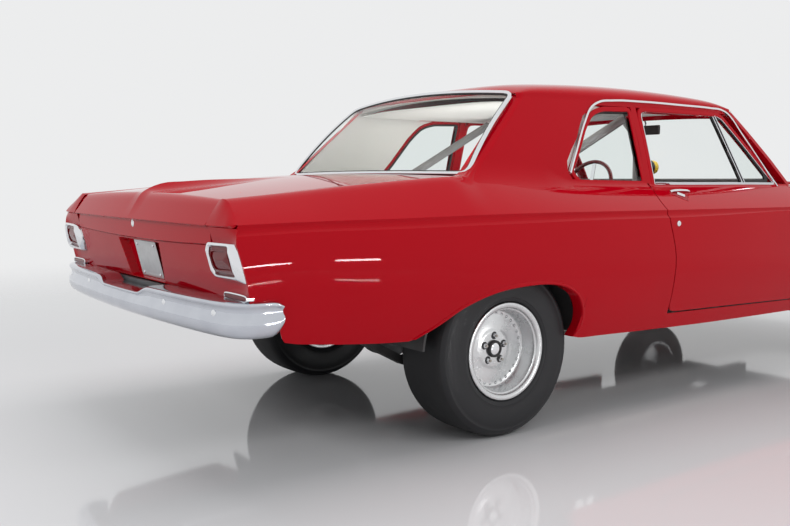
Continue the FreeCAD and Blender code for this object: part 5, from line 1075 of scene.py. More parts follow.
@dataclass
class Door:
    """One door: outer skin, window frame, inner card, handle, lock and division bar."""

    surface: BodySurface
    gap: float = 3.0
    reach: float = 14.0

    def bottom(self) -> Array:
        """Lower edge with its rounded rear corner."""
        return along(((-263, 500), (-262, 482), (-256, 468), (-243, 459), (-222, 456), (-190, 455), (200, 449),
                      (600, 442), (DOOR_FRONT_X, 435)), 60)

    def skin(self) -> list[Patch]:
        """Outer skin from the lower edge to the window sill."""
        bottom = self.bottom()
        run = travelled(bottom)
        share = run / run[-1]
        share = share + 0.12 * share * (1 - share) * (1 - 2 * share)
        upper = self.surface.rows_above(lambda z: shut_line(z) + self.gap, lambda z: np.full_like(z, DOOR_FRONT_X),
                                        share, self.reach)
        lower = self.surface.lower_rows(bottom, upper[0])
        edge = upper[-1]
        x = edge[:, 0]
        foot = self.surface.foot(x)
        top = self.surface.on_belt(foot[:, ::2] + (0, 8))
        sill = bezier(edge, foot, top, np.linspace(0, 1, 7))
        return [Patch(np.concatenate([lower, upper, sill]), (0, 1, 0))]

    def frame_path(self) -> Array:
        """Middle line of the window frame: up the rear edge, forwards and down the front pillar."""
        corners = ((-195, 1052), (-194, 1380), (-188, 1410), (-168, 1424), (-130, 1428), (380, 1429), (452, 1426),
                   (492, 1412), (640, 1270), (790, 1120), (866, 1050))
        return self.surface.on_belt(along(corners, 90), -12.0)

    def build(self, side: Side, finish: Finishes) -> None:
        """Build one door.

        Args:
            side: which door.
            finish: all finishes.
        """
        word, body = side.word, f"door_{side.word}"

        def add(name: str, parts: Sequence[Patch], material: str, slot: str, wall: Wall = Wall(), sharp: float = 32.0,
                *nodes: str) -> None:
            ride(mesh_piece(f"{name}_{word}", on(side, parts), finish[material], wall, sharp=sharp), body, slot,
                 *nodes)

        add("door_skin", self.skin(), "body_red", "body_paint", Wall(12.0, 0.8), 32.0, f"door_{word}")
        path = self.frame_path()
        up = (0, 0.96, 0.28)
        add("door_frame", sweep(path, ((-13, -16), (13, -16), (13, 10), (9, 13), (-9, 13), (-13, 10)), up),
            "body_red", "body_paint", Wall(0, 1.2))
        inner = path + np.array([0, 2.0, 0])
        add("door_frame_trim", sweep(inner, ((-15.5, 4), (-12.5, 4), (-12.5, 10), (-14, 12), (-15.5, 10)), up),
            "chrome_trim", "chrome")
        x = np.linspace(-176, 862, 60)
        sill_z = self.surface.lines(x)[4][1] + 9
        sill = xyz(x, self.surface.belt_half(sill_z) + 2, sill_z)
        add("window_sill_trim", sweep(sill, ((-2, -6), (7, -4), (7, 3), (3, 6), (-4, 6)), (0, 0.1, 1)), "chrome_trim",
            "chrome")
        low = xyz(x, self.surface.belt_half(sill_z) - 26, sill_z - 4)
        add("window_sill_pad", sweep(low, ((-24, -14), (18, -14), (20, 0), (10, 6), (-20, 5)), (0, 0, 1)),
            "dash_vinyl", "dash_pad", Wall(0, 2.0))
        bar = self.surface.on_belt(along(((565, 1050), (478, 1262), (420, 1414)), 30), -12)
        add("vent_division", sweep(bar, ((-12, -8), (12, -8), (12, 6), (10, 9), (-10, 9), (-12, 6)), up),
            "gasket_rubber", "slick_rubber", Wall(0, 1.5))
        for name, at in (("front", 10.0), ("rear", -10.0)):
            line = sweep(bar, ((at - 4, 4), (at + 4, 4), (at + 3, 13), (at - 3, 13)), up)
            add(f"vent_{name}_strip", line, "chrome_trim", "chrome")
        add("vent_pane", [self.vent_pane()], "window_pane", "glass", Wall(3.0), 32.0, f"vent_window_{word}")
        add("vent_frame", sweep(self.vent_loop(), ((-14, -5), (14, -5), (14, 5), (-14, 5)), up, True),
            "gasket_rubber", "slick_rubber", Wall(0, 1.0))
        add("door_card", [self.card()], "door_card", "dash_pad", Wall(6.0, 2.0))
        add("door_edge", [self.edge_wall()], "body_red", "body_paint")
        self.handle(add)

    def card(self) -> Patch:
        """Inner card: an upright sheet with a soft roll at the armrest, 78 mm inside the skin."""
        z = np.linspace(470, 1040, 40)
        x = np.linspace(-190, 930, 50)
        grid_x, grid_z = np.meshgrid(x, z)
        left = shut_line(grid_z) + 42
        grid_x = left + (grid_x + 190) / 1120 * (930 - left)
        y = np.interp(grid_z, (470, 560, 1000, 1040), (862, 868, 752, 738))
        roll = np.exp(-((grid_z - 800) / 40) ** 2) * 34
        roll = roll * np.clip((grid_x + 60) / 80, 0, 1) * np.clip((560 - grid_x) / 80, 0, 1)
        return Patch(xyz(grid_x, y - roll, grid_z), (0, -1, 0))

    def edge_wall(self) -> Patch:
        """Rear shut face of the door, from the skin in to the card."""
        z = np.linspace(470, 1046, 40)
        outer_y = np.where(z < 645, self.surface.lower_half(shut_line(z), z), 0)
        lines = self.surface.lines(shut_line(z))
        levels = np.stack([lines[k][1] for k in range(1, 5)])
        halves = np.stack([lines[k][0] for k in range(1, 5)])
        upper = np.array([np.interp(h, levels[:, k], halves[:, k]) for k, h in enumerate(z)])
        outer_y = np.where(z < 645, outer_y, upper) - 8
        inner_y = np.interp(z, (470, 560, 1000, 1040), (862, 868, 752, 738))
        x = shut_line(z) + self.gap + 1
        lean = 0.17 * (outer_y - inner_y)
        outer = xyz(x + 2, outer_y, z)
        inner = xyz(x + 4 + lean, inner_y, z)
        return Patch(np.stack([outer, 0.5 * (outer + inner), inner]), (-1, 0, 0))

    def vent_outline(self) -> Array:
        """Corners of the vent window with its rounded top, in side view."""
        return np.array(((566, 1068), (476, 1270), (416, 1404), (424, 1411), (478, 1411), (494, 1404), (640, 1258),
                         (768, 1125), (780, 1102), (780, 1076), (768, 1068)), float)

    def vent_loop(self) -> Array:
        """Closed run round the vent window."""
        loop = along(np.concatenate([self.vent_outline(), self.vent_outline()[:1]]), 91)[:-1]
        return self.surface.on_belt(loop, -8)

    def vent_pane(self) -> Patch:
        """Vent glass, ruled from its rear edge to its front edge."""
        z = np.linspace(1066, 1411, 16)
        rear = np.interp(z, (1066, 1270, 1411), (566, 476, 414))
        front = np.interp(z, (1066, 1090, 1125, 1258, 1404, 1411), (770, 782, 768, 640, 496, 480))
        return self.surface.ruled(z, rear, front, 10, 9.0)

    def handle(self, add: Callable) -> None:
        """Thin pull bar along the top of a three-cornered cup painted darker red as the shade of its recess, with its
        lever, and the lock below.
        """

        def lay(places: Array, share: Array, proud: Array) -> Array:
            y, z = self.surface.strip_point(2, np.asarray(share, float), places)
            return xyz(places, y + 0.70 * np.asarray(proud), z + 0.71 * np.asarray(proud))

        place = np.linspace(-134, 10, 30)
        bow = np.sin(np.pi * np.linspace(0, 1, 30)) ** 0.4
        section = ((-6, -2), (-4, -4), (4, -4), (6, -2), (6, 2), (3, 4), (-3, 4), (-6, 2))
        add("door_handle", sweep(lay(place, 0.70 + 0 * place, 2 + 9 * bow), section, (0, 0.70, 0.71)), "chrome_trim",
            "chrome", Wall(0, 0.8))
        turn = np.linspace(0, 2 * np.pi, 40, endpoint=False)
        out_x = np.interp(turn, (0, 1.0, 2.1, 3.5, 4.7, 2 * np.pi), (62, 40, -52, -66, -6, 62))
        out_t = np.interp(turn, (0, 1.0, 2.1, 3.5, 4.7, 2 * np.pi), (0.03, 0.06, 0.06, -0.02, -0.30, 0.03))
        rings = [lay(-78 + out_x * 1.1 * k, 0.62 + out_t * k, proud + 0 * turn) for k, proud in
                 ((1.06, -1.0), (1.05, 1.2), (1.0, 1.8), (0.94, 1.0), (0.8, 0.6), (0.4, 0.6), (0.01, 0.6))]
        # the cup is nearly flush; its darker red is painted shade of the recess
        add("handle_cup", [Patch(np.stack(rings), (0, 0.7, 0.7), True)], "inner_red", "body_paint")
        lever = lay(np.linspace(-106, -74, 8), np.linspace(0.62, 0.50, 8), 4 + 0 * np.arange(8.0))
        add("handle_lever", sweep(lever, ((-9, -2), (9, -2), (10, 1), (6, 4), (-6, 4), (-10, 1)), (0, 0.70, 0.71)),
            "chrome_trim", "chrome", Wall(0, 0.8))
        lock_y = self.surface.strip_point(0, 0.87, np.array([-245.0]))[0]
        barrel = ((0, 3), (4, 3), (5, 5.5), (11, 5), (13, 3), (13.5, -2))
        add("door_lock", turned((-245, float(lock_y[0]), 877), (0, 1, 0), barrel), "chrome_trim", "chrome")


@dataclass
class Greenhouse:
    """Front pillars, window trims, quarter windows, windshield and drip mouldings."""

    surface: BodySurface

    def on_side(self, corners: Sequence[Sequence[float]], count: int, proud: float, smooth: bool = False) -> Array:
        """Run of side-view corners laid on the greenhouse side, proud of it."""
        return self.surface.on_belt(along(corners, count, smooth), proud)

    def quarter_loop(self, grow: float = 0.0) -> Array:
        """Closed run round the quarter window, moved out by grow."""
        corners = np.array(((-267, 1074), (-267, 1408), (-274, 1413), (-440, 1408), (-478, 1401), (-510, 1391),
                            (-540, 1376), (-570, 1348), (-605, 1309), (-699, 1172), (-736, 1126), (-738, 1118),
                            (-732, 1108), (-704, 1078), (-690, 1071), (-275, 1069)), float)
        loop = along(np.concatenate([corners, corners[:1]]), 141)[:-1]
        tangent = unit(np.roll(loop, -1, axis=0) - np.roll(loop, 1, axis=0))
        loop = loop + grow * np.stack([tangent[:, 1], -tangent[:, 0]], axis=-1) * self.turn_sign(loop)
        return self.surface.on_belt(loop)

    @staticmethod
    def turn_sign(loop: Array) -> float:
        """1 for a loop that runs anticlockwise with x to the right, else -1."""
        x, z = loop[:, 0], loop[:, 1]
        return 1.0 if (x * np.roll(z, -1) - z * np.roll(x, -1)).sum() > 0 else -1.0

    def side_parts(self, side: Side, finish: Finishes) -> None:
        """Pillars, frames and trims of one side."""
        up = (0, 0.96, 0.28)

        def add(name: str, parts: Sequence[Patch], material: str, slot: str, wall: Wall = Wall(),
                *nodes: str) -> None:
            ride(mesh_piece(f"{name}_{side.word}", on(side, parts), finish[material], wall), "body", slot, *nodes)

        loop = self.quarter_loop(10.0)
        section = ((-10, -16), (14, -16), (14, 7), (11, 9), (-9, 9), (-10, 7))
        add("quarter_frame", sweep(loop - np.array([0, 8, 0]), section, up, True), "body_red", "body_paint",
            Wall(0, 1.5))
        section = ((-1, -5), (2, -5), (2, 3), (0, 4), (-1, 3))
        add("quarter_trim", sweep(self.quarter_loop(0.5) - np.array([0, 6, 0]), section, up, True), "dull_trim",
            "chrome")
        z = np.concatenate([[1065], np.linspace(1080, 1400, 17), [1412, 1418]])
        rear = np.interp(z, (1065, 1080, 1100, 1125, 1171, 1311, 1380, 1401, 1412, 1418),
                         (-692, -710, -730, -742, -704, -610, -546, -490, -440, -300))
        pane = self.surface.ruled(z, rear, np.full_like(rear, -262.0), 12, 10.0)
        add("quarter_pane", [pane], "window_pane", "glass", Wall(3.0))
        add("pillar_lining", [self.lining()], "headliner_cloth", "shelf_board", Wall(4.0))
        add("quarter_reveal", sweep(self.quarter_loop(), ((-6, -30), (4, -30), (4, -5), (-6, -5)), up, True),
            "dash_vinyl", "dash_pad", Wall(0, 1.0))
        pillar = self.on_side(((-231, 1060), (-228, 1250), (-232, 1450)), 24, -13)
        add("centre_pillar", sweep(pillar, ((-24, -20), (16, -20), (16, 12), (-24, 12)), up), "body_red",
            "body_paint", Wall(0, 1.5))
        rail = self.on_side(((-560, 1441), (-200, 1444), (300, 1444), (520, 1443), (585, 1432), (700, 1330),
                             (860, 1180), (975, 1062), (992, 1044)), 90, -14)
        add("roof_rail", sweep(rail, ((-15, -18), (15, -18), (17, 10), (-13, 14)), up), "body_red", "body_paint",
            Wall(0, 2.0))
        drip = self.on_side(((-768, 1112), (-752, 1138), (-687, 1235), (-607, 1349), (-538, 1422), (-475, 1449),
                             (-371, 1460), (-163, 1465), (152, 1463), (400, 1459), (495, 1453), (540, 1436),
                             (578, 1400), (612, 1351), (693, 1249), (776, 1146), (863, 1047)), 150, 6, True)
        add("drip_moulding", sweep(drip, ((-5, -10), (4, -10), (6, -2), (5, 4), (0, 6), (-5, 4)), up), "chrome_trim",
            "chrome")

    def lining(self) -> Patch:
        """Cloth inside the rear pillar, ruled from the quarter window to the rear window with a bulge of 22 mm."""
        front = along(((-716, 1052), (-748, 1084), (-752, 1112), (-700, 1186), (-606, 1324), (-545, 1390),
                       (-480, 1418), (-440, 1430)), 24)
        front = self.surface.on_belt(front, -22)
        rear = along(((-1345, 700, 1096), (-1180, 658, 1268), (-1016, 612, 1448)), 24)
        t = np.linspace(0, 1, 12)[:, None, None]
        return Patch(front + t * (rear - front) + 4 * t * (1 - t) * np.array([0, 22.0, 0]), (0, -1, 0))

    def windshield_edge(self, top: bool, count: int = 41) -> Array:
        """Lower or upper edge of the windshield, bowed forwards."""
        if top:
            return bowed(600.0, count, (594.0, 68.0), (1447.0, 22.0))
        return bowed(712.0, count, (978.0, 124.0), (1056.0, 4.0))

    def build(self, finish: Finishes) -> None:
        """Build the glasshouse parts."""
        for side in Side:
            self.side_parts(side, finish)
        low, high = self.windshield_edge(False), self.windshield_edge(True)
        bulge = np.array([0.7, 0, 0.7]) * 14
        rows = [low + t * (high - low) + bulge * 4 * t * (1 - t) for t in np.linspace(0, 1, 19)]
        pane = np.stack(rows)
        ride(mesh_piece("windshield_pane", [Patch(pane, (1, 0, 1))], finish["window_pane"], Wall(4.0)), "body",
             "glass", "windshield_frame")
        loop = smooth_loop(border(pane), 3)
        ride(mesh_piece("windshield_trim", sweep(loop, ((-4, -2), (3, -2), (14, 2), (15, 7), (9, 9), (-2, 7)),
                                                 (0.7, 0, 0.7), True), finish["chrome_trim"], sharp=50), "body",
             "chrome")
        ride(mesh_piece("windshield_surround", sweep(loop + np.array([-9.0, 0, -9.0]),
                                                     ((-26, -10), (24, -12), (26, 6), (-24, 4)), (0.7, 0, 0.7), True),
                        finish["body_red"], Wall(0, 2.0)), "body", "body_paint")
        header = self.windshield_edge(True, 41) * np.array([1, 1.06, 1]) + np.array([-12, 0, 5])
        rear = RearWindow().edge(True, 41) * np.array([1, 1.03, 1]) + np.array([62, 0, -6])
        for name, path in (("front_header", header), ("rear_header", rear)):
            ride(mesh_piece(name, sweep(path, ((-34, -14), (30, -14), (30, 6), (-34, 6)), (0, 0, 1)),
                            finish["headliner_cloth"], Wall(0, 3.0)), "body", "shelf_board")


@dataclass
class FrontEnd:
    """Front fenders, hood with its scoop, nose, headlamps and grille surround."""

    surface: BodySurface
    shell: BodyShell

    def fender(self) -> list[Patch]:
        """Left front fender: side with its wheel opening, and its rounded top in to the hood's gap."""
        left = along(((DOOR_FRONT_X + 6, 371), (1308, 371)), 16)
        arch = along(self.shell.front_arch, 60, smooth=True)
        right = along(((2100, 388), (2320, 405), (2336, 500), (2352, 560), (2380, 590), (2480, 598)), 24)
        bottom = np.concatenate([left, arch[1:], right[1:]])
        run = travelled(bottom)
        reach = np.maximum.accumulate(bottom[:, 0])
        share = 0.25 * run / run[-1] + 0.75 * (reach - reach[0]) / (reach[-1] - reach[0])
        upper = self.surface.rows_above(lambda z: np.full_like(z, DOOR_FRONT_X + 6),
                                        lambda z: np.interp(z, (600, 900, 1000), (2480, 2486, 2470)), share, 34.0)
        lower = self.surface.lower_rows(bottom, upper[0])
        edge = upper[-1]
        x = edge[:, 0]
        foot = self.surface.foot(x)
        inner = xyz(x, self.hood_gap(x), self.hood_edge(x))
        end = foot + 0.45 * (inner - foot)
        top = np.concatenate([bezier(edge, foot, end, np.linspace(0, 1, 9)), (0.5 * (end + inner))[None],
                              inner[None]])
        return [Patch(np.concatenate([lower, upper, top[1:]]), (0, 1, 0.3))]

    @staticmethod
    def hood_gap(x: Array) -> Array:
        """Half width of the fender's inner edge."""
        return np.interp(x, (966, 1707, 2490), (742, 706, 706))

    @staticmethod
    def hood_edge(x: Array) -> Array:
        """Height of the hood's side edge."""
        return hermite(x, (966, 1400, 1707, 2100, 2490), (1050, 1042, 1030, 1010, 982))

    def hood(self) -> list[Patch]:
        """Hood: edge height plus a crown of 26 mm, with a raised box scoop of smooth sides."""
        x = np.linspace(1150, 2470, 89)
        share = np.linspace(-1, 1, 81)
        grid_x, grid_s = np.meshgrid(x, share, indexing="ij")
        half = self.hood_gap(grid_x) - 6
        y = grid_s * half
        z = self.hood_edge(grid_x) + 26 * (1 - grid_s**2)
        return [Patch(xyz(grid_x, y, z), (0, 0, 1))]

    def scoop(self) -> list[Patch]:
        """Box scoop open to the front: a rounded section carried back and lowered into the hood."""
        x = np.array([1462, 1500, 1560, 1640, 1760, 1900, 2040, 2078, 2082, 2078, 2040, 1900])
        rise = 0.4 * np.array([2, 22, 60, 88, 101, 106, 108, 106, 100, 94, 92, 90.0])
        angle = np.linspace(-np.pi / 2, np.pi / 2, 41)
        across = bent(np.sin(angle), 0.35)
        up = np.cos(angle) ** 0.3
        inset = np.array([0, 0, 0, 0, 0, 0, 0, 4, 10, 16, 18, 18.0])
        base = self.hood_edge(x) + 18
        rows = [xyz(np.full(41, px), (258 - i) * across, pz - 6 + r * up * (0.9 if k > 8 else 1.0))
                for k, (px, r, i, pz) in enumerate(zip(x, rise, inset, base))]
        return [Patch(np.stack(rows), (0, 0, 1))]

    def nose(self) -> list[Patch]:
        """Nose panel round the grille and the lamps, with a rounded top edge that meets the fenders."""
        y = np.linspace(-918, 918, 121)
        z = np.linspace(600, 960, 31)
        grid_y, grid_z = np.meshgrid(y, z, indexing="xy")
        x = 2462.0 + 10 * np.cos(grid_y / 920 * np.pi / 2)
        opening = (np.clip((648 - np.abs(grid_y)) / 14, 0, 1) * np.clip((grid_z - 634) / 12, 0, 1)
                   * np.clip((936 - grid_z) / 12, 0, 1))
        lamp = np.clip((96 - np.hypot(np.abs(grid_y) - 740, grid_z - 790)) / 10, 0, 1)
        x = x - 26 * np.maximum(opening, lamp)
        return [Patch(xyz(x, grid_y, grid_z), (1, 0, 0))]

    def build(self, finish: Finishes) -> None:
        """Build the front end."""
        for side in Side:
            ride(mesh_piece(f"fender_skin_{side.word}", on(side, self.fender()), finish["body_red"], Wall(3.0),
                            weld=0.6), "body", "body_paint", f"front_fender_{side.word}")
        ride(mesh_piece("hood_skin", self.hood(), finish["body_red"], Wall(8.0, 1.8)), "hood", "body_paint", "hood")
        ride(mesh_piece("hood_scoop", self.scoop(), finish["body_red"]), "hood", "body_paint")
        ride(mesh_piece("nose_skin", self.nose(), finish["body_red"], Wall(3.0)), "body", "body_paint", "nose_panel")
        for side in Side:
            y = side.value * 740
            ride(mesh_piece(f"headlamp_lens_{side.word}",
                            turned((2452, y, 790), (1, 0, 0), ((0, 40), (30, 38), (60, 30), (80, 16), (86, 4),
                                                               (86, -4))), finish["clear_lamp_lens"]), "body",
                 "clear_lens")
            ride(mesh_piece(f"headlamp_bowl_{side.word}",
                            turned((2452, y, 790), (1, 0, 0), ((0, -34), (40, -26), (70, -6), (84, 8), (92, 14),
                                                               (97, 12), (99, 4), (99, -10))), finish["chrome_trim"]),
                 "body", "chrome")
        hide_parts("headlamps")
        for name, y, z in (("grille_top_bar", 0, 934), ("grille_low_bar", 0, 636)):
            path = xyz(np.full(31, 2470.0), np.linspace(-648, 648, 31), np.full(31, float(z)))
            ride(mesh_piece(name, sweep(path, ((-4, -9), (6, -7), (9, 0), (6, 7), (-4, 9)), (0, 0, 1)),
                            finish["chrome_trim"]), "body", "chrome")


@dataclass
class RearEnd:
    """Tail panel with the plate's recess, lamps, markers, plate and lower valance."""

    surface: BodySurface
    shell: BodyShell
    plate_z: float = 757.0

    def panel(self) -> list[Patch]:
        """Tail panel: leans back with height, has the plate's recess, a folded edge under the lid and closed corners.

        The depth is x = -2486 - 0.25 (z - 805), plus 35 mm inside a slanted frame for the plate.
        """
        share = np.concatenate([np.linspace(0, 0.12, 6)[:-1], np.linspace(0.12, 1.0, 86)])[:, None]
        y = np.concatenate([np.linspace(-DECK_HALF, -300, 20)[:-1], np.linspace(-300, 300, 121),
                            np.linspace(300, DECK_HALF, 20)[1:]])
        top = 857.0 - 13.0 * (1 - (y / LID_HALF) ** 2)
        z = 672.0 + share * (top - 672.0)
        grid_y = np.broadcast_to(y, z.shape)
        half = 186 + (z - 677) * 0.26
        frame = np.clip((half - np.abs(grid_y)) / 10, 0, 1) * np.clip((z - 676) / 8, 0, 1)
        frame = frame * np.clip((838 - z) / 8, 0, 1)
        middle = xyz(self.lean(z) + 35 * frame, grid_y, z)
        fold = np.stack([middle[-1] + np.array([2, 0, 2.5]), middle[-1] + np.array([24, 0, 3.5])])
        rows = np.concatenate([672.0 + share[:, 0] * (top[-1] - 672.0), np.linspace(top[-1] + 6, 922, 9)])[:, None]
        s = np.linspace(0, 1, 22)
        side = np.interp(rows, (640, 668, 716, 806, 897, 934), (938, 941, 949, 950.5, 942, 932))
        x = self.lean(rows) * (1 - s**6) + self.shell.tail_edge(rows) * s**6
        corner = xyz(x, DECK_HALF + s * (side - DECK_HALF), rows)
        return [Patch(np.concatenate([middle, fold]), (-1, 0, 0))] + both([Patch(corner, (-1, 0, 0))])

    @staticmethod
    def lean(z: Array) -> Array:
        """Place of the tail panel at a height."""
        return -2486.0 - 0.25 * (z - 805.0)

    def face_point(self, corners: Array, u: Array, v: Array) -> Array:
        """Point on a lamp's face: straight across between its inner and its outer edge, both bent at v = 0.05.

        Args:
            corners: inner edge then outer edge, each from bottom to top, as (x, y, z).
            u: place across, -1 at the inner edge, 1 at the outer edge.
            v: place up, -1 to 1.

        Returns:
            The points.
        """
        knots = (-1.0, 0.05, 1.0)
        inner = np.stack([np.interp(v, knots, corners[0][:, k]) for k in range(3)], axis=-1)
        outer = np.stack([np.interp(v, knots, corners[1][:, k]) for k in range(3)], axis=-1)
        return inner + (0.5 + 0.5 * u[..., None]) * (outer - inner)

    def lamp_ring(self, corners: Array, inset: float, depth: float, power: float = 0.16) -> Array:
        """Rounded outline at an inset from the lamp's edge, pushed forwards by a depth.

        With a the angle, u = (1 - inset / 88) cos a |cos a|^(power - 1) and likewise v with 62.
        """
        turn = np.linspace(0, 2 * np.pi, 80, endpoint=False) + 0.04
        u = (1 - inset / 88.0) * bent(np.cos(turn), power)
        v = (1 - inset / 62.0) * bent(np.sin(turn), power)
        return self.face_point(corners, u, v) + np.array([depth, 0, 0])

    def lamp(self) -> dict[str, list[Patch]]:
        """Left tail lamp: bright flanks and a thin bright bezel round a sunk red lens with an inner frame."""
        face = np.array((((-2497, 749, 748), (-2534, 738, 810), (-2527, 747, 872)),
                         ((-2499, 932, 751), (-2529, 919, 821), (-2523, 914, 874))), float)
        foot = np.array((((-2468, 745, 741), (-2483, 735, 805), (-2500, 745, 872)),
                         ((-2473, 942, 736), (-2494, 942, 815), (-2512, 931, 875))), float)
        bezel = [self.lamp_ring(foot, -1, 14), self.lamp_ring(foot, 0, 0), self.lamp_ring(face, 0.0, 2.5),
                 self.lamp_ring(face, 1.5, 0.3), self.lamp_ring(face, 6, -1), self.lamp_ring(face, 10, 0.5),
                 self.lamp_ring(face, 11.5, 3), self.lamp_ring(face, 13, 16)]
        lens = [self.lamp_ring(face, 12.6, 15), self.lamp_ring(face, 16, 13.5)]
        lens += [self.lamp_ring(face, inset, 13.5 - 2.5 * (inset - 16) / 46) for inset in (24, 34, 44, 54, 60, 61.9)]
        frame = [self.lamp_ring(face, inset, depth, 0.2) for inset, depth in ((25, 14), (25, 9), (26.5, 7.5),
                                                                              (29, 7.5), (30.5, 9), (30.5, 14))]
        parts = {"bezel": bezel, "lens": lens, "frame": frame}
        return {name: [Patch(np.stack(rings), (-1, 0, 0), True)] for name, rings in parts.items()}

    def build(self, finish: Finishes) -> None:
        """Build the rear end."""
        ride(mesh_piece("tail_skin", self.panel(), finish["body_red"], Wall(3.0), sharp=25), "body", "body_paint",
             "tail_panel")
        parts = self.lamp()
        ride(mesh_piece("tail_lamp_bezels", both(parts["bezel"]), finish["chrome_trim"], sharp=40), "body", "chrome",
             "tail_lamps")
        ride(mesh_piece("tail_lamp_lenses", both(parts["lens"]), finish["red_lamp_lens"]), "body", "red_lens")
        ride(mesh_piece("tail_lamp_frames", both(parts["frame"]), finish["red_lamp_lens"]), "body", "red_lens")
        marker, bright = [], []
        for grow, x, bag in ((0, -2450, bright), (0, -2476, bright), (-4, -2478, bright), (-5, -2472, bright),
                             (-5, -2473, marker), (-7, -2475, marker), (-10, -2475.5, marker),
                             (-12.9, -2475.5, marker)):
            half_y, half_z = 88 + grow, 13 + grow
            turn = np.linspace(0, 2 * np.pi, 36, endpoint=False)
            cy = bent(np.cos(turn), 0.5)
            cz = bent(np.sin(turn), 0.5)
            bag.append(xyz(np.full(36, x), 858 + half_y * cy, 690 + half_z * cz))
        marks = mesh_piece("marker_bezels", both([Patch(np.stack(bright), (-1, 0, 0), True)]), finish["chrome_trim"])
        ride(marks, "body", "chrome")
        marks = mesh_piece("marker_lenses", both([Patch(np.stack(marker), (-1, 0, 0), True)]),
                           finish["red_lamp_lens"])
        ride(marks, "body", "red_lens")
        self.plate(finish)

    def plate(self, finish: Finishes) -> None:
        """Blank pressed plate with a raised rim and four screws, in the recess."""
        y = np.linspace(-118, 118, 61)
        z = np.linspace(-75, 75, 31) + self.plate_z
        grid_y, grid_z = np.meshgrid(y, z, indexing="xy")
        edge = np.minimum(118 - np.abs(grid_y), 75 - np.abs(grid_z - self.plate_z))
        x = self.lean(grid_z) + 21.0 - 2.5 * np.exp(-(((edge - 7) / 3.0) ** 2))
        ride(mesh_piece("plate_blank", [Patch(xyz(x, grid_y - 12.0, grid_z), (-1, 0, 0))], finish["plate_blank"],
                        Wall(1.2)), "body", "chrome")
        screws = []
        for sy in (-101, 77):
            for sz in (-60, 60):
                place = (self.lean(self.plate_z + sz) + 20.0, sy, self.plate_z + sz)
                screws += turned(place, (-1, 0, 0), ((0, 3.5), (4, 3.2), (6.5, 1.5), (7, -1)), 20)
        screws = mesh_piece("plate_screws", screws, finish["chrome_trim"])
        ride(screws, "body", "chrome")


@dataclass
class Bumper:
    """Chrome bumper: a pressed section carried round the car's end, with bolt heads."""

    end_x: float
    sign: float
    low: float
    high: float
    wrap: float
    dip: float

    def plan(self, count: int = 121) -> Array:
        """Plan of the bumper's face from the right end round to the left end."""
        s = self.sign
        half = [(self.wrap, 957), (190, 958), (140, 955), (104, 940), (76, 908), (52, 840), (36, 740), (20, 560),
                (9, 360), (2, 160), (0, 0)]
        right = [(self.end_x - s * x, -y) for x, y in half]
        left = [(self.end_x - s * x, y) for x, y in half[-2::-1]]
        return along(right + left, count, smooth=True)

    def surface_rows(self) -> tuple[Array, Array, Array]:
        """Rows of the section: outward offset, height, and the share of the centre dip that each row follows."""
        rows = [(-98, 0.985, 1.0), (-70, 1.0, 1.0), (-50, 1.0, 1.0), (-34, 0.998, 1.0), (-20, 0.99, 1.0),
                (-10, 0.972, 0.95), (-4, 0.95, 0.9), (-0.5, 0.92, 0.85), (0, 0.895, 0.8), (-1.5, 0.865, 0.75),
                (-6, 0.825, 0.6), (-10, 0.76, 0.45), (-11, 0.69, 0.3), (-9.5, 0.62, 0.2), (-5, 0.555, 0.1),
                (0, 0.51, 0.05), (2.5, 0.47, 0.0), (3, 0.37, 0.0), (1, 0.26, 0.0), (-4, 0.15, 0.0), (-12, 0.07, 0.0),
                (-22, 0.02, 0.0), (-36, 0.0, 0.0), (-52, 0.01, 0.0)]
        table = np.array(rows)
        return table[:, 0], self.low + (self.high - self.low) * table[:, 1], table[:, 2]

    def build(self, name: str, finish: Finishes) -> None:
        """Build the bumper and its bolts."""
        plan = self.plan()
        tangent = unit(np.gradient(plan, axis=0))
        normal = np.stack([tangent[:, 1], -tangent[:, 0]], axis=-1)
        middle = len(plan) // 2
        normal = normal * np.sign(normal[middle, 0] * self.sign)
        offset, height, follow = self.surface_rows()
        ramp = np.clip((300 - np.abs(plan[:, 1])) / 110, 0, 1)
        lower = self.dip * ramp * ramp * (3 - 2 * ramp)
        run = travelled(plan)
        near = np.clip(1 - np.minimum(run, run[-1] - run) / 50.0, 0, 1)
        turn = 1 - np.sqrt(1 - near**2)
        rows = []
        for o, z, f in zip(offset, height, follow):
            share = (z - self.low) / (self.high - self.low)
            lift = turn * (36.0 * (1 - share) - 16.0 * share)
            rows.append(xyz(plan[:, 0] + o * normal[:, 0], plan[:, 1] + o * normal[:, 1], z - f * lower + lift))
        ride(mesh_piece(name + "_bar", [Patch(np.stack(rows), (self.sign, 0, 0))], finish["bumper_chrome"],
                        Wall(3.5, 1.2, 50), sharp=60), "body", "chrome", name)
        bolts = []
        for y in (-803, -445, 445, 803):
            index = int(np.argmin(np.abs(plan[:, 1] - y) + 1000 * (np.abs(plan[:, 0] - self.end_x) > 120)))
            at = plan[index]
            way = (normal[index, 0], normal[index, 1], 0.1)
            z = self.low + 0.63 * (self.high - self.low)
            bolts += turned((at[0] - 11 * way[0], at[1] - 11 * way[1], z), way, ((0, 7), (7, 6), (12, 3.5), (14, 0),
                                                                                 (14, -3)), 24)
        ride(mesh_piece(name + "_bolts", bolts, finish["chrome_trim"]), "body", "chrome")


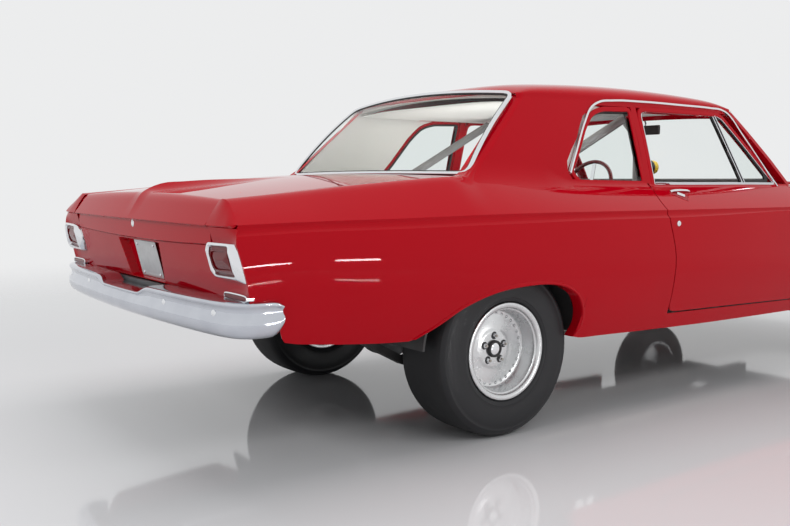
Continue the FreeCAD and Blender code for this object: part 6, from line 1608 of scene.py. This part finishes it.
@dataclass
class Wheel:
    """Slick tyre on a deep polished rim with rivets, nuts and a plain centre cap."""

    name: str
    centre_x: float
    side: Side
    radius: float
    width: float
    outer: float
    dish: float

    @property
    def middle(self) -> tuple[float, float, float]:
        """Middle of the tyre."""
        return (self.centre_x, self.side.value * (self.outer - self.width / 2), self.radius)

    @property
    def face(self) -> tuple[float, float, float]:
        """Middle of the rim's disc face."""
        return (self.centre_x, self.side.value * (self.outer - 7 - self.dish), self.radius)

    def tyre_side(self) -> Array:
        """Outer sidewall from the bead to the shoulder, as (radius, height from the middle plane)."""
        edge, r = self.width / 2, self.radius
        s = (r - 207) / 159
        corners = ((196, edge - 24), (205, edge - 17.5), (209, edge - 16.5), (211, edge - 13), (214, edge - 9),
                   (221, edge - 6), (227, edge - 4.5), (228.5, edge - 3), (231, edge - 3), (233, edge - 3.4))
        rest = [(207 + s * (q - 207), edge - d) for q, d in ((246, 2.4), (262, 1.2), (280, 0.6), (300, 0.9),
                                                             (318, 2.6), (330, 4.8), (332, 4.2), (335, 5.0),
                                                             (340, 7.6), (347, 12), (353, 18))]
        return np.array(corners + tuple(rest))

    def tyre_tread(self) -> Array:
        """Tread from shoulder to shoulder: flat with rounded shoulders and a slight crown."""
        edge = self.width / 2
        start = self.tyre_side()[-1]
        half = np.array([tuple(start), (self.radius - 9.5, edge - 24), (self.radius - 6.5, edge - 31),
                         (self.radius - 4.2, edge - 40), (self.radius - 2.2, edge - 56),
                         (self.radius - 0.8, edge - 80), (self.radius, 0.0)])
        other = half[::-1][1:] * np.array([1.0, -1.0])
        return np.concatenate([half, other])

    def rim_profile(self) -> Array:
        """Closed section of the rim: disc, dished barrel, rolled lip, seat and inner lip."""
        d = self.dish
        back = d - self.width + 14
        front = [(26, 5), (40, 5), (72, 6), (79, 5), (85, 2.4), (92, 1.2), (120, 0.4), (143, 0), (157, 0), (160, 1.6),
                 (163, 1.6), (165.5, 4), (167, 9), (170, 0.30 * d), (173, 0.55 * d), (175, d - 22), (176, d - 18),
                 (181, d - 16.5), (183, d - 14), (184, d - 6), (187, d - 3), (193, d - 0.8), (200, d), (204.5, d - 1),
                 (206.8, d - 4), (206, d - 8), (200, d - 9)]
        rear = [(190.5, d - 10), (188, d - 40), (188, back + 30), (190.5, back + 10), (203, back + 9),
                (206.8, back + 5), (205, back + 1), (198, back + 0.3), (188, back + 3), (180, back + 14), (176, -30),
                (170, -17), (80, -18), (64, -20), (60, back + 24), (26, back + 21)]
        return np.array(front + rear, float)

    def build(self, finish: Finishes) -> None:
        """Build the tyre, the rim and their small parts."""
        body = f"wheel_{self.name}"
        axis = (0, self.side.value, 0)
        segments = 96
        wall = self.tyre_side()
        inner = wall[::-1] * np.array([1.0, -1.0])
        parts = turned(self.middle, axis, wall, segments) + turned(self.middle, axis, inner, segments)
        ride(mesh_piece(f"tyre_sidewalls_{self.name}", parts, finish["sidewall_rubber"], sharp=40), body,
             "slick_rubber", f"tyre_{self.name}")
        ride(mesh_piece(f"tyre_tread_{self.name}", turned(self.middle, axis, self.tyre_tread(), segments),
                        finish["slick_rubber"], sharp=40), body, "slick_rubber")
        rim = turned(self.face, axis, self.rim_profile(), segments, True)
        flute = np.linspace(0, 2 * np.pi, segments, endpoint=False)
        r = np.concatenate([self.rim_profile(), self.rim_profile()[:1]])[:, 0]
        order = np.arange(len(r))
        soft = np.clip((r - 84) / 12, 0, 1) * np.clip((150 - r) / 12, 0, 1) * (order < 9)
        rim[0].points[:, :, 1] += self.side.value * 1.5 * soft[:, None] * np.cos(4 * flute + 0.7)[None]
        rim = mesh_piece(f"rim_{self.name}_shell", rim, finish["polished_wheel"], sharp=38)
        ride(rim, body, "wheel_metal", f"rim_{self.name}")
        self.small_parts(body, axis, finish)

    def ring_places(self, count: int, radius: float, start: float = 0.0) -> list[tuple[float, float, float]]:
        """Evenly spaced places round the disc face."""
        turn = start + np.arange(count) * 2 * np.pi / count
        x, y, z = self.face
        return [(x + radius * math.cos(a), y, z + radius * math.sin(a)) for a in turn]

    def small_parts(self, body: str, axis: Sequence[float], finish: Finishes) -> None:
        """Rivets in dark wells, five nuts on studs, the ringed centre cap and the valve."""
        rivets, wells, nuts, studs = [], [], [], []
        for place in self.ring_places(30, 150.5):
            wells += turned(place, axis, ((0, 0.5), (6.0, 0.5), (6.4, -0.5)), 12)
            rivets += turned(place, axis, ((0, 2.6), (2.2, 2.2), (3.8, 0.9), (4.1, 0.3)), 10)
        for place in self.ring_places(5, 57.2, 0.3):
            wells += turned(place, axis, ((0, 6.5), (15.5, 6.4), (17.0, 5.5), (17.2, 2.0)), 24)
            nuts += turned(place, axis, ((4, 19), (8.6, 19), (10.4, 17.2), (11.2, 14), (11.2, 4)), 6)
            studs += turned(place, axis, ((0, 26), (5.2, 25.4), (6.0, 24), (6.0, 12)), 16)
        x, y, z = self.face
        cap_ring = turned((x, y, z), axis, ((26, 17), (27, 18.5), (33, 18.5), (36, 16), (37, 12), (37.5, 5), (39, 4)),
                          48)
        cap = turned((x, y, z), axis, ((0, 17.5), (12, 17), (22, 15.8), (26.5, 14.5), (27, 12)), 48)
        valve_at = (x + 171 * math.cos(4.0), y, z + 171 * math.sin(4.0))
        valve = turned(valve_at, axis, ((0, 30), (2.6, 29.5), (3.6, 27), (3.6, 16), (4.6, 15), (4.6, 2)), 16)
        for name, parts, material in (("rivets", rivets, "chrome_trim"), ("rivet_wells", wells, "wheel_dark_ring"),
                                      ("wheel_nuts", nuts, "chrome_trim"), ("wheel_studs", studs, "pipe_steel"),
                                      ("cap_ring", cap_ring, "wheel_dark_ring"), ("cap_face", cap, "chrome_trim"),
                                      ("valve", valve, "wheel_dark_ring")):
            ride(mesh_piece(f"{name}_{self.name}", parts, finish[material], sharp=35), body, "wheel_metal")


@dataclass
class Pad:
    """A stuffed seat pad: a rounded box with sewn channels, swollen by a cloth run."""

    name: str
    centre: tuple[float, float, float]
    size: tuple[float, float, float]
    lean: float
    channels: int
    power: float = 0.36
    groove: float = 7.0
    groove_width: float = 5.5
    pressure: float = 4.0
    most_swell: float = 0.016

    def shape(self) -> list[Patch]:
        """Rounded box, each half size times its bent cosines and sines, turned about the cross axis by the lean."""
        u = np.linspace(-np.pi / 2, np.pi / 2, 49)
        v = np.linspace(-np.pi, np.pi, 97)[:-1]
        cu, su, cv, sv = np.cos(u)[:, None], np.sin(u)[:, None], np.cos(v)[None], np.sin(v)[None]
        x = self.size[0] / 2 * bent(cu, self.power) * bent(cv, self.power)
        y = self.size[1] / 2 * bent(cu, self.power) * bent(sv, self.power)
        z = self.size[2] / 2 * bent(su, self.power) * np.ones_like(v)[None]
        lean = math.radians(self.lean)
        px = self.centre[0] + x * math.cos(lean) - z * math.sin(lean)
        pz = self.centre[2] + x * math.sin(lean) + z * math.cos(lean)
        return [Patch(xyz(px, self.centre[1] + y, pz), (0, 0, 0), True)]

    def seams(self, points: Array) -> Array:
        """Depth of the sewn channels at each point: narrow grooves across the pad's face."""
        lean = math.radians(self.lean)
        x, z = points[:, 0] - self.centre[0], points[:, 2] - self.centre[2]
        run = x * math.cos(lean) + z * math.sin(lean)
        up = -x * math.sin(lean) + z * math.cos(lean)
        along_pad = run if self.size[0] > self.size[2] else up
        face = up if self.size[0] > self.size[2] else run
        length = max(self.size[0], self.size[2])
        thick = min(self.size[0], self.size[2])
        spacing = length / (self.channels + 1)
        phase = np.abs((along_pad / spacing + 0.5 * (self.channels + 1)) % 1.0)
        near = np.minimum(phase, 1 - phase) * spacing
        inside = np.clip((self.size[1] / 2 - 34 - np.abs(points[:, 1] - self.centre[1])) / 16, 0, 1)
        ends = np.clip((length / 2 - 24 - np.abs(along_pad)) / 14, 0, 1)
        depth = self.groove * np.exp(-((near / self.groove_width) ** 2))
        return depth * inside * ends * np.clip(face / thick * 4, 0, 1)

    def build(self, finish: Finishes, other: str) -> None:
        """Build the left pad, swell it, sew it, and copy it to the right side."""
        shape = mesh_piece(f"{self.name}_left", self.shape(), finish["seat_vinyl"], weld=1.0, sharp=180)
        start = self.swell(shape)
        mesh = shape.data
        points = np.empty(len(mesh.vertices) * 3, np.float32)
        mesh.vertices.foreach_get("co", points)
        points = points.reshape(-1, 3) * 1000
        normals = np.empty(len(mesh.vertices) * 3, np.float32)
        mesh.vertex_normals.foreach_get("vector", normals)
        normals = normals.reshape(-1, 3)
        points = points - normals * self.seams(points)[:, None]
        mesh.vertices.foreach_set("co", (points / 1000).astype(np.float32).ravel())
        mesh.update()
        right = bpy.data.objects.new(f"{self.name}_right", mesh.copy())
        bpy.context.scene.collection.objects.link(right)
        flipped = points * np.array([1.0, -1.0, 1.0])
        right.data.vertices.foreach_set("co", (flipped / 1000).astype(np.float32).ravel())
        right.data.flip_normals()
        for piece in (shape, right):
            ride(piece, "body", "seat_cover", *([other] if other and piece is shape else []))
        log.info("pad %s, %d points, swollen %.1f mm", self.name, len(points), start)

    def swell(self, piece: bpy.types.Object) -> float:
        """Remesh the pad and run a cloth with inner pressure.

        Args:
            piece: the pad's object.

        Returns:
            Greatest movement in millimetres, after the cap.
        """
        remesh = piece.modifiers.new("remesh", "REMESH")
        remesh.mode = "VOXEL"
        remesh.voxel_size = 0.006
        bake_modifiers(piece)
        count = len(piece.data.vertices)
        before = np.empty(count * 3, np.float32)
        piece.data.vertices.foreach_get("co", before)
        moved = 0.0
        cloth = piece.modifiers.new("cloth", "CLOTH")
        cloth.settings.use_pressure = True
        cloth.settings.uniform_pressure_force = self.pressure
        cloth.settings.effector_weights.gravity = 0.0
        cloth.settings.quality = 4
        cloth.collision_settings.use_collision = False
        cloth.point_cache.frame_start, cloth.point_cache.frame_end = 1, CLOTH_FRAMES
        scene = bpy.context.scene
        for frame_number in range(1, CLOTH_FRAMES + 1):
            scene.frame_set(frame_number)
        shown = piece.evaluated_get(bpy.context.evaluated_depsgraph_get())
        after = np.empty(count * 3, np.float32)
        shown.data.vertices.foreach_get("co", after)
        piece.modifiers.remove(cloth)
        scene.frame_set(1)
        step = (after - before).reshape(-1, 3)
        long = np.linalg.norm(step, axis=1, keepdims=True)
        step *= np.minimum(1.0, self.most_swell / np.maximum(long, 1e-9))
        moved = float(np.linalg.norm(step, axis=1).max() * 1000)
        piece.data.vertices.foreach_set("co", (before.reshape(-1, 3) + step).ravel())
        smooth_faces(piece)
        return moved


def bake_modifiers(piece: bpy.types.Object) -> None:
    """Replace a piece's mesh by the mesh that its modifiers give."""
    shown = piece.evaluated_get(bpy.context.evaluated_depsgraph_get())
    mesh = bpy.data.meshes.new_from_object(shown)
    old = piece.data
    materials = list(old.materials)
    piece.modifiers.clear()
    piece.data = mesh
    mesh.name = piece.name
    if not mesh.materials:
        for material in materials:
            mesh.materials.append(material)
    bpy.data.meshes.remove(old)


def smooth_faces(piece: bpy.types.Object) -> None:
    """Shade every face of a piece smooth."""
    piece.data.polygons.foreach_set("use_smooth", np.ones(len(piece.data.polygons), bool))
    piece.data.update()


@dataclass
class Cabin:
    """Seats, dash, steering wheel, headliner and mirror."""

    hub: tuple[float, float, float] = (651.0, 400.0, 1012.0)
    tilt: float = 22.0

    def steering_wheel(self, finish: Finishes) -> None:
        """Rim, three drilled spokes and boss, on the column's axis."""
        tilt = math.radians(self.tilt)
        axis = np.array([-math.cos(tilt), 0, math.sin(tilt)])
        up = np.array([math.sin(tilt), 0, math.cos(tilt)])
        side = np.array([0, 1.0, 0])
        hub = np.array(self.hub)
        ring = hub + axis * 30
        turn = np.linspace(0, 2 * np.pi, 97)[:-1]
        path = ring + 187 * (np.cos(turn)[:, None] * side + np.sin(turn)[:, None] * up)
        angle = np.linspace(0, 2 * np.pi, 17)[:-1]
        section = [(12.6 * math.cos(a), 12.6 * math.sin(a)) for a in angle]
        ride(mesh_piece("steering_rim", sweep(path, section, tuple(axis), True), finish["wheel_grip_red"], sharp=60),
             "steering_wheel", "wheel_grip", "steering_wheel")
        spokes = []
        for degrees in (90, 210, 330):
            a = math.radians(degrees)
            out = math.cos(a) * side + math.sin(a) * up
            share = np.linspace(0, 1, 15)[:, None]
            line = hub + axis * (6 + 24 * share) + out * (24 + 156 * share)
            spokes += sweep(line, ((-14, -2), (14, -2), (15, 0), (14, 2), (-14, 2), (-15, 0)), tuple(axis))
        spokes = mesh_piece("steering_spokes", spokes, finish["chrome_trim"], sharp=40)
        ride(spokes, "steering_wheel", "chrome")
        boss = turned(hub, axis, ((0, 22), (14, 21), (24, 18), (30, 12), (37, 4), (37.5, -30), (34, -38)), 40)
        boss = mesh_piece("steering_boss", boss, finish["dash_vinyl"], sharp=40)
        ride(boss, "steering_wheel", "wheel_grip")

    def dash(self, finish: Finishes) -> None:
        """Padded dash section carried across the cabin, with an instrument pod, gauges and a tachometer."""
        y = np.linspace(-716, 716, 61)
        path = xyz(872 + 0 * y, y, 0 * y + 930)
        section = ((120, -70), (128, 112), (100, 128), (60, 142), (20, 154), (-30, 158), (-62, 152), (-84, 124),
                   (-90, 52), (-78, 36), (-60, 28), (-52, 10), (-50, -30), (-44, -62), (-30, -70))
        ride(mesh_piece("dash_panel", sweep(path, section[::-1], (0, 0, 1)), finish["dash_vinyl"], Wall(0, 3.0),
                        sharp=35), "body", "dash_pad")
        faces, rings = [], []
        for gy, gz, radius in ((340, 955, 46), (460, 955, 46), (250, 950, 27), (545, 950, 27)):
            rings += turned((824, gy, gz), (-1, 0, 0), ((radius - 4, 8), (radius - 3, 14), (radius, 16),
                                                        (radius + 4, 13), (radius + 5, 4), (radius + 5, -4)), 40)
            faces += turned((824, gy, gz), (-1, 0, 0), ((0, 9), (radius - 4, 9)), 40)
        ride(mesh_piece("gauge_rings", rings, finish["chrome_trim"], sharp=35), "body", "chrome")
        ride(mesh_piece("gauge_faces", faces, finish["gauge_face"], sharp=35), "body", "dash_pad")
        tach = turned((880, 130, 1160), (-1, 0, 0), ((0, 52), (44, 52), (46, 56), (52, 57), (56, 52), (56, 30),
                                                     (48, 24), (46, -20)), 40)
        ride(mesh_piece("tachometer", tach, finish["gauge_face"], sharp=35), "body", "dash_pad")
        tail = turned((880, 130, 1160), (1, 0, 0), ((0, 64), (36, 64), (42, 60), (44, 52), (44, 18), (40, 12)), 40)
        ride(mesh_piece("tachometer_tail", tail, finish["gauge_yellow"], sharp=35), "body", "dash_pad")
        stem = round_bar(np.array([[880.0, 130, 1015], [880, 130, 1070], [880, 130, 1118]]), 9, 14)
        ride(mesh_piece("tachometer_stem", stem, finish["pipe_steel"]), "body", "dash_pad")

    def mirror(self, finish: Finishes) -> None:
        """Inner mirror on its stalk."""
        y = np.linspace(-112, 112, 41)
        section = ((-9, -26), (6, -29), (11, -24), (12, 0), (11, 24), (6, 29), (-9, 26))
        path = xyz(676 + 0 * y, y, 1380 + 0 * y)
        ride(mesh_piece("inner_mirror", sweep(path, section, (0, 0, 1)), finish["dash_vinyl"], Wall(0, 3.0)), "body",
             "dash_pad")
        stalk = round_bar(np.array([[688.0, 0, 1390], [694, 0, 1420], [672, 0, 1462]]), 6, 12)
        ride(mesh_piece("inner_mirror_stalk", stalk, finish["chrome_trim"]), "body", "chrome")

    def headliner(self, finish: Finishes) -> None:
        """Stretched cloth under the roof, sagging a little between its bows."""
        x = np.linspace(-985, 560, 121)
        share = np.linspace(-1, 1, 61)
        grid_x, grid_s = np.meshgrid(x, share, indexing="ij")
        crown = np.interp(grid_x, (-985, -700, -200, 250, 560), (18, 44, 56, 50, 30))
        z = 1424 + crown * (1 - grid_s**4) - 3.0 * np.abs(np.sin(np.pi * (grid_x + 985) / 309)) * (1 - grid_s**2)
        cloth = mesh_piece("headliner", [Patch(xyz(grid_x, 612 * grid_s, z), (0, 0, -1))],
                           finish["headliner_cloth"], Wall(2.0))
        ride(cloth, "body", "shelf_board")

    def build(self, finish: Finishes) -> None:
        """Build the cabin."""
        cushion = Pad("seat_cushion", (258.0, 385.0, 622.0), size=(380.0, 326.0, 120.0), lean=5.0, channels=5)
        cushion.build(finish, "bucket_seats")
        Pad("seat_back", (24.0, 385.0, 862.0), size=(92.0, 326.0, 380.0), lean=11.5, channels=5).build(finish, "")
        base = []
        for x_low, x_high, z_low, z_high in ((20, 420, 412, 436), (60, 380, 436, 545)):
            path = xyz(np.full(9, 0.5 * (x_low + x_high)), np.linspace(222, 548, 9),
                       np.full(9, 0.5 * (z_low + z_high)))
            w, h = 0.5 * (x_high - x_low), 0.5 * (z_high - z_low)
            base += sweep(path, ((-w, -h), (w, -h), (w * 0.96, h), (-w * 0.96, h)), (0, 0, 1))
        ride(mesh_piece("seat_bases", both(base), finish["chassis_black"], Wall(0, 6.0)), "body", "chassis_black")
        self.steering_wheel(finish)
        self.dash(finish)
        self.mirror(finish)
        self.headliner(finish)


@dataclass
class Drivetrain:
    """Engine with its covers, intake and pulleys, gearbox and fuel cell."""

    @staticmethod
    def box(low: Sequence[float], high: Sequence[float], taper: float = 1.0) -> list[Patch]:
        """Box from one corner to the other, its top narrowed across the car by the taper."""
        (x0, y0, z0), (x1, y1, z1) = low, high
        mid, half = 0.5 * (y0 + y1), 0.5 * (y1 - y0)
        path = xyz(np.linspace(x0, x1, 7), np.full(7, mid), np.full(7, 0.5 * (z0 + z1)))
        tall = 0.5 * (z1 - z0)
        return sweep(path, ((-half, -tall), (half, -tall), (half * taper, tall), (-half * taper, tall)), (0, 0, 1))

    def build(self, finish: Finishes) -> None:
        """Build the pieces inside the solids' boxes."""
        block = self.box((1275, -215, 440), (1905, 215, 640), 0.9)
        block += self.box((1262, -150, 345), (1880, 150, 440), 1.3)
        bell = turned((1262, 0, 440), (-1, 0, 0), ((0, -4), (150, -4), (152, 20), (128, 120), (108, 190), (96, 300),
                                                   (82, 610), (60, 636), (0, 636)), 40)
        ride(mesh_piece("engine_block", block + bell, finish["engine_enamel"], Wall(0, 8.0, 30, 3)), "body",
             "engine_iron", "engine")
        heads, covers, fins, manifolds = [], [], [], []
        for side in (1.0, -1.0):
            path = xyz(np.linspace(1290, 1895, 25), np.full(25, side * 176.0), np.full(25, 690.0))
            up = (0, side * 0.55, 0.83)
            heads += sweep(path, ((-72, -62), (72, -62), (72, 34), (-72, 34)), up)
            lifted = path + np.array([0, side * 34.0, 52.0])
            covers += sweep(lifted, ((-64, -20), (64, -20), (60, 26), (44, 42), (-44, 42), (-60, 26)), up)
            for k in range(-3, 4):
                step = np.array([0, 0.83 * k * 11.0, -side * 0.55 * k * 11.0])
                line = lifted[2:-2] + step + np.array(up) * 43
                fins += sweep(line, ((-1.6, -3), (1.6, -3), (1.2, 3), (-1.2, 3)), up)
            for x in (1340, 1490, 1640, 1790):
                bend = along(((x, side * 214.0, 650), (x, side * 254, 640), (x - 20, side * 262, 560),
                              (x - 60, side * 240, 450)), 24, True)
                manifolds += round_bar(bend, 20, 16)
        for name, parts, material in (("engine_heads", heads, "engine_enamel"), ("valve_covers", covers, "cast_grey"),
                                      ("valve_cover_fins", fins, "cast_grey"),
                                      ("exhaust_headers", manifolds, "pipe_steel")):
            ride(mesh_piece(name, parts, finish[material], Wall(0, 3.0 if name != "valve_cover_fins" else 0.0)),
                 "body", "engine_iron")
        intake = self.box((1320, -105, 640), (1860, 105, 742), 0.7) + self.box((1400, -80, 742), (1780, 80, 790), 0.9)
        ride(mesh_piece("intake", intake, finish["cast_grey"], Wall(0, 8.0, 30, 3)), "body", "engine_iron")
        cleaners = []
        for x in (1490.0, 1690.0):
            cleaners += turned((x, 0, 790), (0, 0, 1), ((0, 88), (20, 88), (24, 84), (70, 84), (92, 80), (97, 72),
                                                        (97, 26), (90, 20), (60, 18), (56, -2)), 48)
        ride(mesh_piece("air_cleaners", cleaners, finish["chrome_trim"], sharp=40), "body", "engine_iron")
        pulleys = []
        for y, z, r in ((0, 470, 92), (0, 640, 74), (150, 560, 48)):
            pulleys += turned((1905, y, z), (1, 0, 0), ((0, 46), (26, 46), (30, 40), (r * 0.6, 36), (r - 6, 42),
                                                        (r, 40), (r, 34), (r - 12, 27), (r, 20), (r, 12), (r - 8, 8),
                                                        (26, 6), (24, -10)), 48)
        ride(mesh_piece("engine_pulleys", pulleys, finish["cast_grey"], sharp=40), "body", "engine_iron")
        ride(mesh_piece("fuel_cell_box", self.box((-2255, -275, 474), (-1845, 275, 598)), finish["chassis_black"],
                        Wall(0, 14.0, 30, 4)), "body", "chassis_black", "fuel_cell")
        straps = []
        for y in (-150.0, 150.0):
            path = along(((-2262, y, 600), (-2262, y, 468), (-1838, y, 468), (-1838, y, 600)), 50)
            straps += sweep(path, ((-18, -1.5), (18, -1.5), (18, 1.5), (-18, 1.5)), (0.3, 0, 0.95))
        ride(mesh_piece("fuel_cell_straps", straps, finish["dull_trim"]), "body", "chassis_black")


def dress(finish: Finishes) -> None:
    """Give every solid that still shows its procedural finish."""
    table = {"roll_cage": "cage_paint", "floor_pan": "cabin_grey_paint", "wheel_tubs": "chassis_black",
             "firewall": "chassis_black", "frame_rails": "chassis_black", "rear_axle": "axle_grey",
             "leaf_springs": "chassis_black", "radiator": "radiator_fins", "exhaust": "pipe_steel",
             "front_suspension": "chassis_black", "knuckle_left": "axle_grey", "knuckle_right": "axle_grey",
             "package_shelf": "shelf_board", "dashboard": "dash_vinyl", "grille": "dull_trim"}
    for part, name in table.items():
        solid = bpy.data.objects[part]
        if not solid.data.materials:
            solid.data.materials.append(finish[name])
        for slot in solid.material_slots:
            slot.material = finish[name]


@dataclass
class Studio:
    """Pale floor, soft overhead light and the camera at the photo's angle."""

    camera_place: tuple[float, float, float] = (-3.797, -3.598, 1.082)
    yaw: float = 35.88
    pitch: float = -5.29
    focal_pixels: float = 900.9

    def camera(self) -> None:
        """Camera that looks along (sin yaw cos pitch, cos yaw cos pitch, sin pitch)."""
        data = bpy.data.cameras.new("photo_camera")
        data.sensor_width = SENSOR_WIDTH
        data.lens = self.focal_pixels * SENSOR_WIDTH / PHOTO_WIDTH
        data.clip_end = 200.0
        holder = bpy.data.objects.new("photo_camera", data)
        holder.location = self.camera_place
        holder.rotation_euler = (math.radians(90 + self.pitch), 0, math.radians(-self.yaw))
        bpy.context.scene.collection.objects.link(holder)
        bpy.context.scene.camera = holder

    def floor(self) -> None:
        """Glossy pale floor that runs out to white."""
        half = 40.0
        mesh = bpy.data.meshes.new("studio_floor")
        mesh.from_pydata([(-half, -half, 0), (half, -half, 0), (half, half, 0), (-half, half, 0)], [], [(0, 1, 2, 3)])
        floor = bpy.data.objects.new("studio_floor", mesh)
        bpy.context.scene.collection.objects.link(floor)
        material = bpy.data.materials.new("studio_floor_paint")
        material.use_nodes = True
        tree = material.node_tree
        shader = tree.nodes["Principled BSDF"]
        shader.inputs["Base Color"].default_value = (0.74, 0.74, 0.75, 1.0)
        place, noise = node(tree, "TexCoord"), node(tree, "TexNoise", {"Scale": 3.0})
        gloss = node(tree, "MapRange", {"To Min": 0.045, "To Max": 0.085})
        reach = node(tree, "VectorMath", operation="LENGTH")
        fade = node(tree, "MapRange", {"From Min": 3.2, "From Max": 9.0}, interpolation_type="SMOOTHSTEP")
        clear, mix = node(tree, "BsdfTransparent"), node(tree, "MixShader")
        link = tree.links.new
        link(place.outputs["Object"], noise.inputs["Vector"])
        link(noise.outputs["Fac"], gloss.inputs["Value"])
        link(gloss.outputs["Result"], shader.inputs["Roughness"])
        link(place.outputs["Object"], reach.inputs[0])
        link(reach.outputs["Value"], fade.inputs["Value"])
        link(fade.outputs["Result"], mix.inputs["Fac"])
        link(shader.outputs[0], mix.inputs[1])
        link(clear.outputs[0], mix.inputs[2])
        link(mix.outputs[0], tree.nodes["Material Output"].inputs["Surface"])
        mesh.materials.append(material)

    def light(self, name: str, place: Sequence[float], turn: Sequence[float], size: Sequence[float],
              power: float) -> None:
        """One soft rectangular lamp."""
        data = bpy.data.lights.new(name, "AREA")
        data.shape = "RECTANGLE"
        data.size, data.size_y = size
        data.energy = power
        lamp = bpy.data.objects.new(name, data)
        lamp.location = place
        lamp.rotation_euler = [math.radians(a) for a in turn]
        bpy.context.scene.collection.objects.link(lamp)
        lamp.visible_glossy = False

    def streak(self, name: str, spot: Sequence[float], size: Sequence[float]) -> None:
        """Bright ceiling panel whose mirror image falls on one spot of the right side, a plane that looks along -y.

        Args:
            name: the panel's name.
            spot: where the image is wanted, in metres.
            size: width and height in metres.
        """
        eye = np.array(self.camera_place)
        way = np.array(spot) - eye
        way[1] = -way[1]
        place = np.array(spot) + way / abs(way[1]) * 5.0
        self.light(name, place, (90, 0, 0), size, 14.0)
        bpy.data.objects[name].visible_glossy = True
        bpy.data.objects[name].visible_camera = False

    def world(self) -> None:
        """Soft pale world that the camera, mirrors and glass see as near white."""
        world = bpy.data.worlds.new("studio_world")
        bpy.context.scene.world = world
        world.use_nodes = True
        tree = world.node_tree
        tree.nodes.clear()
        out, mix, rays = (node(tree, kind) for kind in ("OutputWorld", "MixShader", "LightPath"))
        room = node(tree, "Background", {"Color": (0.80, 0.81, 0.83, 1.0), "Strength": 0.55})
        seen = node(tree, "Background", {"Color": (0.84, 0.845, 0.85, 1.0), "Strength": 1.0})
        first, second = (node(tree, "Math", operation="MAXIMUM") for _ in range(2))
        link = tree.links.new
        link(rays.outputs["Is Camera Ray"], first.inputs[0])
        link(rays.outputs["Is Glossy Ray"], first.inputs[1])
        link(first.outputs[0], second.inputs[0])
        link(rays.outputs["Is Transmission Ray"], second.inputs[1])
        link(second.outputs[0], mix.inputs["Fac"])
        link(room.outputs[0], mix.inputs[1])
        link(seen.outputs[0], mix.inputs[2])
        link(mix.outputs[0], out.inputs["Surface"])

    def build(self) -> None:
        """Set up the whole studio."""
        self.camera()
        self.floor()
        self.world()
        self.light("overhead_soft", (0.0, 0.0, 6.0), turn=(0, 0, 0), size=(7.0, 5.0), power=165.0)
        self.light("right_strip", (-1.0, -6.0, 4.2), turn=(52, 0, 0), size=(8.0, 1.2), power=120.0)
        self.light("rear_strip", (-7.0, 0.0, 3.6), turn=(58, 0, -90), size=(5.0, 1.2), power=80.0)
        for name, spot, size in (("streak_one", (-2.47, -0.955, 0.88), (0.5, 0.10)),
                                 ("streak_two", (-2.10, -0.955, 0.895), (0.6, 0.10))):
            self.streak(name, spot, size)
        self.light("cabin_glow", (-0.55, 0.0, 0.95), turn=(180, 0, 0), size=(1.1, 0.9), power=9.0)
        bpy.data.objects["cabin_glow"].visible_camera = False
        bpy.data.objects["cabin_glow"].visible_transmission = False
        bpy.context.scene.view_settings.view_transform = "Standard"


def main() -> None:
    """Build every sub-assembly in order, then the studio."""
    logging.basicConfig(level=logging.INFO, format="%(name)s %(message)s")
    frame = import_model()
    finish = Finishes()
    surface = BodySurface()
    shell = BodyShell(surface)
    shell.build(finish)
    TrunkLid().build(shell, finish)
    RearWindow().build(finish)
    for side in Side:
        Door(surface).build(side, finish)
    Greenhouse(surface).build(finish)
    FrontEnd(surface, shell).build(finish)
    RearEnd(surface, shell).build(finish)
    Bumper(-BUMPER_X, -1.0, low=552.0, high=681.0, wrap=240.0, dip=30.0).build("rear_bumper", finish)
    Bumper(BUMPER_X, 1.0, low=440.0, high=570.0, wrap=225.0, dip=0.0).build("front_bumper", finish)
    for side in Side:
        for end, x, radius, width, outer, dish in (("rear", REAR_AXLE_X, 366.0, 284.0, 869.0, 88.0),
                                                   ("front", FRONT_AXLE_X, 335.0, 153.0, 799.0, 52.0)):
            Wheel(f"{end}_{side.word}", x, side, radius, width, outer, dish).build(finish)
    Cabin().build(finish)
    Drivetrain().build(finish)
    dress(finish)
    Studio().build()


if __name__ == "__main__":
    main()
